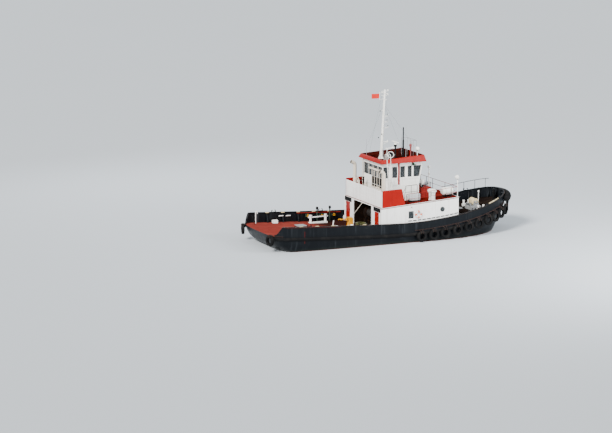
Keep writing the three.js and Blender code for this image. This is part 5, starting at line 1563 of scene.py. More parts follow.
def lifebuoy(x, z):
    """A ring buoy hung on the house's side: white with four orange bands, and a grab line. Its surface,
    the finish of each face and the line."""
    y = float(house_y(x)) + 0.075
    sides = 64
    turn = turns(16)
    around = turns(sides)
    band = np.cos(4 * around) > 0.1
    r = 0.085 * (1 + 0.04 * band)[:, None]
    big = 0.275 + r * np.cos(turn)
    points = np.stack(
        [
            x + big * np.cos(around)[:, None], y + 0.72 * r * np.sin(turn) + 0 * big,
            z + big * np.sin(around)[:, None],
        ],
        -1,
    )
    quads = grid_faces(sides, 16, True, True)
    finish = np.repeat(band & np.roll(band, -1), 16)
    spin = np.linspace(0, 2 * np.pi, 97)[:-1]
    slack = 0.375 - 0.03 * np.cos(4 * spin) ** 2
    line = np.stack([x + slack * np.cos(spin), y + 0 * spin, z + slack * np.sin(spin)], -1)
    return (points.reshape(-1, 3), quads, []), finish, tube(line, 0.008, 6, True)


def weld_line(points, size=0.01):
    """A weld bead along a line of points."""
    return tube(points, size, 6)


class TUG_OT_house(Operator):
    """Finish the house: windows, lifebuoys, seams, dark strips that are partly painted shadow, doors and
    louvres
    """
    bl_idname = "tug.house"
    bl_label = "House"

    def execute(self, context):
        settings = context.scene.tug_house
        for name in SIDE_NAME.values():
            for node, finish in (
                (f"house_side_{name}", "white_paint"), (f"screen_{name}", "trim_red"),
                (f"bay_door_{name}", "trim_red"),
            ):
                dress(node, finish)
        for node, finish in (
            ("house_front", "white_paint"), ("bay_bulkhead", "bay_paint"), ("screen_aft", "white_paint"),
        ):
            dress(node, finish)
        self.windows(settings)
        self.seams()
        self.strips()
        self.buoys()
        self.lamps()
        self.bay_doors()
        self.screens()
        return {"FINISHED"}

    def windows(self, settings):
        """A porthole and a small upright window on each side."""
        rim, glass = Shape(), Shape()
        ring, pane, bolts = porthole(4.52, 3.0, settings.porthole_radius)
        rim.both(ring).both(bolts)
        glass.both(pane)
        y = HOUSE_HALF
        window = [(0.93, y, 2.4), (1.36, y, 2.4), (1.36, y, 3.0), (0.93, y, 3.0)]
        rim.both(border(grown(window, 0.045), 0.05, 0.03, (0, 1, 0)))
        glass.both(block((0.93, y - 0.02, 2.4), (1.36, y + 0.008, 3.0)))
        piece("house_window_rims", rim, "black_paint", bevel=0.002)
        piece("house_window_glass", glass, "window_glass")

    def seams(self):
        """Welds up the sides, rounded edges at the top and foot, and a ledge."""
        trim = Shape()
        for x in (HOUSE_AFT_X + 0.02, BAY_BACK_X, HOUSE_KNUCKLE_X, FORE_BULKHEAD_X - 0.02):
            edge = float(house_y(x))
            trim.both(weld_line([(x, edge, deck_at(x)), (x, edge, top_z(x) - 0.1)], 0.014))
        x = np.linspace(HOUSE_AFT_X, HOUSE_FORE_X, 40)
        top = np.stack([x, house_y(x) + 0.004, boat_top(x) - 0.012], -1)
        trim.both(tube(top, 0.024, 10))
        foot = np.stack([x[:-1], house_y(x[:-1]) + 0.002, deck_z(x[:-1]) + 0.012], -1)
        trim.both(tube(foot, 0.02, 8))
        across = np.linspace(-1, 1, 20) * (HOUSE_HALF_FORE - 0.02)
        fore = HOUSE_FORE_X
        trim.add(tube(np.stack([0 * across + fore, across, 0 * across + top_z(fore) - 0.012], -1), 0.024, 10))
        ledge = np.linspace(0.8, 6.2, 30)
        points = np.stack([ledge, house_y(ledge), deck_z(ledge) + 0.24], -1)
        trim.both(sweep(
            points, np.array([0, 1.0, 0]), np.array([0, 0, 1.0]),
            [(-0.01, -0.012), (0.05, -0.012), (0.056, 0), (0.05, 0.012), (-0.01, 0.012)],
        ))
        piece("house_side_trim", trim, "white_paint", sharp=50)

    def strips(self):
        """The broken line of dark rubber along both sides, dark also as painted shadow for the shade under a
        rail.
        """
        dashes = Shape()
        for x0 in np.arange(0.85, 6.1, 0.5):
            run = np.linspace(x0, x0 + 0.38, 5)
            points = np.stack([run, house_y(run), rail_z(run) + 0.16], -1)
            turn = np.linspace(-np.pi / 2, np.pi / 2, 7)
            section = np.concatenate([
                [(-0.01, -0.045)], np.stack([0.05 * np.cos(turn), 0.045 * np.sin(turn)], -1),
                [(-0.01, 0.045)],
            ])
            dashes.both(sweep(points, np.array([0, 1.0, 0]), np.array([0, 0, 1.0]), section))
        piece("house_rubbing_strips", dashes, "fender_rubber")

    def buoys(self):
        """A ring buoy on each side, with its line and hooks."""
        buoys, lines = Shape(), Shape()
        surface, finish, line = lifebuoy(1.92, 2.7)
        for part in (surface, mirrored(surface)):
            start = len(buoys.finish)
            buoys.add(part)
            buoys.finish[start:] = finish.astype(int).tolist()
        lines.both(line)
        y = HOUSE_HALF
        for x, z in ((1.75, 2.51), (2.09, 2.51), (1.92, 3.04)):
            lines.both(block((x - 0.025, y - 0.01, z - 0.03), (x + 0.025, y + 0.09, z - 0.015)), 1)
            lines.both(block((x - 0.02, y + 0.012, z - 0.03), (x + 0.02, y, z + 0.05)), 1)
        piece("lifebuoys", buoys, ("clean_white", "float_orange"))
        piece("lifebuoy_lines", lines, ("lashing", "galvanised"))

    def lamps(self):
        """A round lamp near the after end of each side."""
        lamps, y = Shape(), HOUSE_HALF
        lamps.both(lathe(
            [(0, 0), (0.07, 0), (0.07, 0.05), (0.055, 0.07), (0, 0.07)], (1.2, y - 0.01, 3.44), (0, 1, 0), 20,
        ))
        lamps.both(
            lathe([(0, 0.06), (0.05, 0.065), (0.04, 0.11), (0, 0.125)], (1.2, y - 0.01, 3.44), (0, 1, 0), 20),
            1,
        )
        piece("house_side_lamps", lamps, ("grey_paint", "lamp_glass"))

    def bay_doors(self):
        """Frames, louvre blades, dogs and hinges of the doors in the after faces."""
        frames, white = Shape(), Shape()
        for side, name in SIDE_NAME.items():
            x = HOUSE_AFT_X
            door = [(x, 2.8, 1.2), (x, 3.7, 1.2), (x, 3.7, 3.05), (x, 2.8, 3.05)]
            white.on(side, border(grown(door, 0.05), 0.035, 0.03, (-1, 0, 0)))
            vent = [(x, 2.55, 3.13), (x, 3.95, 3.13), (x, 3.95, 3.44), (x, 2.55, 3.44)]
            frames.on(side, border(grown(vent, 0.05), 0.05, 0.04, (-1, 0, 0)))
            for z in np.linspace(3.15, 3.42, 7):
                slat = prism(
                    [(-0.03, z - 0.025), (-0.026, z - 0.03), (0.03, z + 0.012), (0.026, z + 0.017)], "y",
                    2.56, 3.94,
                )
                frames.on(side, scatter(slat, [(x - 0.005, 0, 0)]))
            # A black sheet just inside the louvre: painted shade for the dark space behind the blades.
            frames.on(side, block((x + 0.03, 2.5, 3.1), (x + 0.05, 3.96, 3.46)))
            door_bits = Shape()
            for z in (1.45, 2.1, 2.75):
                door_bits.on(side, bar((x - 0.06, 3.58, z), (x - 0.06, 3.42, z - 0.09), 0.014))
                door_bits.on(
                    side,
                    lathe(
                        [(0, 0), (0.03, 0), (0.025, 0.03), (0, 0.034)], (x - 0.044, 3.58, z), (-1, 0, 0), 16,
                    ),
                )
            grip = [
                (x - 0.045, 2.935, 2.06), (x - 0.1, 2.935, 2.08), (x - 0.1, 2.935, 2.22),
                (x - 0.045, 2.935, 2.24),
            ]
            door_bits.on(side, tube(rounded(grip, 0.02), 0.013))
            panel = [
                (x - 0.045, 2.9, 1.32), (x - 0.045, 3.6, 1.32), (x - 0.045, 3.6, 2.94),
                (x - 0.045, 2.9, 2.94),
            ]
            door_bits.on(side, border(panel, 0.03, 0.008, (-1, 0, 0), 0.002), 1)
            piece(
                f"bay_door_{name}_fittings", door_bits, ("galvanised", "trim_red"),
                f"bay_door_{name}",
            )
            white.on(side, block((x - 0.16, 3.86, 1.06), (x, 4.1, 1.5)))
        piece("bay_door_frames", white, "white_paint", bevel=0.006)
        piece("bay_louvres", frames, "black_paint")

    def screens(self):
        """Stiffeners, top bars and feet of the screens round the after end of the boat deck."""
        white, red = Shape(), Shape()
        x = -1.9
        half = HOUSE_HALF - 0.07
        white.add(tube([(x + 0.03, y, 5.055) for y in np.linspace(-half, half, 9)], 0.032, 12))
        low = top_z(x) + 0.006
        for y in np.linspace(-half + 0.5, half - 0.5, 8):
            white.add(prism([
                (x + 0.07, low), (x + 0.07, 5.0), (x + 0.1, 5.0), (x + 0.28, low + 0.02), (x + 0.28, low),
            ], "y", y - 0.008, y + 0.008))
        for z in (4.1, 4.62):
            white.add(block((x - 0.012, -half, z - 0.012), (x, half, z + 0.012)))
        side_top = [
            (x, HOUSE_HALF - 0.035, 5.185), (0.14, HOUSE_HALF - 0.035, 5.245),
            (0.5, HOUSE_HALF - 0.035, top_z(0.5) + 0.01),
        ]
        red.both(tube(rounded(side_top, 0.05), 0.036, 12))
        for px, top in ((-1.2, 5.18), (-0.45, 5.2)):
            foot = top_z(px) + 0.004
            red.both(prism([
                (HOUSE_HALF - 0.07, foot), (HOUSE_HALF - 0.07, top), (HOUSE_HALF - 0.1, top),
                (HOUSE_HALF - 0.3, foot + 0.02), (HOUSE_HALF - 0.3, foot),
            ], "x", px - 0.008, px + 0.008))
        piece("screen_stiffeners_aft", white, "white_paint")
        piece("screen_stiffeners_side", red, "trim_red")


# Wheelhouse

def side_openings():
    """Corners of the windows in a wheelhouse side, to port."""
    y = WH_HALF
    found = [[(a, y, SILL_Z), (b, y, SILL_Z), (b, y, HEAD_Z), (a, y, HEAD_Z)] for a, b in SIDE_WINDOWS]
    low, high = wh_front(SILL_Z) - CORNER_POST, wh_front(HEAD_Z) - CORNER_POST
    x = LEANING_WINDOW_X
    return [*found, [(x, y, SILL_Z), (low, y, SILL_Z), (high, y, HEAD_Z), (x, y, HEAD_Z)]]


def end_openings(x_at):
    """Corners of the windows across the front or the after wall, whose x is a function of height."""
    half = WH_HALF - WH_WALL - 0.06
    wide = (2 * half - FRONT_POST * (FRONT_WINDOWS - 1)) / FRONT_WINDOWS
    starts = -half + np.arange(FRONT_WINDOWS) * (wide + FRONT_POST)
    low, high = x_at(SILL_Z), x_at(HEAD_Z)
    return [
        [(low, y, SILL_Z), (low, y + wide, SILL_Z), (high, y + wide, HEAD_Z), (high, y, HEAD_Z)]
        for y in starts
    ]


def cushion(lo, hi, square=0.42, pinch=0.04, rows=28, cols=48):
    """A stuffed pad between two corners: a box-like superellipsoid, whose sides draw in between its
    corners and whose faces rise in a crown."""
    lo, hi = np.array(lo, float), np.array(hi, float)
    v = np.linspace(-np.pi / 2, np.pi / 2, rows)[:, None]
    u = np.arange(cols)[None] * 2 * np.pi / cols
    draw = 1 - pinch * np.cos(2 * u) ** 2
    x = bent(np.cos(v), square) * bent(np.cos(u), square) * draw
    y = bent(np.cos(v), square) * bent(np.sin(u), square) * draw
    z = bent(np.sin(v), 0.75) + 0 * u
    return rings((lo + hi) / 2 + np.stack([x, y, z], -1) * (hi - lo) / 2)


def after_wall_bars():
    """Where the upright bars stand on the wheelhouse's after wall, across the boat."""
    return np.array([-2.08, -1.52, -0.96, -0.4, 0.16])


class TUG_OT_wheelhouse(Operator):
    """Finish the wheelhouse: window rubbers, wipers, doors, handrails and what shows inside"""
    bl_idname = "tug.wheelhouse"
    bl_label = "Wheelhouse"

    def execute(self, context):
        for node in ("trunk", "side_port", "side_starboard", "front", "aft", "door_port", "door_starboard"):
            dress(f"wheelhouse_{node}", "clean_white")
        for node in ("glass_forward", "glass_aft"):
            dress(node, "window_glass")
        dress("helm_console", "panel_grey")
        self.outside(context.scene.tug_house.gasket)
        self.doors(context.scene.tug_house.gasket)
        self.inside()
        return {"FINISHED"}

    def after_wall(self):
        """The starboard half of the after wall: dark panels between pale bars, a beam over them and a
        gutter under the roof, with a tall pipe at the port corner."""
        x = WH_AFT_X
        dark, pale = Shape(), Shape()
        bars = after_wall_bars()
        for low, high in zip(bars[:-1], bars[1:]):
            dark.add(block((x - 0.014, low + 0.02, 5.02), (x + 0.01, high - 0.02, SILL_Z - 0.05)))
            face = [
                (x - 0.014, low + 0.06, 5.08), (x - 0.014, high - 0.06, 5.08), (x - 0.014, high - 0.06, 5.94),
                (x - 0.014, low + 0.06, 5.94),
            ]
            dark.add(border(face, 0.02, 0.01, (-1, 0, 0), 0.004))
        for y in bars:
            pale.add(block((x - 0.05, y - 0.025, 5.0), (x + 0.005, y + 0.025, 6.68)))
        pale.add(block((x - 0.16, bars[0] - 0.12, 6.67), (x + 0.005, 0.62, 6.83)))
        pale.add(block((x - 0.09, bars[0] - 0.06, 4.96), (x + 0.005, bars[-1] + 0.06, 5.03)))
        pale.add(
            block((x - 0.11, -WH_HALF + 0.03, WH_TOP_Z - 0.09), (x + 0.005, WH_HALF - 0.03, WH_TOP_Z - 0.02))
        )
        line = rounded([(x - 0.12, 2.06, 4.2), (x - 0.12, 2.06, 7.36), (x + 0.01, 2.06, 7.4)], 0.07)
        pale.add(tube(line, 0.04, 14))
        piece("after_wall_panels", dark, "black_paint")
        piece("after_wall_bars", pale, "buff_white", bevel=0.005)

    def outside(self, gasket):
        """Window rubbers, mouldings, the red boards beside the doors, handrails and wipers."""
        rubber, white, steel, boards = Shape(), Shape(), Shape(), Shape()
        lean = np.array([1, 0, -WH_LEAN / (WH_TOP_Z - WH_FLOOR_Z)])
        for corners in side_openings():
            rubber.both(border(grown(corners, 0.012), gasket, 0.014, (0, 1, 0)))
        for corners in end_openings(wh_front):
            rubber.add(border(grown(corners, 0.012), gasket, 0.014, lean))
            top = np.mean(np.asarray(corners)[2:], 0) + (0.03, 0, 0.02)
            tip = top + (-0.13, 0.22, -0.62)
            steel.add(tube([top + (-0.05, 0, 0), top, tip], 0.009, 6))
            steel.add(tube([tip + (0.045, -0.03, 0.26), tip + (-0.045, 0.03, -0.2)], 0.007, 6), 1)
        for corners in end_openings(lambda z: WH_AFT_X):
            rubber.add(border(grown(corners, 0.012), gasket, 0.014, (-1, 0, 0)))
        plan = lambda z, out: np.array([
            (WH_AFT_X - out, -WH_HALF - out, z), (wh_front(z) + out, -WH_HALF - out, z),
            (wh_front(z) + out, WH_HALF + out, z), (WH_AFT_X - out, WH_HALF + out, z),
        ])
        for z in (WH_FLOOR_Z, WH_TOP_Z - 0.03):
            white.add(tube(rounded(plan(z, 0.0), 0.03, 4, True), 0.022, 8, True))
        foot = plan(0, 0.002)
        foot[:, 2] = boat_top(foot[:, 0]) + 0.012
        white.add(tube(rounded(foot, 0.02, 3, True), 0.02, 8, True))
        self.after_wall()
        boards.both(block((0.70, WH_HALF - 0.005, 5.36), (0.86, WH_HALF + 0.05, 7.44)))
        y = WH_HALF
        for x0, x1, z in ((0.98, 2.9, 5.93), (-0.9, -0.12, 5.93)):
            line = [(x0, y, z), (x0, y + 0.07, z), (x1, y + 0.07, z), (x1, y, z)]
            steel.both(tube(rounded(line, 0.05), 0.014, 8), 2)
            for x in np.linspace(x0 + 0.3, x1 - 0.3, 3):
                steel.both(bar((x, y - 0.005, z), (x, y + 0.07, z), 0.01), 2)
        for side, finish in ((1, 3), (-1, 4)):
            steel.on(side, block((2.2, y - 0.005, 7.2), (2.26, y + 0.2, 7.44)), 1)
            steel.on(side, block((2.2, y - 0.005, 7.18), (2.62, y + 0.2, 7.2)), 1)
            steel.on(
                side,
                lathe(
                    [(0, 0), (0.05, 0), (0.055, 0.02), (0.055, 0.14), (0.04, 0.16), (0, 0.16)],
                    (2.36, y + 0.1, 7.2), sides=20,
                ),
                finish,
            )
        piece("wheelhouse_window_rubbers", rubber, "gasket")
        piece("wheelhouse_mouldings", white, "clean_white")
        piece("wheelhouse_boards", boards, "trim_red", bevel=0.008)
        finishes = ("bare_steel", "black_paint", "clean_white", "red_lens", "green_lens")
        piece("wheelhouse_steel", steel, finishes)

    def doors(self, gasket):
        """Window rubbers, panels, hinges and handles of the two doors."""
        for side, name in SIDE_NAME.items():
            y = WH_HALF + 0.0453
            shape = Shape()
            window = [(0.075, y, SILL_Z), (0.565, y, SILL_Z), (0.565, y, HEAD_Z), (0.075, y, HEAD_Z)]
            shape.on(side, border(grown(window, 0.012), gasket, 0.014, (0, 1, 0)))
            pane = block((0.06, y - 0.03, SILL_Z - 0.015), (0.58, y - 0.022, HEAD_Z + 0.015))
            shape.on(side, pane, 2)
            panel = [(0.06, y, 5.4), (0.58, y, 5.4), (0.58, y, 5.92), (0.06, y, 5.92)]
            shape.on(side, border(panel, 0.025, 0.006, (0, 1, 0), 0.002), 3)
            for z in (5.6, 6.3, 7.0):
                shape.on(side, bar((-0.035, y - 0.004, z - 0.06), (-0.035, y - 0.004, z + 0.06), 0.014), 1)
            grip = [
                (0.6, y - 0.005, 5.8), (0.6, y + 0.06, 5.82), (0.6, y + 0.06, 5.98), (0.6, y - 0.005, 6.0),
            ]
            shape.on(side, tube(rounded(grip, 0.02), 0.011, 8), 1)
            finishes = ("gasket", "bare_steel", "window_glass", "clean_white")
            piece(f"wheelhouse_door_{name}_fittings", shape, finishes, f"door_{name}")

    def inside(self):
        """The wheel, levers and screens on the console, and the steersman's chair."""
        shape = Shape()
        wide = 0.42
        for y in (-0.95, -0.42, 0.42, 0.95):
            low, high = y - wide / 2, y + wide / 2
            face = [(2.28, low, 6.12), (2.44, low, 6.26), (2.44, high, 6.26), (2.28, high, 6.12)]
            shape.add(border(grown(face, 0.02), 0.03, 0.02, (-0.66, 0, 0.75)), 1)
            shape.add(prism([(2.26, 6.10), (2.46, 6.275), (2.45, 6.285), (2.25, 6.11)], "y", low, high))
        hub, axle = np.array([1.93, 0, 6.02]), (-0.9, 0, 0.3)
        shape.add(ring_of(hub, axle, 0.2, 0.014, 40, 8), 2)
        u, v = basis(axle)[:2]
        for turn in turns(3):
            shape.add(bar(hub, hub + 0.2 * (math.cos(turn) * u + math.sin(turn) * v), 0.009), 2)
        shape.add(bar(hub, (2.06, 0, 5.97), 0.02), 1)
        for y in (-0.66, -0.58, 0.66, 0.74):
            shape.add(bar((2.1, y, 6.06), (2.05, y, 6.22), 0.008), 2)
            shape.add(ball((2.05, y, 6.23), 0.022), 1)
        piece("helm_controls", shape, ("dark_screen", "black_paint", "bare_steel"))
        z = WH_FLOOR_Z + SEAT
        base = Shape(lathe(
            [
                (0, z), (0.26, z), (0.26, z + 0.02), (0.2, z + 0.045), (0.06, z + 0.07), (0.045, z + 0.5),
                (0.15, z + 0.505), (0.15, z + 0.52), (0, z + 0.52),
            ],
            (1.2, 0, 0), sides=32,
        ))
        base.add(block((1.0, -0.2, z + 0.5), (1.4, 0.2, z + 0.52)))
        for y in (-0.245, 0.245):
            arm = [(1.02, y, z + 0.54), (1.0, y, z + 0.76), (1.3, y, z + 0.76)]
            base.add(tube(rounded(arm, 0.05), 0.014, 8))
        piece("helm_chair_frame", base, "bare_steel", replaces="helm_chair")
        seat = Shape(cushion((0.93, -0.25, z + 0.515), (1.43, 0.25, z + 0.64)))
        piece("helm_chair_seat", seat, "cushion_cloth", sharp=180)
        back = cushion((0.0, -0.235, 0.0), (0.11, 0.235, 0.66), 0.42, 0.05)
        lean = np.array([(1, 0, 0), (0, 1, 0), (-0.06, 0, 1.0)])
        piece(
            "helm_chair_back", Shape(scatter(back, [(0.905, 0, z + 0.6)], [lean])), "cushion_cloth",
            sharp=180,
        )


# Roof and mast

def roof_shell():
    """The roof: rounded rectangles joined from the soffit up the sloping fascia, over its rim and
    down into the sunk deck. Each row gives how far it is set in, and its height aft and forward."""
    rows = [
        (0.03, 7.5003, 7.5003), (0.0, 7.508, 7.508), (0.0, 7.535, 7.535), (0.163, 7.858, 8.128),
        (0.17, 7.87, 8.14),
        (0.19, 7.878, 8.148), (0.24, 7.878, 8.148), (0.258, 7.868, 8.138), (0.26, 7.85, 8.12),
        (0.26, 7.66, 7.66), (0.28, 7.64, 7.64),
    ]
    found = []
    for inset, aft, fore in rows:
        (x0, x1), half = ROOF_X, ROOF_HALF - inset
        found.append(rounded([
            (x0 + inset, -half, aft), (x1 - inset, -half, fore), (x1 - inset, half, fore),
            (x0 + inset, half, aft),
        ], 0.07, 5, True))
    points = np.stack(found)
    finish = np.repeat([0, 0, 0, 0, 0, 0, 1, 1, 1, 1], points.shape[1])
    return rings(points), [*finish.tolist(), 2, 1]


class TUG_OT_roof(Operator):
    """Build the roof with its ladder, radar, searchlight, aerials and horns"""
    bl_idname = "tug.roof"
    bl_label = "Roof"

    def execute(self, context):
        surface, finish = roof_shell()
        shape = Shape(surface)
        shape.finish = finish
        shape.add(block((2.35, 1.05, 7.6), (2.85, 1.55, 7.66)), 1)
        piece(
            "roof_shell", shape, ("trim_red", "roof_red", "clean_white"),
            replaces="wheelhouse_roof", sharp=50,
        )
        self.posts()
        self.ladder(context.scene.tug_house.rung_spacing)
        self.searchlight()
        self.radar()
        return {"FINISHED"}

    def posts(self):
        """The radar's pillar, aerials, the horns, the dome and the rail before them."""
        z = ROOF_DECK_Z
        dark = Shape(lathe(
            [
                (0, z), (0.15, z), (0.15, z + 0.03), (0.085, z + 0.05), (0.07, z + 0.08), (0.07, 8.69),
                (0.15, 8.72), (0.15, 8.9), (0, 8.9),
            ],
            (1.45, 0, 0), sides=32,
        ))
        dark.add(plate_bolts((1.45, 0, z + 0.026), (0, 0, 1), 0.12, 6, 0.014))
        for turn in np.arange(4) * np.pi / 2 + np.pi / 4:
            ahead = np.array([math.cos(turn), math.sin(turn), 0])
            fin = rings(np.array([
                [
                    np.array([1.45, 0, h]) + ahead * r + np.cross((0, 0, 1), ahead) * t
                    for r, h in ((0.06, z + 0.02), (0.14, z + 0.02), (0.06, z + 0.3))
                ]
                for t in (-0.006, 0.006)
            ]))
            dark.add(fin)
        aerial = [
            (0, z), (0.13, z), (0.13, z + 0.02), (0.085, z + 0.04), (0.085, 9.3), (0.06, 9.36), (0.06, 10.5),
            (0.04, 10.57), (0, 10.6),
        ]
        dark.add(lathe(aerial, (2.3, 0, 0), sides=24))
        for h in np.linspace(z + 0.5, 10.2, 9):
            dark.add(ring_of((2.3, 0, h), (0, 0, 1), 0.088 if h < 9.3 else 0.063, 0.008, 24, 6))
        dark.add(bar((1.85, 0, 8.15), (2.3, 0, 8.15), 0.02)).add(bar((1.85, 0, z), (1.85, 0, 8.4), 0.022))
        piece("roof_dark_posts", dark, "black_paint")
        profile = [
            (0, z), (0.13, z), (0.13, z + 0.02), (0.09, z + 0.05), (0.09, 8.55), (0.115, 8.6), (0.115, 8.82),
            (0.08, 8.89), (0, 8.9),
        ]
        red = Shape(lathe(profile, (3.1, 0, 0), sides=28))
        red.add(bar((3.1, 0, 8.7), (2.86, -0.14, 8.78), 0.03))
        piece("roof_red_post", red, "trim_red")
        white = Shape(lathe(
            [(0, z), (0.1, z), (0.1, z + 0.02), (0.04, z + 0.04), (0.04, 8.42), (0.09, 8.45), (0, 8.45)],
            (3.1, -1.5, 0), sides=20,
        ))
        white.add(lathe(
            [(0, 8.4), (0.1, 8.42), (0.2, 8.5), (0.22, 8.6), (0.19, 8.72), (0.1, 8.8), (0, 8.82)],
            (3.1, -1.5, 0), sides=32,
        ))
        white.add(lathe(
            [(0, z), (0.07, z), (0.03, z + 0.05), (0.022, 8.5), (0.012, 8.6), (0.008, 10.75), (0, 10.76)],
            (2.62, 0.06, 0), sides=12,
        ), 1)
        for x, y, top in ((-0.75, 1.9, 9.3), (-0.75, -1.9, 9.1), (3.05, 1.9, 9.6)):
            white.add(lathe(
                [(0, z), (0.05, z), (0.022, z + 0.1), (0.014, z + 0.5), (0.007, top), (0, top + 0.005)],
                (x, y, 0), sides=10,
            ), 1)
        rail = [
            (2.62, -1.0, z), (2.62, -1.0, 9.35), (3.24, -1.0, 9.35), (3.24, 1.0, 9.35), (2.62, 1.0, 9.35),
            (2.62, 1.0, z),
        ]
        white.add(tube(rounded(rail, 0.08), 0.018, 8), 1)
        for x, y in ((3.24, -1.0), (3.24, -0.3), (3.24, 0.3), (3.24, 1.0)):
            white.add(bar((x, y, z), (x, y, 9.35), 0.016), 1)
        for y in (-0.72, -0.9):
            horn = [
                (0, 0), (0.05, 0), (0.05, 0.12), (0.022, 0.16), (0.026, 0.5), (0.045, 0.66), (0.1, 0.76),
                (0.104, 0.76), (0.09, 0.745), (0.03, 0.6), (0, 0.55),
            ]
            white.add(lathe(horn, (0.05, y, 8.72), (1, 0, 0.05), 24))
        white.add(block((0.1, -0.94, 8.6), (0.2, -0.68, 8.68)))
        white.add(bar((0.15, -0.81, z), (0.15, -0.81, 8.62), 0.025))
        white.add(bar((0.0, 0, 9.24), (0.62, 0, 9.24), 0.045)).add(bar((0.0, 0, 8.9), (0.5, 0, 9.21), 0.02))
        white.add(lathe([(0, 9.2), (0.06, 9.2), (0.07, 9.25), (0.05, 9.38), (0, 9.4)], (0.6, 0, 0), sides=20))
        piece("roof_white_gear", white, ("clean_white", "grey_paint"))
        vents = Shape()
        for x, y in ((-0.5, 0.9), (0.6, 1.4)):
            vents.add(lathe(
                [
                    (0, z), (0.12, z), (0.12, z + 0.2), (0.19, z + 0.22), (0.19, z + 0.28),
                    (0.1, z + 0.34), (0, z + 0.35),
                ],
                (x, y, 0), sides=24,
            ))
        vents.add(block((0.9, -0.62, z), (1.15, -0.2, z + 0.22)))
        piece("roof_vents", vents, "roof_red", bevel=0.008)

    def ladder(self, spacing):
        """The ladder from the boat deck to the roof: stiles that bend over the roof's edge, and rungs."""
        foot = np.array([0, -3.15, top_z(-0.272) + SEAT])
        head = np.array([0, -2.56, 7.78])
        over = [foot, head, head + (0, 0.05, 0.62), head + (0, 0.42, 0.66), head + (0, 0.46, -0.13)]
        shape = Shape()
        for x in (-0.68, -0.3):
            line = rounded(np.array(over) + (x, 0, 0), 0.14, 6)
            line[0] += (0, 0, 0.005)
            shape.add(tube(line, 0.026, 10))
            shape.add(block((x - 0.05, foot[1] - 0.06, foot[2]), (x + 0.05, foot[1] + 0.06, foot[2] + 0.012)))
        run = np.linalg.norm(head - foot)
        for at in np.arange(spacing, run, spacing):
            p = foot + (head - foot) * at / run
            shape.add(bar(p + (-0.68, 0, 0), p + (-0.3, 0, 0), 0.015))
        piece("roof_ladder", shape, "clean_white")

    def searchlight(self):
        """The lamp's barrel with cooling ribs, its rim and lens, and the yoke that it turns in."""
        x, y, z = centre = np.array([0.25, -1.5, 8.24])
        aim = np.array([-0.6, -0.8, 0])
        aside = np.array([0.8, -0.6, 0])
        barrel = [
            (0, -0.13), (0.12, -0.125), (0.2, -0.1), (0.25, -0.04), (0.262, 0.0), (0.322, 0.15), (0.33, 0.2),
            (0.27, 0.2), (0.26, 0.15), (0, 0.13),
        ]
        shape = Shape(lathe(barrel, centre, aim, 48))
        for reach in (-0.02, 0.03, 0.08, 0.13):
            shape.add(ring_of(centre + aim * reach, aim, 0.262 + reach * 0.36, 0.01, 48, 8))
        shape.add(
            lathe([(0, 0.128), (0.262, 0.15), (0.262, 0.165), (0.15, 0.185), (0, 0.192)], centre, aim, 48), 1,
        )
        level = np.array([0, 0, 7.96])
        flat = np.array([x, y, 0])
        fork = [
            flat - aside * 0.35 + (0, 0, z), flat - aside * 0.35 + level, flat + aside * 0.35 + level,
            flat + aside * 0.35 + (0, 0, z),
        ]
        shape.add(tube(rounded(fork, 0.1), 0.02, 10), 2)
        for way in (-0.35, 0.35):
            shape.add(
                lathe([(0, -0.03), (0.05, -0.03), (0.05, 0.03), (0, 0.03)], centre + aside * way, aside, 20),
                2,
            )
        shape.add(bar((x, y, 7.8603), (x, y, 7.97), 0.055), 2)
        piece(
            "searchlight_lamp", shape, ("clean_white", "dark_screen", "grey_paint"),
            "searchlight", "searchlight",
        )
        post = [
            (0, 7.64), (0.12, 7.64), (0.12, 7.66), (0.06, 7.68), (0.06, 7.84), (0.08, 7.845), (0.08, 7.86),
            (0, 7.86),
        ]
        piece("searchlight_post", Shape(lathe(post, (x, y, 0), sides=28)), "grey_paint")

    def radar(self):
        """The radar's gearbox and its scanner, a flattened bar with rounded ends."""
        z = 8.9003
        hub = [
            (0, z), (0.12, z), (0.145, z + 0.02), (0.145, z + 0.13), (0.11, z + 0.175), (0.06, z + 0.185),
            (0.06, z + 0.21), (0, z + 0.21),
        ]
        shape = Shape(lathe(hub, (1.45, 0, 0), sides=36))
        at = np.linspace(-1, 1, 40)[:, None]
        end = np.clip(1 - np.abs(at) ** 14, 0.02, 1) ** 0.5
        turn = turns(24)
        x, up = 0.075 * bent(np.cos(turn), 0.6) * end, 0.07 * bent(np.sin(turn), 0.6) * end
        shape.add(rings(np.stack([1.45 + x, 0.75 * at + 0 * turn, z + 0.25 + up], -1)))
        piece("radar_bar", shape, "clean_white", "radar", "radar_scanner")


def mast_x(z):
    """X of the raked mast's middle at height z."""
    return -0.1 + 0.39 * (z - ROOF_DECK_Z) / (14.37 - ROOF_DECK_Z)


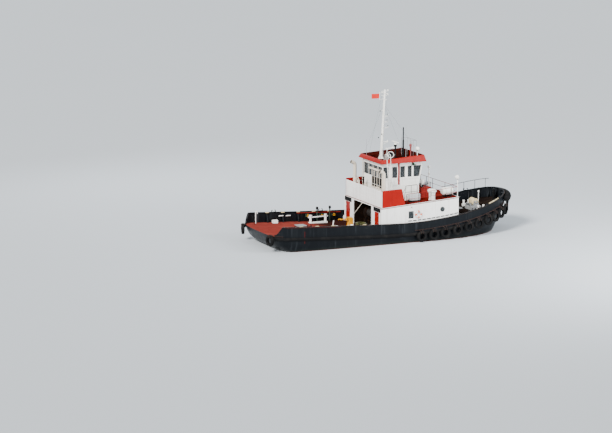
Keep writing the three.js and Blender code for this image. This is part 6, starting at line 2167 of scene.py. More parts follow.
class TUG_OT_mast(Operator):
    """Build the mast with its steps, lamps, yards, halyards and flag"""
    bl_idname = "tug.mast"
    bl_label = "Mast"

    def execute(self, context):
        shape = Shape()
        self.pole(shape, ROOF_DECK_Z + SEAT)
        self.steps(shape)
        self.yards(shape)
        self.flag_staff(shape)
        self.lamps(shape)
        self.floodlights(shape)
        piece(
            "mast_pole", shape, ("clean_white", "black_paint", "lamp_glass"), replaces="mast",
        )
        self.rigging(context.scene.tug_gear.stay_wire / 2)
        self.flag()
        return {"FINISHED"}

    def pole(self, shape, z0):
        """The tapered pole from z0 up, with a foot plate and four fins."""
        at = np.array([z0 + 0.012, 8.2, 8.25, 11.0, 11.04, 13.0, 13.03, 14.3, 14.36])
        radius = np.array([0.15, 0.146, 0.134, 0.118, 0.108, 0.098, 0.09, 0.08, 0.05])
        shape.add(tube(np.stack([mast_x(at), 0 * at, at], -1), radius, 28))
        foot = mast_x(z0)
        shape.add(block((foot - 0.22, -0.22, z0), (foot + 0.22, 0.22, z0 + 0.03)))
        for a in np.arange(4) * np.pi / 2 + np.pi / 4:
            d = np.array([math.cos(a), math.sin(a), 0])
            t = np.cross((0, 0, 1), d) * 0.007
            fin = [
                np.array([foot, 0, 0]) + d * r + (0, 0, h)
                for r, h in ((0.1, z0 + 0.02), (0.27, z0 + 0.02), (0.11, z0 + 0.42))
            ]
            shape.add(rings(np.array([np.array(fin) - t, np.array(fin) + t])))

    def steps(self, shape):
        """Bent bars to climb by, to one side and the other in turn."""
        for n, z in enumerate(np.arange(8.0, 13.9, 0.33)):
            side = 1 if n % 2 else -1
            x, r = mast_x(z), 0.13
            step = [(x, 0, z), (x, side * (r + 0.13), z), (x, side * (r + 0.13), z + 0.05)]
            shape.add(tube(rounded(step, 0.02, 3), 0.011, 6))

    def yards(self, shape):
        """The two fore and aft arms with their lamps, and the two yards with what hangs from their ends."""
        for z in (13.78, 14.18):
            x = float(mast_x(z))
            shape.add(bar((x - 0.34, 0, z), (x + 0.34, 0, z), 0.03))
            shape.add(lathe(
                [(0, 0), (0.06, 0), (0.075, 0.03), (0.075, 0.13), (0.05, 0.16), (0, 0.165)],
                (x + 0.32, 0, z), sides=20,
            ))
        for z, half, r in ((14.0, 0.65, 0.04), (13.4, 0.42, 0.032)):
            x = float(mast_x(z))
            shape.add(tube(
                [(x, y, z) for y in np.linspace(-half, half, 7)],
                r * np.array([0.7, 0.9, 1, 1, 1, 0.9, 0.7]), 12,
            ))
            for y in (-half, half):
                shape.add(ball((x, y, z), r * 1.35))
                shape.add(ball((x, y * 0.86, z - 0.05), 0.022), 1)

    def flag_staff(self, shape):
        """The upright that the flag hangs from, on two arms."""
        staff = float(FLAG_X)
        shape.add(bar((staff, 0, FLAG_Z[0] - 0.15), (staff, 0, FLAG_Z[1] + 0.11), 0.02))
        shape.add(ball((staff, 0, FLAG_Z[1] + 0.12), 0.034))
        for z in (FLAG_Z[0] - 0.1, FLAG_Z[1] + 0.06):
            shape.add(bar((mast_x(z), 0, z), (staff, 0, z), 0.016))

    def lamps(self, shape):
        """The three caged lamps on brackets before the mast."""
        for z, out in ((10.65, 0.52), (11.2, 0.42), (11.75, 0.42)):
            x = float(mast_x(z)) + out
            shape.add(bar((mast_x(z), 0, z), (x, 0, z), 0.026))
            shape.add(bar((mast_x(z - 0.3), 0, z - 0.3), (x - 0.1, 0, z - 0.02), 0.014))
            shape.add(block((x - 0.075, -0.075, z - 0.03), (x + 0.075, 0.075, z + 0.01)))
            shape.add(lathe([(0, z), (0.07, z), (0.07, z + 0.04), (0, z + 0.04)], (x, 0, 0), sides=20), 1)
            shape.add(lathe(
                [(0, z + 0.035), (0.062, z + 0.04), (0.066, z + 0.1), (0.062, z + 0.155), (0, z + 0.16)],
                (x, 0, 0), sides=20,
            ), 2)
            shape.add(lathe(
                [(0, z + 0.15), (0.07, z + 0.155), (0.07, z + 0.175), (0.03, z + 0.2), (0, z + 0.208)],
                (x, 0, 0), sides=20,
            ), 1)
            cage = z + 0.045 + np.array([0.0, 0.11])
            for a in np.arange(6) * np.pi / 3:
                shape.add(bar(
                    (x + 0.069 * math.cos(a), 0.069 * math.sin(a), cage[0]),
                    (x + 0.069 * math.cos(a), 0.069 * math.sin(a), cage[1]), 0.004, sides=6,
                ), 1)

    def floodlights(self, shape):
        """Small floodlights on bars that stand out from the mast, turned down."""
        for z, turn in ((9.7, 2.4), (10.1, -2.2), (12.3, 2.8)):
            x = float(mast_x(z))
            d = np.array([math.cos(turn), math.sin(turn), 0])
            end = np.array([x, 0, z]) + d * 0.3
            shape.add(bar((x, 0, z), end, 0.012))
            shape.add(lathe(
                [(0, 0), (0.04, 0), (0.055, 0.07), (0.05, 0.1), (0, 0.105)], end, d * 0.7 - (0, 0, 0.6), 16,
            ), 1)

    def rigging(self, wire):
        """Halyards to the upper yard, and stays of a wire of this radius to the roof's corners."""
        wires = Shape()
        for y in (-0.56, 0.56):
            wires.add(bar((mast_x(14.0), y, 13.93), (-0.8, y * 2.4, 7.66), 0.005, sides=6))
        for x, y in ((-0.98, 2.2), (-0.98, -2.2), (3.4, 2.2), (3.4, -2.2)):
            wires.add(bar((mast_x(12.9), 0, 12.9), (x, y, 7.66), wire, sides=6))
            wires.add(ball((x, y, 7.66), 0.03))
        piece("mast_rigging", wires, "wire")

    def flag(self):
        """The flag: a sheet that waves along its fly. Its middle line swings as a sine that grows from hoist
        to fly."""
        share = np.linspace(0, 1, 46)
        high = np.linspace(0, 1, 16)[:, None]
        x = FLAG_X - 0.0203 - 0.82 * share + 0 * high
        y = 0.045 * share * np.sin(3 * np.pi * share + 0.5 * (1 - high) * share)
        z = FLAG_Z[0] + 0.46 * high - 0.018 * share ** 2 * (1 - high)
        middle = np.stack([x, y, np.clip(z, FLAG_Z[0], FLAG_Z[1])], -1)
        shift = np.array([0, 0.0015, 0])
        front, back = middle + shift, middle - shift
        ring = np.concatenate([front, back[:, ::-1]], 1)
        surface = rings(ring)
        shape = Shape((surface[0], surface[1], []))
        cols = 46
        for row in (0, 15):
            start = row * 2 * cols
            low = start + np.arange(cols)
            up = start + 2 * cols - 1 - np.arange(cols)
            shape.faces += np.stack([low[:-1], low[1:], up[1:], up[:-1]], -1).tolist()
            shape.finish += [0] * (cols - 1)
        cloth = piece("flag_sheet", shape, "flag_cloth", replaces="flag", sharp=80)


# Boat deck

class TUG_OT_boat_deck(Operator):
    """Build the boat deck with its lockers, ventilators, rails, exhausts, liferaft and dinghy"""
    bl_idname = "tug.boat_deck"
    bl_label = "Boat deck"

    def execute(self, context):
        self.deck()
        self.ventilators()
        self.chest()
        self.rails(context.scene.tug_house.rail_radius)
        self.after_gear()
        for side in BOTH_SIDES:
            self.exhaust(side)
        self.raft()
        self.dinghy()
        return {"FINISHED"}

    def deck(self):
        """The deck's plate with its pad and caps, and the locker with its doors."""
        x0, x1, thick = HOUSE_AFT_X, HOUSE_FORE_X, 0.1
        half = [(x0, HOUSE_HALF), (HOUSE_KNUCKLE_X, HOUSE_HALF), (x1, HOUSE_HALF_FORE)]
        plan = np.array(half + [(x, -y) for x, y in reversed(half)])
        at = lambda lift, inset: np.column_stack([
            np.clip(plan[:, 0], x0 + inset, x1 - inset), np.sign(plan[:, 1]) * (np.abs(plan[:, 1]) - inset),
            boat_top(plan[:, 0]) + lift,
        ])
        edge = rings(np.stack([at(-thick, 0.01), at(-thick + 0.01, 0), at(-0.01, 0), at(0, 0.01)]))
        shape = Shape(edge)
        shape.finish = np.where(
            np.concatenate(shape.points)[edge[1]][:, :, 0].max(1) < x0 + 0.05, 2, 0,
        ).tolist() + [0, 0]
        shape.add(block((4.4, 2.3, top_z(4.4) - 0.02), (5.0, 2.9, top_z(5.0) + 0.02)))
        for x, y in ((1.0, 3.3), (3.0, 3.3), (5.4, -0.4)):
            shape.add(lathe(
                [(0, -0.02), (0.09, -0.02), (0.09, 0.008), (0.075, 0.014), (0, 0.014)], (x, y, top_z(x)),
                sides=24,
            ))
        (a, b), (c, d), top = (3.38, 4.48), (-1.75, -0.05), 4.8
        shape.add(block((a + 0.02, c + 0.02, top_z(a) - 0.02), (b - 0.02, d - 0.02, top - 0.06)), 1)
        shape.add(block((a, c, top - 0.065), (b, d, top)), 1)
        shape.add(block((a, c, top_z(a) - 0.02), (b, d, top_z(b) + 0.07)), 1)
        for y in (-1.32, -0.48):
            face = [
                (b - 0.02, y - 0.3, 4.18), (b - 0.02, y + 0.3, 4.18), (b - 0.02, y + 0.3, 4.66),
                (b - 0.02, y - 0.3, 4.66),
            ]
            shape.add(border(face, 0.03, 0.012, (1, 0, 0)), 1)
        face = [
            (a + 0.12, c + 0.02, 4.16), (b - 0.12, c + 0.02, 4.16), (b - 0.12, c + 0.02, 4.66),
            (a + 0.12, c + 0.02, 4.66),
        ]
        shape.add(border(face, 0.035, 0.014, (0, -1, 0)), 1)
        for x in np.linspace(a + 0.25, b - 0.25, 3):
            shape.add(bar((x, c - 0.01, 4.715), (x, c - 0.01, 4.76), 0.02), 1)
        piece(
            "boat_deck_plating", shape, ("boat_deck_red", "faded_red", "white_paint"),
            replaces="boat_deck", bevel=0.004,
        )

    def ventilators(self):
        """The mushroom ventilator, a white dome on the locker, the lamp post, and dark gear by the dome."""
        white = Shape(lathe([
            (0, 3.72), (0.34, 3.72), (0.34, top_z(3.7) + 0.03), (0.3, top_z(3.7) + 0.04), (0.3, 4.7),
            (0.4, 4.66), (0.43, 4.665), (0.43, 4.835), (0.42, 4.85), (0.36, 4.9), (0.3, 4.945), (0.2, 4.96),
            (0, 4.965),
        ], (3.7, -3.5, 0), sides=48))
        for turn in turns(3):
            c0, s0 = math.cos(turn), math.sin(turn)
            white.add(
                bar((3.7 + 0.3 * c0, -3.5 + 0.3 * s0, 4.35), (3.7 + 0.41 * c0, -3.5 + 0.41 * s0, 4.7), 0.012)
            )
        white.add(ring_of((3.7, -3.5, 4.2), (0, 0, 1), 0.302, 0.01, 48, 8))
        white.add(lathe(
            [
                (0, 4.9), (0.11, 4.9), (0.15, 5.2), (0.225, 5.235), (0.23, 5.25), (0.23, 5.42),
                (0.2, 5.5), (0.13, 5.57), (0, 5.58),
            ],
            (3.63, -1.5, 0), sides=36,
        ))
        pole = [
            (0, 3.9), (0.09, 3.9), (0.09, top_z(4.62) + 0.02), (0.045, top_z(4.62) + 0.04), (0.045, 5.9),
            (0.1, 5.95), (0.11, 6.08), (0.045, 6.14), (0.045, 6.52), (0.07, 6.54), (0.15, 6.6), (0.165, 6.68),
            (0.12, 6.77), (0, 6.8),
        ]
        white.add(lathe(pole, (4.62, -1.0, 0), sides=28))
        piece("boat_deck_ventilators", white, "clean_white", sharp=45)
        dark = Shape(lathe(
            [(0, 4.79), (0.15, 4.79), (0.15, 4.82), (0.11, 4.83), (0.11, 4.93), (0, 4.93)],
            (3.63, -1.5, 0), sides=28,
        ))
        for y, z in ((-1.16, 5.0), (-1.86, 4.95)):
            dark.add(lathe(
                [(0, 4.6), (0.07, 4.6), (0.05, z), (0.1, z + 0.04), (0.1, z + 0.12), (0, z + 0.16)],
                (3.6, max(y, -1.68), 0), sides=24,
            ))
        piece("boat_deck_dark_gear", dark, "black_paint")

    def chest(self):
        """The moulded chest by the rail, a rounded box with a lid."""
        (a, b), (c, d) = (1.38, 2.56), (-3.38, -2.88)
        chest = Shape()
        chest.add(block((a + 0.03, c + 0.03, top_z(a) - 0.02), (b - 0.03, d - 0.03, top_z(b) + 0.11)), 1)
        u = np.linspace(0, 2 * np.pi, 49)[:-1]
        loop = lambda r, z: np.column_stack([
            (a + b) / 2 + (b - a) / 2 * r * bent(np.cos(u), 0.45),
            (c + d) / 2 + (d - c) / 2 * r * bent(np.sin(u), 0.45), 0 * u + z,
        ])
        rows = [
            (0.93, top_z(b) + 0.1), (0.99, top_z(b) + 0.15), (1.0, 4.28), (0.985, 4.3), (0.985, 4.31),
            (1.0, 4.33), (0.99, 4.48), (0.93, 4.545), (0.8, 4.56),
        ]
        chest.add(rings(np.stack([loop(r, z) for r, z in rows])))
        piece("deck_chest", chest, ("dinghy_shell", "black_paint"), bevel=0.004)

    def rails(self, radius):
        """The rail, the lamp's pole at its starboard fore corner, and the companion's rail."""
        port = np.array([
            (0.7, 4.06), (2.0, 4.06), (3.3, 4.06), (4.5, 4.04), (5.5, 4.01), (6.22, 3.96), (6.22, 2.64),
            (6.22, 1.32),
        ])
        feet = np.concatenate([port, [(6.22, 0)], (port * (1, -1))[::-1]])
        height = boat_top(feet[:, 0])
        shape = Shape()
        for share, r in ((0.5, radius * 0.8), (1.0, radius)):
            line = np.column_stack([feet, height + share])
            shape.add(tube(rounded(line, 0.12, 5), r, 12))
        for (x, y), z in zip(feet, height):
            if y == 0:
                continue
            low = top_z(x + 0.028) + SEAT
            shape.add(lathe(
                [
                    (0, low), (0.055, low), (0.055, low + 0.008), (0.026, low + 0.012), (0.026, z + 1.0),
                    (0, z + 1.0),
                ],
                (x, y, 0), sides=16,
            ), 1)
        low = top_z(6.26) + SEAT
        pole = [
            (0, low), (0.07, low), (0.07, low + 0.012), (0.04, low + 0.02), (0.04, 5.45), (0.065, 5.5),
            (0.065, 5.62), (0.04, 5.66), (0.036, 5.83), (0, 5.83),
        ]
        shape.add(lathe(pole, (6.22, -3.96, 0), sides=24), 2)
        shape.add(lathe(
            [(0, -0.18), (0.11, -0.17), (0.19, -0.07), (0.22, 0.06), (0.18, 0.17), (0, 0.21)],
            (6.16, -3.98, 5.97), (-0.5, -0.1, 0.9), 28,
        ), 2)
        piece(
            "boat_deck_rails", shape, ("faded_red", "black_paint", "clean_white"),
            replaces="boat_deck_rail", sharp=45,
        )
        extra = Shape()
        hoop = [
            (1.15, -2.62, top_z(1.15)), (1.3, -2.62, 5.25), (2.55, -2.62, 5.3), (2.55, -2.62, top_z(2.55)),
        ]
        extra.add(tube(rounded(hoop, 0.1), 0.022, 10)).add(bar((1.35, -2.62, 5.2), (0.95, -2.62, 4.45), 0.02))
        extra.add(bar((1.24, -2.62, 4.62), (2.55, -2.62, 4.66), 0.018))
        extra.add(bar((1.9, -2.62, top_z(1.9)), (1.9, -2.62, 5.27), 0.02))
        piece("companion_rail", extra, "black_paint")

    def after_gear(self):
        """Gear on the after boat deck: a dark derrick post, swan-neck vents and a locker."""
        dark, pale = Shape(), Shape()
        low = top_z(-1.5)
        dark.add(lathe(
            [
                (0, low), (0.16, low), (0.16, low + 0.02), (0.09, low + 0.04), (0.08, 5.72), (0.11, 5.74),
                (0.11, 5.8), (0, 5.82),
            ],
            (-1.5, 0.95, 0), sides=24,
        ))
        dark.add(bar((-1.5, 0.95, 5.6), (-1.42, 2.1, 5.15), 0.035))
        dark.add(bar((-1.5, 0.95, 5.1), (-1.45, 1.7, 5.3), 0.022))
        dark.add(ring_of((-1.4, 2.12, 5.12), (1, 0, 0), 0.07, 0.02, 24, 8))
        for x, y, top in ((-1.45, 2.0, 5.32), (-1.3, 2.55, 5.45), (-1.55, 0.2, 5.26), (-1.5, -2.4, 5.3)):
            z = top_z(x)
            neck = rounded(
                [(x, y, z), (x, y, top), (x - 0.2, y + 0.05, top), (x - 0.2, y + 0.05, top - 0.2)], 0.09, 7,
            )
            pale.add(tube(neck, 0.05, 18))
            pale.add(lathe([(0, z), (0.09, z), (0.09, z + 0.015), (0, z + 0.015)], (x, y, 0), sides=20))
        pale.add(block((-1.75, -1.5, top_z(-1.75)), (-1.2, -0.5, top_z(-1.2) + 0.75)))
        piece("after_boat_deck_dark", dark, "black_paint")
        piece("after_boat_deck_pale", pale, "buff_white", bevel=0.006)

    def exhaust(self, side):
        """An exhaust pipe: lagged foot, bands, a bend aft and an open mouth."""
        x, y, r = -1.35, 3.25, 0.17
        low = top_z(x + r + 0.07) + SEAT
        shape = Shape()
        shape.on(
            side,
            lathe(
                [
                    (0, low), (0.3, low), (0.3, low + 0.015), (0.24, low + 0.02), (0.24, low + 0.46),
                    (0.21, low + 0.5), (0, low + 0.5),
                ],
                (x, y, 0), sides=40,
            ),
        )
        bend = rounded([(x, y, low), (x, y, 6.8), (x - 0.42, y, 6.97)], 0.22, 9)
        shape.on(side, tube(bend[:-1], r, 36))
        end, way = np.array([x - 0.42, y, 6.97]), unit(np.array([-0.42, 0, 0.17]))
        start = bend[-2]
        reach = float(np.linalg.norm(end - start))
        mouth = [
            (r - 0.014, 0), (r, 0), (r, reach - 0.05), (r + 0.012, reach - 0.045), (r + 0.012, reach),
            (r - 0.02, reach), (r - 0.03, reach * 0.25),
        ]
        shape.on(side, lathe(mouth, start, way, 36, True))
        shape.on(
            side,
            lathe(
                [(0, -0.02), (r - 0.012, -0.02), (r - 0.012, 0.02), (0, 0.02)], start + way * 0.02, way, 36,
            ),
            1,
        )
        liner = [(r - 0.031, 0.03), (r - 0.024, 0.03), (r - 0.014, reach + 0.002), (r - 0.021, reach + 0.002)]
        shape.on(side, lathe(liner, start, way, 36, True), 1)
        for z in (low + 0.75, 5.6, 6.35):
            shape.on(
                side,
                lathe(
                    [(r - 0.01, -0.02), (r + 0.012, -0.02), (r + 0.012, 0.02), (r - 0.01, 0.02)], (x, y, z),
                    sides=36, closed=True,
                ),
            )
        shape.on(side, bar((x + r, y, 5.6), (WH_AFT_X, y - 1.12, 5.6), 0.018))
        name = SIDE_NAME[side]
        piece(
            f"exhaust_pipe_{name}", shape, ("buff_white", "black_paint"),
            replaces=f"exhaust_{name}", sharp=45,
        )

    def raft(self):
        """The liferaft's canister with its ribs, seam and straps, in its cradle."""
        x, y, half, r = 5.52, -3.15, 0.58, 0.39
        z = top_z(x) + r + 0.16
        at = np.linspace(-half, half, 61)
        edge = np.clip((half - np.abs(at)) / 0.12, 0, 1)
        ribs = 0.006 * np.cos(at * 2 * np.pi / 0.09) * (edge == 1)
        radius = r * (0.7 + 0.3 * np.sin(edge * np.pi / 2)) - 0.006 + ribs
        profile = [(0, -half), *zip(radius, at), (0, half)]
        shape = Shape(lathe(profile, (x, y, z), (1, 0, 0), 48))
        shape.add(tube([(x - half + 0.08, y + r, z), (x + half - 0.08, y + r, z)], 0.016, 8))
        shape.add(bar((x - half + 0.08, y - r, z), (x + half - 0.08, y - r, z), 0.016))
        for dx in (-0.3, 0.3):
            shape.add(lathe(
                [(r - 0.01, -0.022), (r + 0.006, -0.022), (r + 0.006, 0.022), (r - 0.01, 0.022)],
                (x + dx, y, z), (1, 0, 0), 48, True,
            ), 1)
            low = top_z(x + dx + 0.04) + SEAT
            arc = np.linspace(-2.35, -0.79, 12)
            bed = [(y + (r + 0.004) * math.cos(t), z + (r + 0.004) * math.sin(t)) for t in arc]
            outline = [
                (y - 0.31, low), (y + 0.31, low), (y + 0.31, bed[-1][1]), *bed[::-1], (y - 0.31, bed[0][1]),
            ]
            shape.add(prism(outline, "x", x + dx - 0.04, x + dx + 0.04), 2)
        shape.add(block((x - 0.36, y - 0.31, top_z(x) + 0.06), (x + 0.36, y - 0.27, top_z(x) + 0.1)), 2)
        shape.add(block((x - 0.36, y + 0.27, top_z(x) + 0.06), (x + 0.36, y + 0.31, top_z(x) + 0.1)), 2)
        shape.add(lathe(
            [(0, 0), (0.05, 0), (0.05, 0.09), (0, 0.09)], (x + 0.66, y - 0.1, top_z(x) + 0.3), (0, 0, 1), 16,
        ), 2)
        shape.add(bar((x + 0.66, y - 0.1, top_z(x + 0.66)), (x + 0.66, y - 0.1, top_z(x) + 0.31), 0.014), 2)
        piece(
            "liferaft_canister", shape, ("raft_shell", "lashing", "black_paint"),
            replaces="liferaft", sharp=40,
        )

    def dinghy(self):
        """The small boat in its chocks: a shell lofted through sections, with a gunwale, thwarts and oars."""
        x, y, half, beam, high = 4.55, 0.9, 1.25, 0.62, 0.48
        z0 = top_z(x) + 0.26
        stations, widths = (-1, -0.5, 0, 0.45, 0.8, 0.98), (0.8, 0.95, 1, 0.85, 0.5, 0.1)
        at = np.linspace(-1, 0.98, 34)
        width = np.interp(at, stations, widths) * beam
        width = np.convolve(np.pad(width, 2, "edge"), np.ones(5) / 5, "valid")
        rise = np.clip((at - 0.45) / 0.5, 0, 1) * 0.12

        def shell(scale, floor):
            """One face of the shell: its breadth times scale, its bottom so far over the keel."""
            v = np.linspace(-1, 1, 25)
            side = bent(v, 0.75)
            up = floor + (high + rise[:, None] - floor) * np.abs(v) ** 2.2
            px = x + at[:, None] * half * (0.965 if scale < 1 else 1) + 0 * v
            return np.stack([px, y + side * width[:, None] * scale, z0 + up], -1)

        outer, inner = shell(1, 0), shell(0.93, 0.05)
        ring = np.concatenate([outer, inner[:, ::-1]], 1)
        shape = Shape(rings(ring))
        for way in (0, -1):
            shape.add(tube(outer[:, way], 0.022, 8), 1)
        for px in (-0.55, 0.25):
            w = float(np.interp(px / half, at, width)) * 0.9
            shape.add(block((x + px - 0.1, y - w, z0 + 0.3), (x + px + 0.1, y + w, z0 + 0.325)), 2)
        for dy in (-0.2, -0.12):
            shape.add(bar((x - 0.95, y + dy, z0 + 0.345), (x + 0.7, y + dy * 0.8, z0 + 0.345), 0.018), 2)
            shape.add(block((x - 1.1, y + dy - 0.035, z0 + 0.335), (x - 0.75, y + dy + 0.035, z0 + 0.355)), 2)
        for dx in (-0.7, 0.6):
            low = top_z(x + dx + 0.05) + SEAT
            w = float(np.interp(dx / half, at, width))
            v = np.linspace(-0.62, 0.62, 13)
            hull_line = np.column_stack([y + bent(v, 0.75) * w, z0 + high * np.abs(v) ** 2.2 + 0.004])
            outline = np.concatenate([[(y - 0.4, low), (y + 0.4, low)], hull_line[::-1]])
            outline[2:, 0] = np.clip(outline[2:, 0], y - 0.4, y + 0.4)
            shape.add(prism(outline, "x", x + dx - 0.05, x + dx + 0.05), 3)
        piece(
            "dinghy_hull", shape, ("dinghy_shell", "black_paint", "wood", "grey_paint"),
            replaces="dinghy", sharp=45,
        )


# Deck machinery

def holed_plate(outline, centre, radius, axis, low, high):
    """A plate with a round hole: rays from the hole's middle to the outline, its corners among them,
    joined across both faces, the rim and the hole."""
    outline, centre = np.asarray(outline, float), np.asarray(centre, float)
    corners = outline - centre
    rays = np.unique(np.round(
        np.concatenate([np.arctan2(corners[:, 1], corners[:, 0]), np.linspace(-np.pi, np.pi, 41)[:-1]]),
        6,
    ))
    ahead = np.stack([np.cos(rays), np.sin(rays)], -1)
    start, step = corners[None], (np.roll(corners, -1, 0) - corners)[None]
    cross = lambda a, b: a[..., 0] * b[..., 1] - a[..., 1] * b[..., 0]
    with np.errstate(divide="ignore", invalid="ignore"):
        reach = cross(start, step) / cross(ahead[:, None], step)
        share = cross(start, ahead[:, None]) / cross(ahead[:, None], step)
    good = (reach > 1e-9) & (share > -1e-6) & (share < 1 + 1e-6)
    reach = np.where(good, reach, np.inf).min(1)
    rim = centre + ahead * reach[:, None]
    hole = centre + ahead * radius
    order = {"x": (2, 0, 1), "y": (0, 2, 1), "z": (0, 1, 2)}[axis]
    lines = [
        np.insert(line, 2, end, axis=1)[:, order]
        for line, end in ((rim, low), (hole, low), (hole, high), (rim, high))
    ]
    return rings(np.stack(lines), True)


def wound(radius, wire, low, high, per=6):
    """The profile of a wire wound side by side on a drum: half circles standing on the drum's radius."""
    count = int((high - low) / wire)
    turn = np.linspace(0.12, np.pi - 0.12, per)
    start = low + (high - low - count * wire) / 2 + np.arange(count)[:, None] * wire
    at = start + wire / 2 - np.cos(turn) * wire / 2
    r = radius + wire * 0.5 * (np.sin(turn) + 0 * start) + wire * 0.3
    body = np.stack([r.ravel(), at.ravel()], -1)
    return [(0, low), (radius, low), *map(tuple, body), (radius, high), (0, high)]


def deck_line(x0, x1):
    """The deck from x0 to x1 as (x, z), with its bends: what a bed stands on."""
    bends = STATIONS[(STATIONS > x0) & (STATIONS < x1)]
    line = np.concatenate([[x0], bends, [x1]])
    return np.column_stack([line, deck_z(line) + SEAT])


def drum_frame(x, z, half, flange, shaft, plate, aft, fore):
    """A winch's bed and its two cheeks, with bearings and stiffeners."""
    z0 = max(deck_at(x - aft), deck_at(x + fore)) + 0.025
    shape = Shape()
    low = deck_line(x - aft, x + fore)
    reach = half + plate + 0.2
    bed = np.concatenate([low, [(x + fore, z0 + 0.11), (x - aft, z0 + 0.11)]])
    shape.add(prism(bed, "y", -reach, reach))
    foot, head, top = flange * 0.9, shaft * 3, z + shaft * 2.4
    sides = [(x - foot, z0 + 0.05), (x + foot, z0 + 0.05), (x + head, top), (x - head, top)]
    shape.both(holed_plate(sides, (x, z), shaft + 0.002, "y", half + 0.025, half + 0.025 + plate))
    outer = half + 0.025 + plate
    for way in (-1, 1):
        edge = [(x + way * foot, z0 + 0.05), (x + way * head, top)]
        rib = prism(
            [
                (edge[0][0], edge[0][1]), (edge[1][0], edge[1][1]), (edge[1][0] - way * 0.03, edge[1][1]),
                (edge[0][0] - way * 0.03, edge[0][1]),
            ],
            "y", outer - 0.005, outer + plate * 0.7,
        )
        shape.both(rib)
    shape.both(
        lathe(
            [
                (shaft + 0.002, 0), (shaft * 2, 0), (shaft * 2, plate * 0.6), (shaft * 1.7, plate * 0.75),
                (shaft + 0.002, plate * 0.75),
            ],
            (x, outer - 0.002, z), (0, 1, 0), 32, True,
        ),
        1,
    )
    shape.both(plate_bolts((x, outer + plate * 0.6, z), (0, 1, 0), shaft * 1.72, 8, shaft * 0.12), 1)
    return shape, z0, outer


def drum_profile(half, flange, core, shaft, lip, stub):
    """Half the section of a drum along its shaft: stub ends, two flanges with a rounded lip, the core."""
    return [
        (0, -half - stub), (shaft, -half - stub), (shaft, -half), (flange - lip, -half),
        (flange, -half + 0.015), (flange, -half + 0.035), (flange - lip, -half + 0.05), (core, -half + 0.05),
        (core, half - 0.05), (flange - lip, half - 0.05), (flange, half - 0.035), (flange, half - 0.015),
        (flange - lip, half), (shaft, half), (shaft, half + stub), (0, half + stub),
    ]


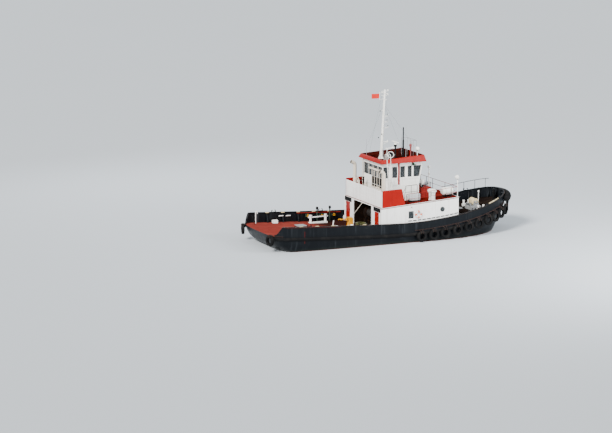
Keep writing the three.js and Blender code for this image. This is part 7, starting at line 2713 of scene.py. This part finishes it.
class TUG_OT_machinery(Operator):
    """Build the towing winch, windlass, bitts, towing post and hook, and the hatch lids"""
    bl_idname = "tug.machinery"
    bl_label = "Machinery"

    def execute(self, context):
        gear = context.scene.tug_gear
        self.winch(gear)
        self.windlass(gear)
        for side in BOTH_SIDES:
            self.bitts(side)
        self.tow_gear()
        self.hatch_lids()
        return {"FINISHED"}

    def winch(self, gear):
        """The towing winch: its frame with the gearbox and brake, and the drum full of wire."""
        x, z, half, flange, core, shaft, plate = -0.65, 2.25, 1.15, 0.76, 0.42, 0.09, 0.09
        shape, z0, outer = drum_frame(x, z, half, flange, shaft, plate, 1.15, 0.95)
        for y in (-0.75, 0.75):
            shape.add(block((x - 1.05, y - 0.06, z0 + 0.1), (x - 0.86, y + 0.06, z0 + 0.24)))
        shape.add(bar((x - 0.96, -outer, z0 + 0.2), (x - 0.96, outer, z0 + 0.2), 0.05))
        band = np.linspace(-2.5, 2.5, 60)
        strap = np.stack(
            [x + 0 * band - (flange + 0.035) * np.cos(band), 0 * band, z + (flange + 0.035) * np.sin(band)],
            -1,
        )
        y = 0.025 - half
        strap = strap + (0, y, 0)
        around = unit(strap - np.array([x, y, z]))
        section = [(0, -0.02), (0.012, -0.02), (0.012, 0.02), (0, 0.02)]
        shape.add(sweep(strap, around, np.array([0, 1.0, 0]), section), 1)
        # The winch's frame takes the brown that is darkened as painted shade for the bay.
        piece(
            "winch_frame_plating", shape, ("winch_brown", "rusty_steel"),
            replaces="winch_frame", bevel=0.005,
        )
        profile = drum_profile(half, flange, core, shaft, 0.02, 0.15)
        drum = Shape(lathe(profile, (x, 0, z), (0, 1, 0), 64))
        drum.add(
            lathe(wound(core - 0.01, gear.tow_wire, -half + 0.06, half - 0.06), (x, 0, z), (0, 1, 0), 56), 1,
        )
        for way in (-1, 1):
            for turn in np.arange(8) * np.pi / 4:
                lean = np.array([math.cos(turn), 0, math.sin(turn)])
                start = np.array([x, way * (half - 0.055), z])
                drum.add(bar(start + lean * 0.5, start + lean * 0.73, 0.012))
        # The drum takes the same brown, darkened as painted shade.
        piece("winch_drum_wound", drum, ("winch_brown", "wire"), "winch", "winch_drum")

    def windlass(self, gear):
        """The windlass on the foredeck: its frame with the gearbox and motor, and the drum of hawser."""
        x, half, flange, core, shaft, plate = 10.1, 0.42, 0.36, 0.21, 0.06, 0.06
        z = deck_at(x) + 0.62
        shape, z0, _ = drum_frame(x, z, half, flange, shaft, plate, 0.6, 0.5)
        shape.add(block((x - 0.56, -0.3, z0 + 0.1), (x - 0.4, 0.3, z0 + 0.34)), 1)
        shape.add(lathe(
            [(0, -0.2), (0.1, -0.2), (0.11, 0.12), (0.06, 0.2), (0, 0.2)], (x - 0.48, 0.44, z0 + 0.23),
            (0, 1, 0), 24,
        ), 1)
        piece(
            "windlass_frame_plating", shape, ("grey_paint", "galvanised"),
            replaces="windlass_frame", bevel=0.004,
        )
        profile = drum_profile(half, flange, core, shaft, 0.015, 0.12)
        drum = Shape(lathe(profile, (x, 0, z), (0, 1, 0), 48))
        drum.add(
            lathe(wound(core - 0.01, gear.hawser, -half + 0.055, half - 0.055, 8), (x, 0, z), (0, 1, 0), 48),
            1,
        )
        drum.add(lathe(
            wound(core + gear.hawser * 0.75, gear.hawser, -half + 0.09, half - 0.16, 8), (x, 0, z),
            (0, 1, 0), 48,
        ), 1)
        piece(
            "windlass_drum_wound", drum, ("buff_paint", "cream_hawser"), "windlass",
            "windlass_drum",
        )

    def bitts(self, side):
        """A pair of mooring posts with rounded heads, their cross bar and bed."""
        x, reach, r, bed, half = -5.4, 0.8, 0.115, 0.95, 0.18
        z0 = max(deck_at(x - bed), deck_at(x + bed)) + 0.01
        outline = np.concatenate([deck_line(x - bed, x + bed), [(x + bed, z0 + 0.07), (x - bed, z0 + 0.07)]])
        shape = Shape(on_side(prism(outline, "y", 3.05 - half, 3.05 + half), side))
        for dx in (-reach, reach):
            head = [
                (0, z0 + 0.02), (r + 0.03, z0 + 0.02), (r + 0.03, z0 + 0.075), (r, z0 + 0.1), (r, z0 + 0.7),
                (r + 0.035, z0 + 0.72), (r + 0.035, z0 + 0.76), (r, z0 + 0.78), (0, z0 + 0.785),
            ]
            shape.on(side, lathe(head, (x + dx, 3.05, 0), sides=36))
        rod = [
            (0, 0), (0.05, 0.002), (0.06, 0.015), (0.06, 2 * reach + 0.505), (0.05, 2 * reach + 0.518),
            (0, 2 * reach + 0.52),
        ]
        shape.on(side, lathe(rod, (x - reach - 0.26, 3.05, z0 + 0.56), (1, 0, 0), 24))
        name = SIDE_NAME[side]
        piece(
            f"bitts_{name}_posts", shape, "white_paint", replaces=f"bitts_{name}", bevel=0.004,
        )

    def tow_gear(self):
        """The towing post with its ears and pin, and the hook on the pin."""
        x, z, px = -3.6, 1.95, -3.73
        low = deck_at(x)
        bed = np.concatenate([deck_line(x - 0.5, x + 0.5), [(x + 0.5, low + 0.09), (x - 0.5, low + 0.09)]])
        shape = Shape(prism(bed, "y", -0.5, 0.5))
        column = [
            (x + 0.04, low + 0.06), (x + 0.44, low + 0.06), (x + 0.44, z + 0.06), (x + 0.36, z + 0.16),
            (x + 0.04, z + 0.16),
        ]
        shape.add(prism(column, "y", -0.26, 0.26))
        brace = [(x + 0.06, low + 0.08), (x + 0.4, low + 0.08), (x + 0.36, low + 0.5), (x + 0.1, low + 0.5)]
        for y, knee in (
            (-0.3, [(-0.26, low + 0.08), (-0.26, low + 0.55), (-0.46, low + 0.08)]),
            (0.3, [(0.26, low + 0.08), (0.46, low + 0.08), (0.26, low + 0.55)]),
        ):
            shape.add(prism(brace, "y", y * 1.5 - 0.012, y * 1.5 + 0.012))
            shape.add(prism(knee, "x", x + 0.2, x + 0.23))
        for a, b in ((0.055, 0.12), (-0.12, -0.055)):
            arc = np.linspace(np.pi / 2, 3 * np.pi / 2, 14)
            ear = [
                (x + 0.06, -0.12), (x + 0.06, 0.12),
                *[(px + 0.12 * math.cos(t), 0.12 * math.sin(t)) for t in arc],
            ]
            shape.add(prism(ear, "z", z + a, z + b))
        pin = [
            (0, -0.15), (0.085, -0.15), (0.085, -0.125), (0.0598, -0.12), (0.0598, 0.12), (0.085, 0.125),
            (0.085, 0.155), (0, 0.16),
        ]
        shape.add(lathe(pin, (px, 0, z), sides=32), 1)
        piece(
            "tow_post_plating", shape, ("yellow_paint", "bare_steel"), replaces="tow_post",
            bevel=0.006,
        )
        stay = Shape(
            bar((x + 0.34, 0, z + 0.15), (HOUSE_AFT_X + 0.02, 0, top_z(HOUSE_AFT_X) - 0.06), 0.022, sides=16)
        )
        stay.add(block((x + 0.24, -0.09, z + 0.08), (x + 0.4, 0.09, z + 0.2)))
        piece("tow_post_stay", stay, "buff_white", bevel=0.004)
        ring = [
            (0.0605, -0.046), (0.12, -0.046), (0.13, -0.036), (0.13, 0.036), (0.12, 0.046), (0.0605, 0.046),
        ]
        hook = Shape(lathe(ring, (px, 0, z), sides=40, closed=True))
        shank = [(px - 0.11, -0.055), (px - 0.62, -0.06), (px - 0.62, 0.06), (px - 0.11, 0.055)]
        hook.add(prism(shank, "z", z - 0.045, z + 0.045))
        corners = [
            (-0.62, -0.06), (-0.56, -0.06), (-0.56, 0.24), (-0.76, 0.24), (-0.88, 0.12), (-0.88, 0.06),
            (-0.78, 0.06), (-0.72, 0.13), (-0.66, 0.13), (-0.66, 0),
        ]
        claw = np.array(corners) + (px, 0)
        hook.add(prism(
            rounded(np.column_stack([claw, 0 * claw[:, 0]]), 0.02, 3, True)[:, :2], "z", z - 0.045, z + 0.045,
        ))
        piece("tow_hook_forging", hook, "yellow_paint", "hook", "tow_hook", bevel=0.006)

    def hatch_lids(self):
        """The two hatch lids with dished tops, hinges, dogs and handles."""
        for (x, half, high), name in zip(HATCHES, ("aft", "fore")):
            z = deck_at(x) + high + SEAT
            r = half + 0.03
            loop = lambda inset, up: np.column_stack([
                rounded([
                    (x - r + inset, -r + inset, 0), (x + r - inset, -r + inset, 0),
                    (x + r - inset, r - inset, 0), (x - r + inset, r - inset, 0),
                ], 0.05, 4, True)[:, :2],
                np.full(20, z + up),
            ])
            shape = Shape(rings(
                np.stack([
                    loop(0, 0), loop(0, 0.042), loop(0.008, 0.05), loop(0.05, 0.05),
                    loop(0.06, 0.044), loop(0.2, 0.05),
                ])
            ))
            grip = [
                (x + half - 0.105, -0.085, z + 0.045), (x + half - 0.105, -0.085, z + 0.085),
                (x + half - 0.105, 0.085, z + 0.085), (x + half - 0.105, 0.085, z + 0.045),
            ]
            shape.add(tube(rounded(grip, 0.02), 0.009, 8), 1)
            for y in (-half * 0.6, half * 0.6):
                shape.add(
                    bar((x - r + 0.005, y - 0.05, z + 0.03), (x - r + 0.005, y + 0.05, z + 0.03), 0.016), 1,
                )
                shape.add(block((x - r, y - 0.03, z + 0.045), (x - r + 0.16, y + 0.03, z + 0.055)), 1)
            for y in (-half * 0.75, half * 0.75):
                shape.add(lathe(
                    [(0, 0.045), (0.025, 0.045), (0.02, 0.07), (0, 0.072)], (x + half - 0.05, y, z), sides=16,
                ), 1)
            piece(
                f"hatch_{name}_cover", shape, ("grey_paint", "galvanised"), f"lid_{name}",
                f"hatch_lid_{name}",
            )


# Small fittings on the main deck

class TUG_OT_fittings(Operator):
    """Build the ventilators, posts, fore bitts and small gear on the main deck"""
    bl_idname = "tug.fittings"
    bl_label = "Deck fittings"

    def execute(self, context):
        white, dark, green = Shape(), Shape(), Shape()
        self.vents(green, dark)
        self.pipes(white)
        self.bow_post(dark)
        self.fore_bitts(white)
        self.jack_staff(white)
        self.quarter_gear(white, dark)
        self.valves(green)
        box_foot = deck_at(-9.7)
        white.add(block((-9.95, 3.5, box_foot - 0.01), (-9.45, 3.86, box_foot + 0.3)))
        piece("deck_white_fittings", white, "white_paint", bevel=0.004)
        piece("deck_dark_fittings", dark, "black_paint")
        piece("deck_valves", green, ("dark_green", "yellow_paint", "faded_red"), bevel=0.004)
        self.rail_gear()
        self.hull_lines()
        self.bow_rail()
        return {"FINISHED"}

    def vents(self, green, dark):
        """The two ventilators inside the port bulwark, with their caps."""
        for x, y, r, high in ((-5.21, 3.69, 0.06, 1.5), (-3.85, 3.69, 0.06, 1.56)):
            z = deck_at(x)
            green.add(lathe(
                [
                    (0, z - 0.02), (0.11, z - 0.02), (0.11, z + 0.02), (r, z + 0.03),
                    (r, z + high - 0.24), (0, z + high - 0.24),
                ],
                (x, y, 0), sides=24,
            ))
            cap = [
                (0, z + high - 0.26), (0.1, z + high - 0.26), (0.125, z + high - 0.24),
                (0.125, z + high - 0.06), (0.1, z + high - 0.01), (0.05, z + high + 0.01),
                (0, z + high + 0.012),
            ]
            dark.add(lathe(cap, (x, y, 0), sides=32))

    def pipes(self, white):
        """A swan neck on the port quarter and the slanted pipe on the after deck."""
        x, y = -11.7, 3.76
        z = deck_at(x)
        neck = rounded([
            (x, y, z - 0.02), (x, y, z + 1.13), (x + 0.16, y - 0.02, z + 1.13),
            (x + 0.16, y - 0.02, z + 0.95),
        ], 0.07, 6)
        white.add(tube(neck, 0.045, 20))
        x, y = -6.45, -2.5
        z = deck_at(x)
        white.add(tube([(x, y, z - 0.02), (x + 0.17, y, z + 1.15)], 0.055, 24))
        white.add(ball((x + 0.17, y, z + 1.15), 0.06))

    def bow_post(self, dark):
        """The post in the bow with its cross bar."""
        z = deck_at(12.35)
        post = [
            (0, z - 0.02), (0.17, z - 0.02), (0.17, z + 0.03), (0.11, z + 0.05), (0.11, z + 1.06),
            (0.14, z + 1.08), (0.14, z + 1.12), (0.11, z + 1.15), (0, z + 1.155),
        ]
        dark.add(lathe(post, (12.35, 0, 0), sides=36))
        dark.add(bar((12.35, -0.3, z + 0.8), (12.35, 0.3, z + 0.8), 0.045))

    def fore_bitts(self, white):
        """A pair of short posts on a bed on each side of the windlass."""
        for side in BOTH_SIDES:
            x, y, bed, half = 10.1, 1.55, 0.42, 0.13
            top = deck_at(x + bed) + 0.06
            white.on(side, block((x - bed, y - half, deck_at(x - bed) - 0.02), (x + bed, y + half, top)))
            for dx in (-0.28, 0.28):
                head = deck_at(x) + 0.52
                profile = [
                    (0, top - 0.01), (0.11, top - 0.01), (0.09, top + 0.03), (0.09, head - 0.06),
                    (0.115, head - 0.045), (0.115, head - 0.015), (0.09, head), (0, head + 0.004),
                ]
                white.on(side, lathe(profile, (x + dx, y, 0), sides=32))

    def jack_staff(self, white):
        """The short staff ahead of the windlass, with a round head."""
        white.add(lathe(
            [(0, 0), (0.035, 0), (0.03, 1.3), (0.02, 1.5), (0, 1.5)], (10.64, 0, deck_at(10.64) - 0.02),
            sides=16,
        ))
        white.add(lathe(
            [(0, 1.42), (0.07, 1.44), (0.075, 1.52), (0.05, 1.58), (0, 1.6)],
            (10.64, 0, deck_at(10.64) - 0.02), sides=20,
        ))

    def quarter_gear(self, white, dark):
        """A leaning bar on the port quarter and two cleats inside the port bulwark."""
        dark.add(bar((-12.14, 3.0, deck_at(-12.14) - 0.02), (-12.05, 3.86, 2.3), 0.022))
        for x in (-8.88, -8.12):
            z, y = deck_at(x) + 0.62, float(np.interp(x, EDGE_X, EDGE_Y)) - 0.08
            white.add(bar((x - 0.24, y - 0.12, z), (x + 0.24, y - 0.12, z), 0.045, sides=16))
            for dx in (-0.1, 0.1):
                white.add(bar((x + dx, y + 0.02, z), (x + dx, y - 0.12, z), 0.035, sides=16))

    def valves(self, green):
        """Valve chests with hand wheels inside the port bulwark, and the pipe along it."""
        for x, low, wide, high in ((-6.1, 0.45, 0.16, 0.3), (-4.6, 0.4, 0.2, 0.36), (-3.3, 0.5, 0.14, 0.26)):
            z, y = deck_at(x), HALF_BEAM - 0.14
            green.add(block((x - wide, y - 0.24, z + low), (x + wide, y + 0.06, z + low + high)))
            centre = (x, y - 0.3, z + low + high / 2)
            green.add(bar((x, y - 0.2, centre[2]), centre, 0.02))
            green.add(ring_of(centre, (0, 1, 0), 0.11, 0.018, 28, 8), 1)
            for a in turns(3):
                green.add(bar(
                    centre, (x + 0.11 * math.cos(a), centre[1], centre[2] + 0.11 * math.sin(a)), 0.011,
                    sides=8,
                ), 1)
        run = np.linspace(-7.2, -2.5, 24)
        line = np.stack([run, HALF_BEAM - 0.2 + 0 * run, deck_z(run) + 0.86], -1)
        green.add(tube(line, 0.045, 12), 2)
        for x in run[1::5]:
            green.add(block(
                (x - 0.03, HALF_BEAM - 0.26, deck_at(x) + 0.79),
                (x + 0.03, HALF_BEAM - 0.09, deck_at(x) + 0.82),
            ), 2)

    def hull_lines(self):
        """A thin red line under the after rail on both sides, and an upright red mark on each quarter."""
        red = Shape()
        points, out = edge_path(-12.0, -6.3)
        high = (rail_height(points[:, 0], True) - 0.075)[:, None, None]
        section = np.array([(-0.01, -0.022), (0.022, -0.022), (0.026, 0), (0.022, 0.022), (-0.01, 0.022)])
        red.both(sweep(points, out, (0, 0, 1), section + np.concatenate([0 * high, high], -1)))
        red.both(block((-10.11, HALF_BEAM - 0.02, 0.8), (-10.05, HALF_BEAM + 0.012, 1.95)))
        piece("hull_red_lines", red, "dull_red")

    def bow_rail(self):
        """An open rail that stands on the port bulwark at the bow, as the photo shows it."""
        points, out = bow_path(8.6)
        port = points[:, 1] > 1.6
        points, out = points[port], out[port]
        inner = points - out * 0.06
        run = run_along(inner)
        top = np.column_stack([inner[:, :2], rail_z(inner[:, 0]) + 0.86])
        rail = Shape(tube(top, 0.026, 12))
        for at in np.arange(0.05, run[-1], 1.12):
            x, y = np.interp(at, run, inner[:, 0]), np.interp(at, run, inner[:, 1])
            foot = rail_at(x)
            rail.add(lathe(
                [
                    (0, foot - 0.01), (0.06, foot - 0.01), (0.06, foot + 0.012), (0.024, foot + 0.02),
                    (0.024, foot + 0.86), (0, foot + 0.86),
                ],
                (x, y, 0), sides=14,
            ))
        piece("bow_port_rail", rail, "black_paint")

    def rail_gear(self):
        """The hawser's chafing sleeve on the starboard bow rail, and the fairleads on both rails."""
        points, out = bow_path(FORE_BULKHEAD_X + 0.1, -1)
        starboard = points[:, 1] < -0.3
        points, out = points[starboard], out[starboard]
        order = np.argsort(points[:, 0])
        points, out = points[order], out[order]
        chosen = (points[:, 0] > 9.9) & (points[:, 0] < 11.3)
        line = points[chosen].copy()
        line[:, 2] = rail_z(line[:, 0]) + 0.05
        line[:, :2] -= out[chosen][:, :2] * 0.06
        piece("chafing_sleeve", Shape(tube(line, 0.055, 14)), "cream_hawser")
        leads = Shape()
        for x in (-9.6, -4.6, 8.0, 10.9):
            point, normal = edge_path(x, x + 0.1)
            p, n = point[0], normal[0]
            z = rail_at(x) + 0.01
            along = np.cross((0, 0, 1), n)
            centre = np.array([p[0], p[1], z]) - n * 0.06
            for way in (-1, 1):
                foot = centre + along * way * 0.22
                horn = rounded([foot, foot + (0, 0, 0.16), foot + (0, 0, 0.16) - along * way * 0.13], 0.06, 5)
                leads.both(tube(horn, 0.035, 14))
            leads.both(bar(centre - along * 0.26, centre + along * 0.26, 0.03))
        piece("rail_fairleads", leads, "black_paint")


class TUG_PT_sidebar(Panel):
    """Sizes and colours of the boat, with a button for each group of pieces"""
    bl_idname = "TUG_PT_sidebar"
    bl_label = "Harbour tug"
    bl_space_type = "VIEW_3D"
    bl_region_type = "UI"
    bl_category = "Tug"

    def draw(self, context):
        for name, group in SETTINGS.items():
            box = self.layout.box()
            for key in group.__annotations__:
                box.prop(getattr(context.scene, name), key)
        for operator in OPERATORS:
            self.layout.operator(operator.bl_idname)


OPERATORS = (
    TUG_OT_stage, TUG_OT_rope, TUG_OT_hull, TUG_OT_bulwarks, TUG_OT_fenders, TUG_OT_running_gear,
    TUG_OT_house, TUG_OT_wheelhouse, TUG_OT_roof, TUG_OT_mast, TUG_OT_boat_deck, TUG_OT_machinery,
    TUG_OT_fittings,
)
CLASSES = (*SETTINGS.values(), *OPERATORS, TUG_PT_sidebar)


def register():
    """Adds the classes and their settings to Blender."""
    for added in CLASSES:
        bpy.utils.register_class(added)
    for name, group in SETTINGS.items():
        setattr(bpy.types.Scene, name, PointerProperty(type=group))


def unregister():
    """Takes them out again."""
    for name in SETTINGS:
        delattr(bpy.types.Scene, name)
    for added in reversed(CLASSES):
        bpy.utils.unregister_class(added)


def main():
    """Builds the whole boat on its frame."""
    register()
    for group in GROUPS:
        group()
    for operator in OPERATORS:
        area, _, step = operator.bl_idname.partition(".")
        getattr(getattr(bpy.ops, area), step)()


if __name__ == "__main__":
    main()
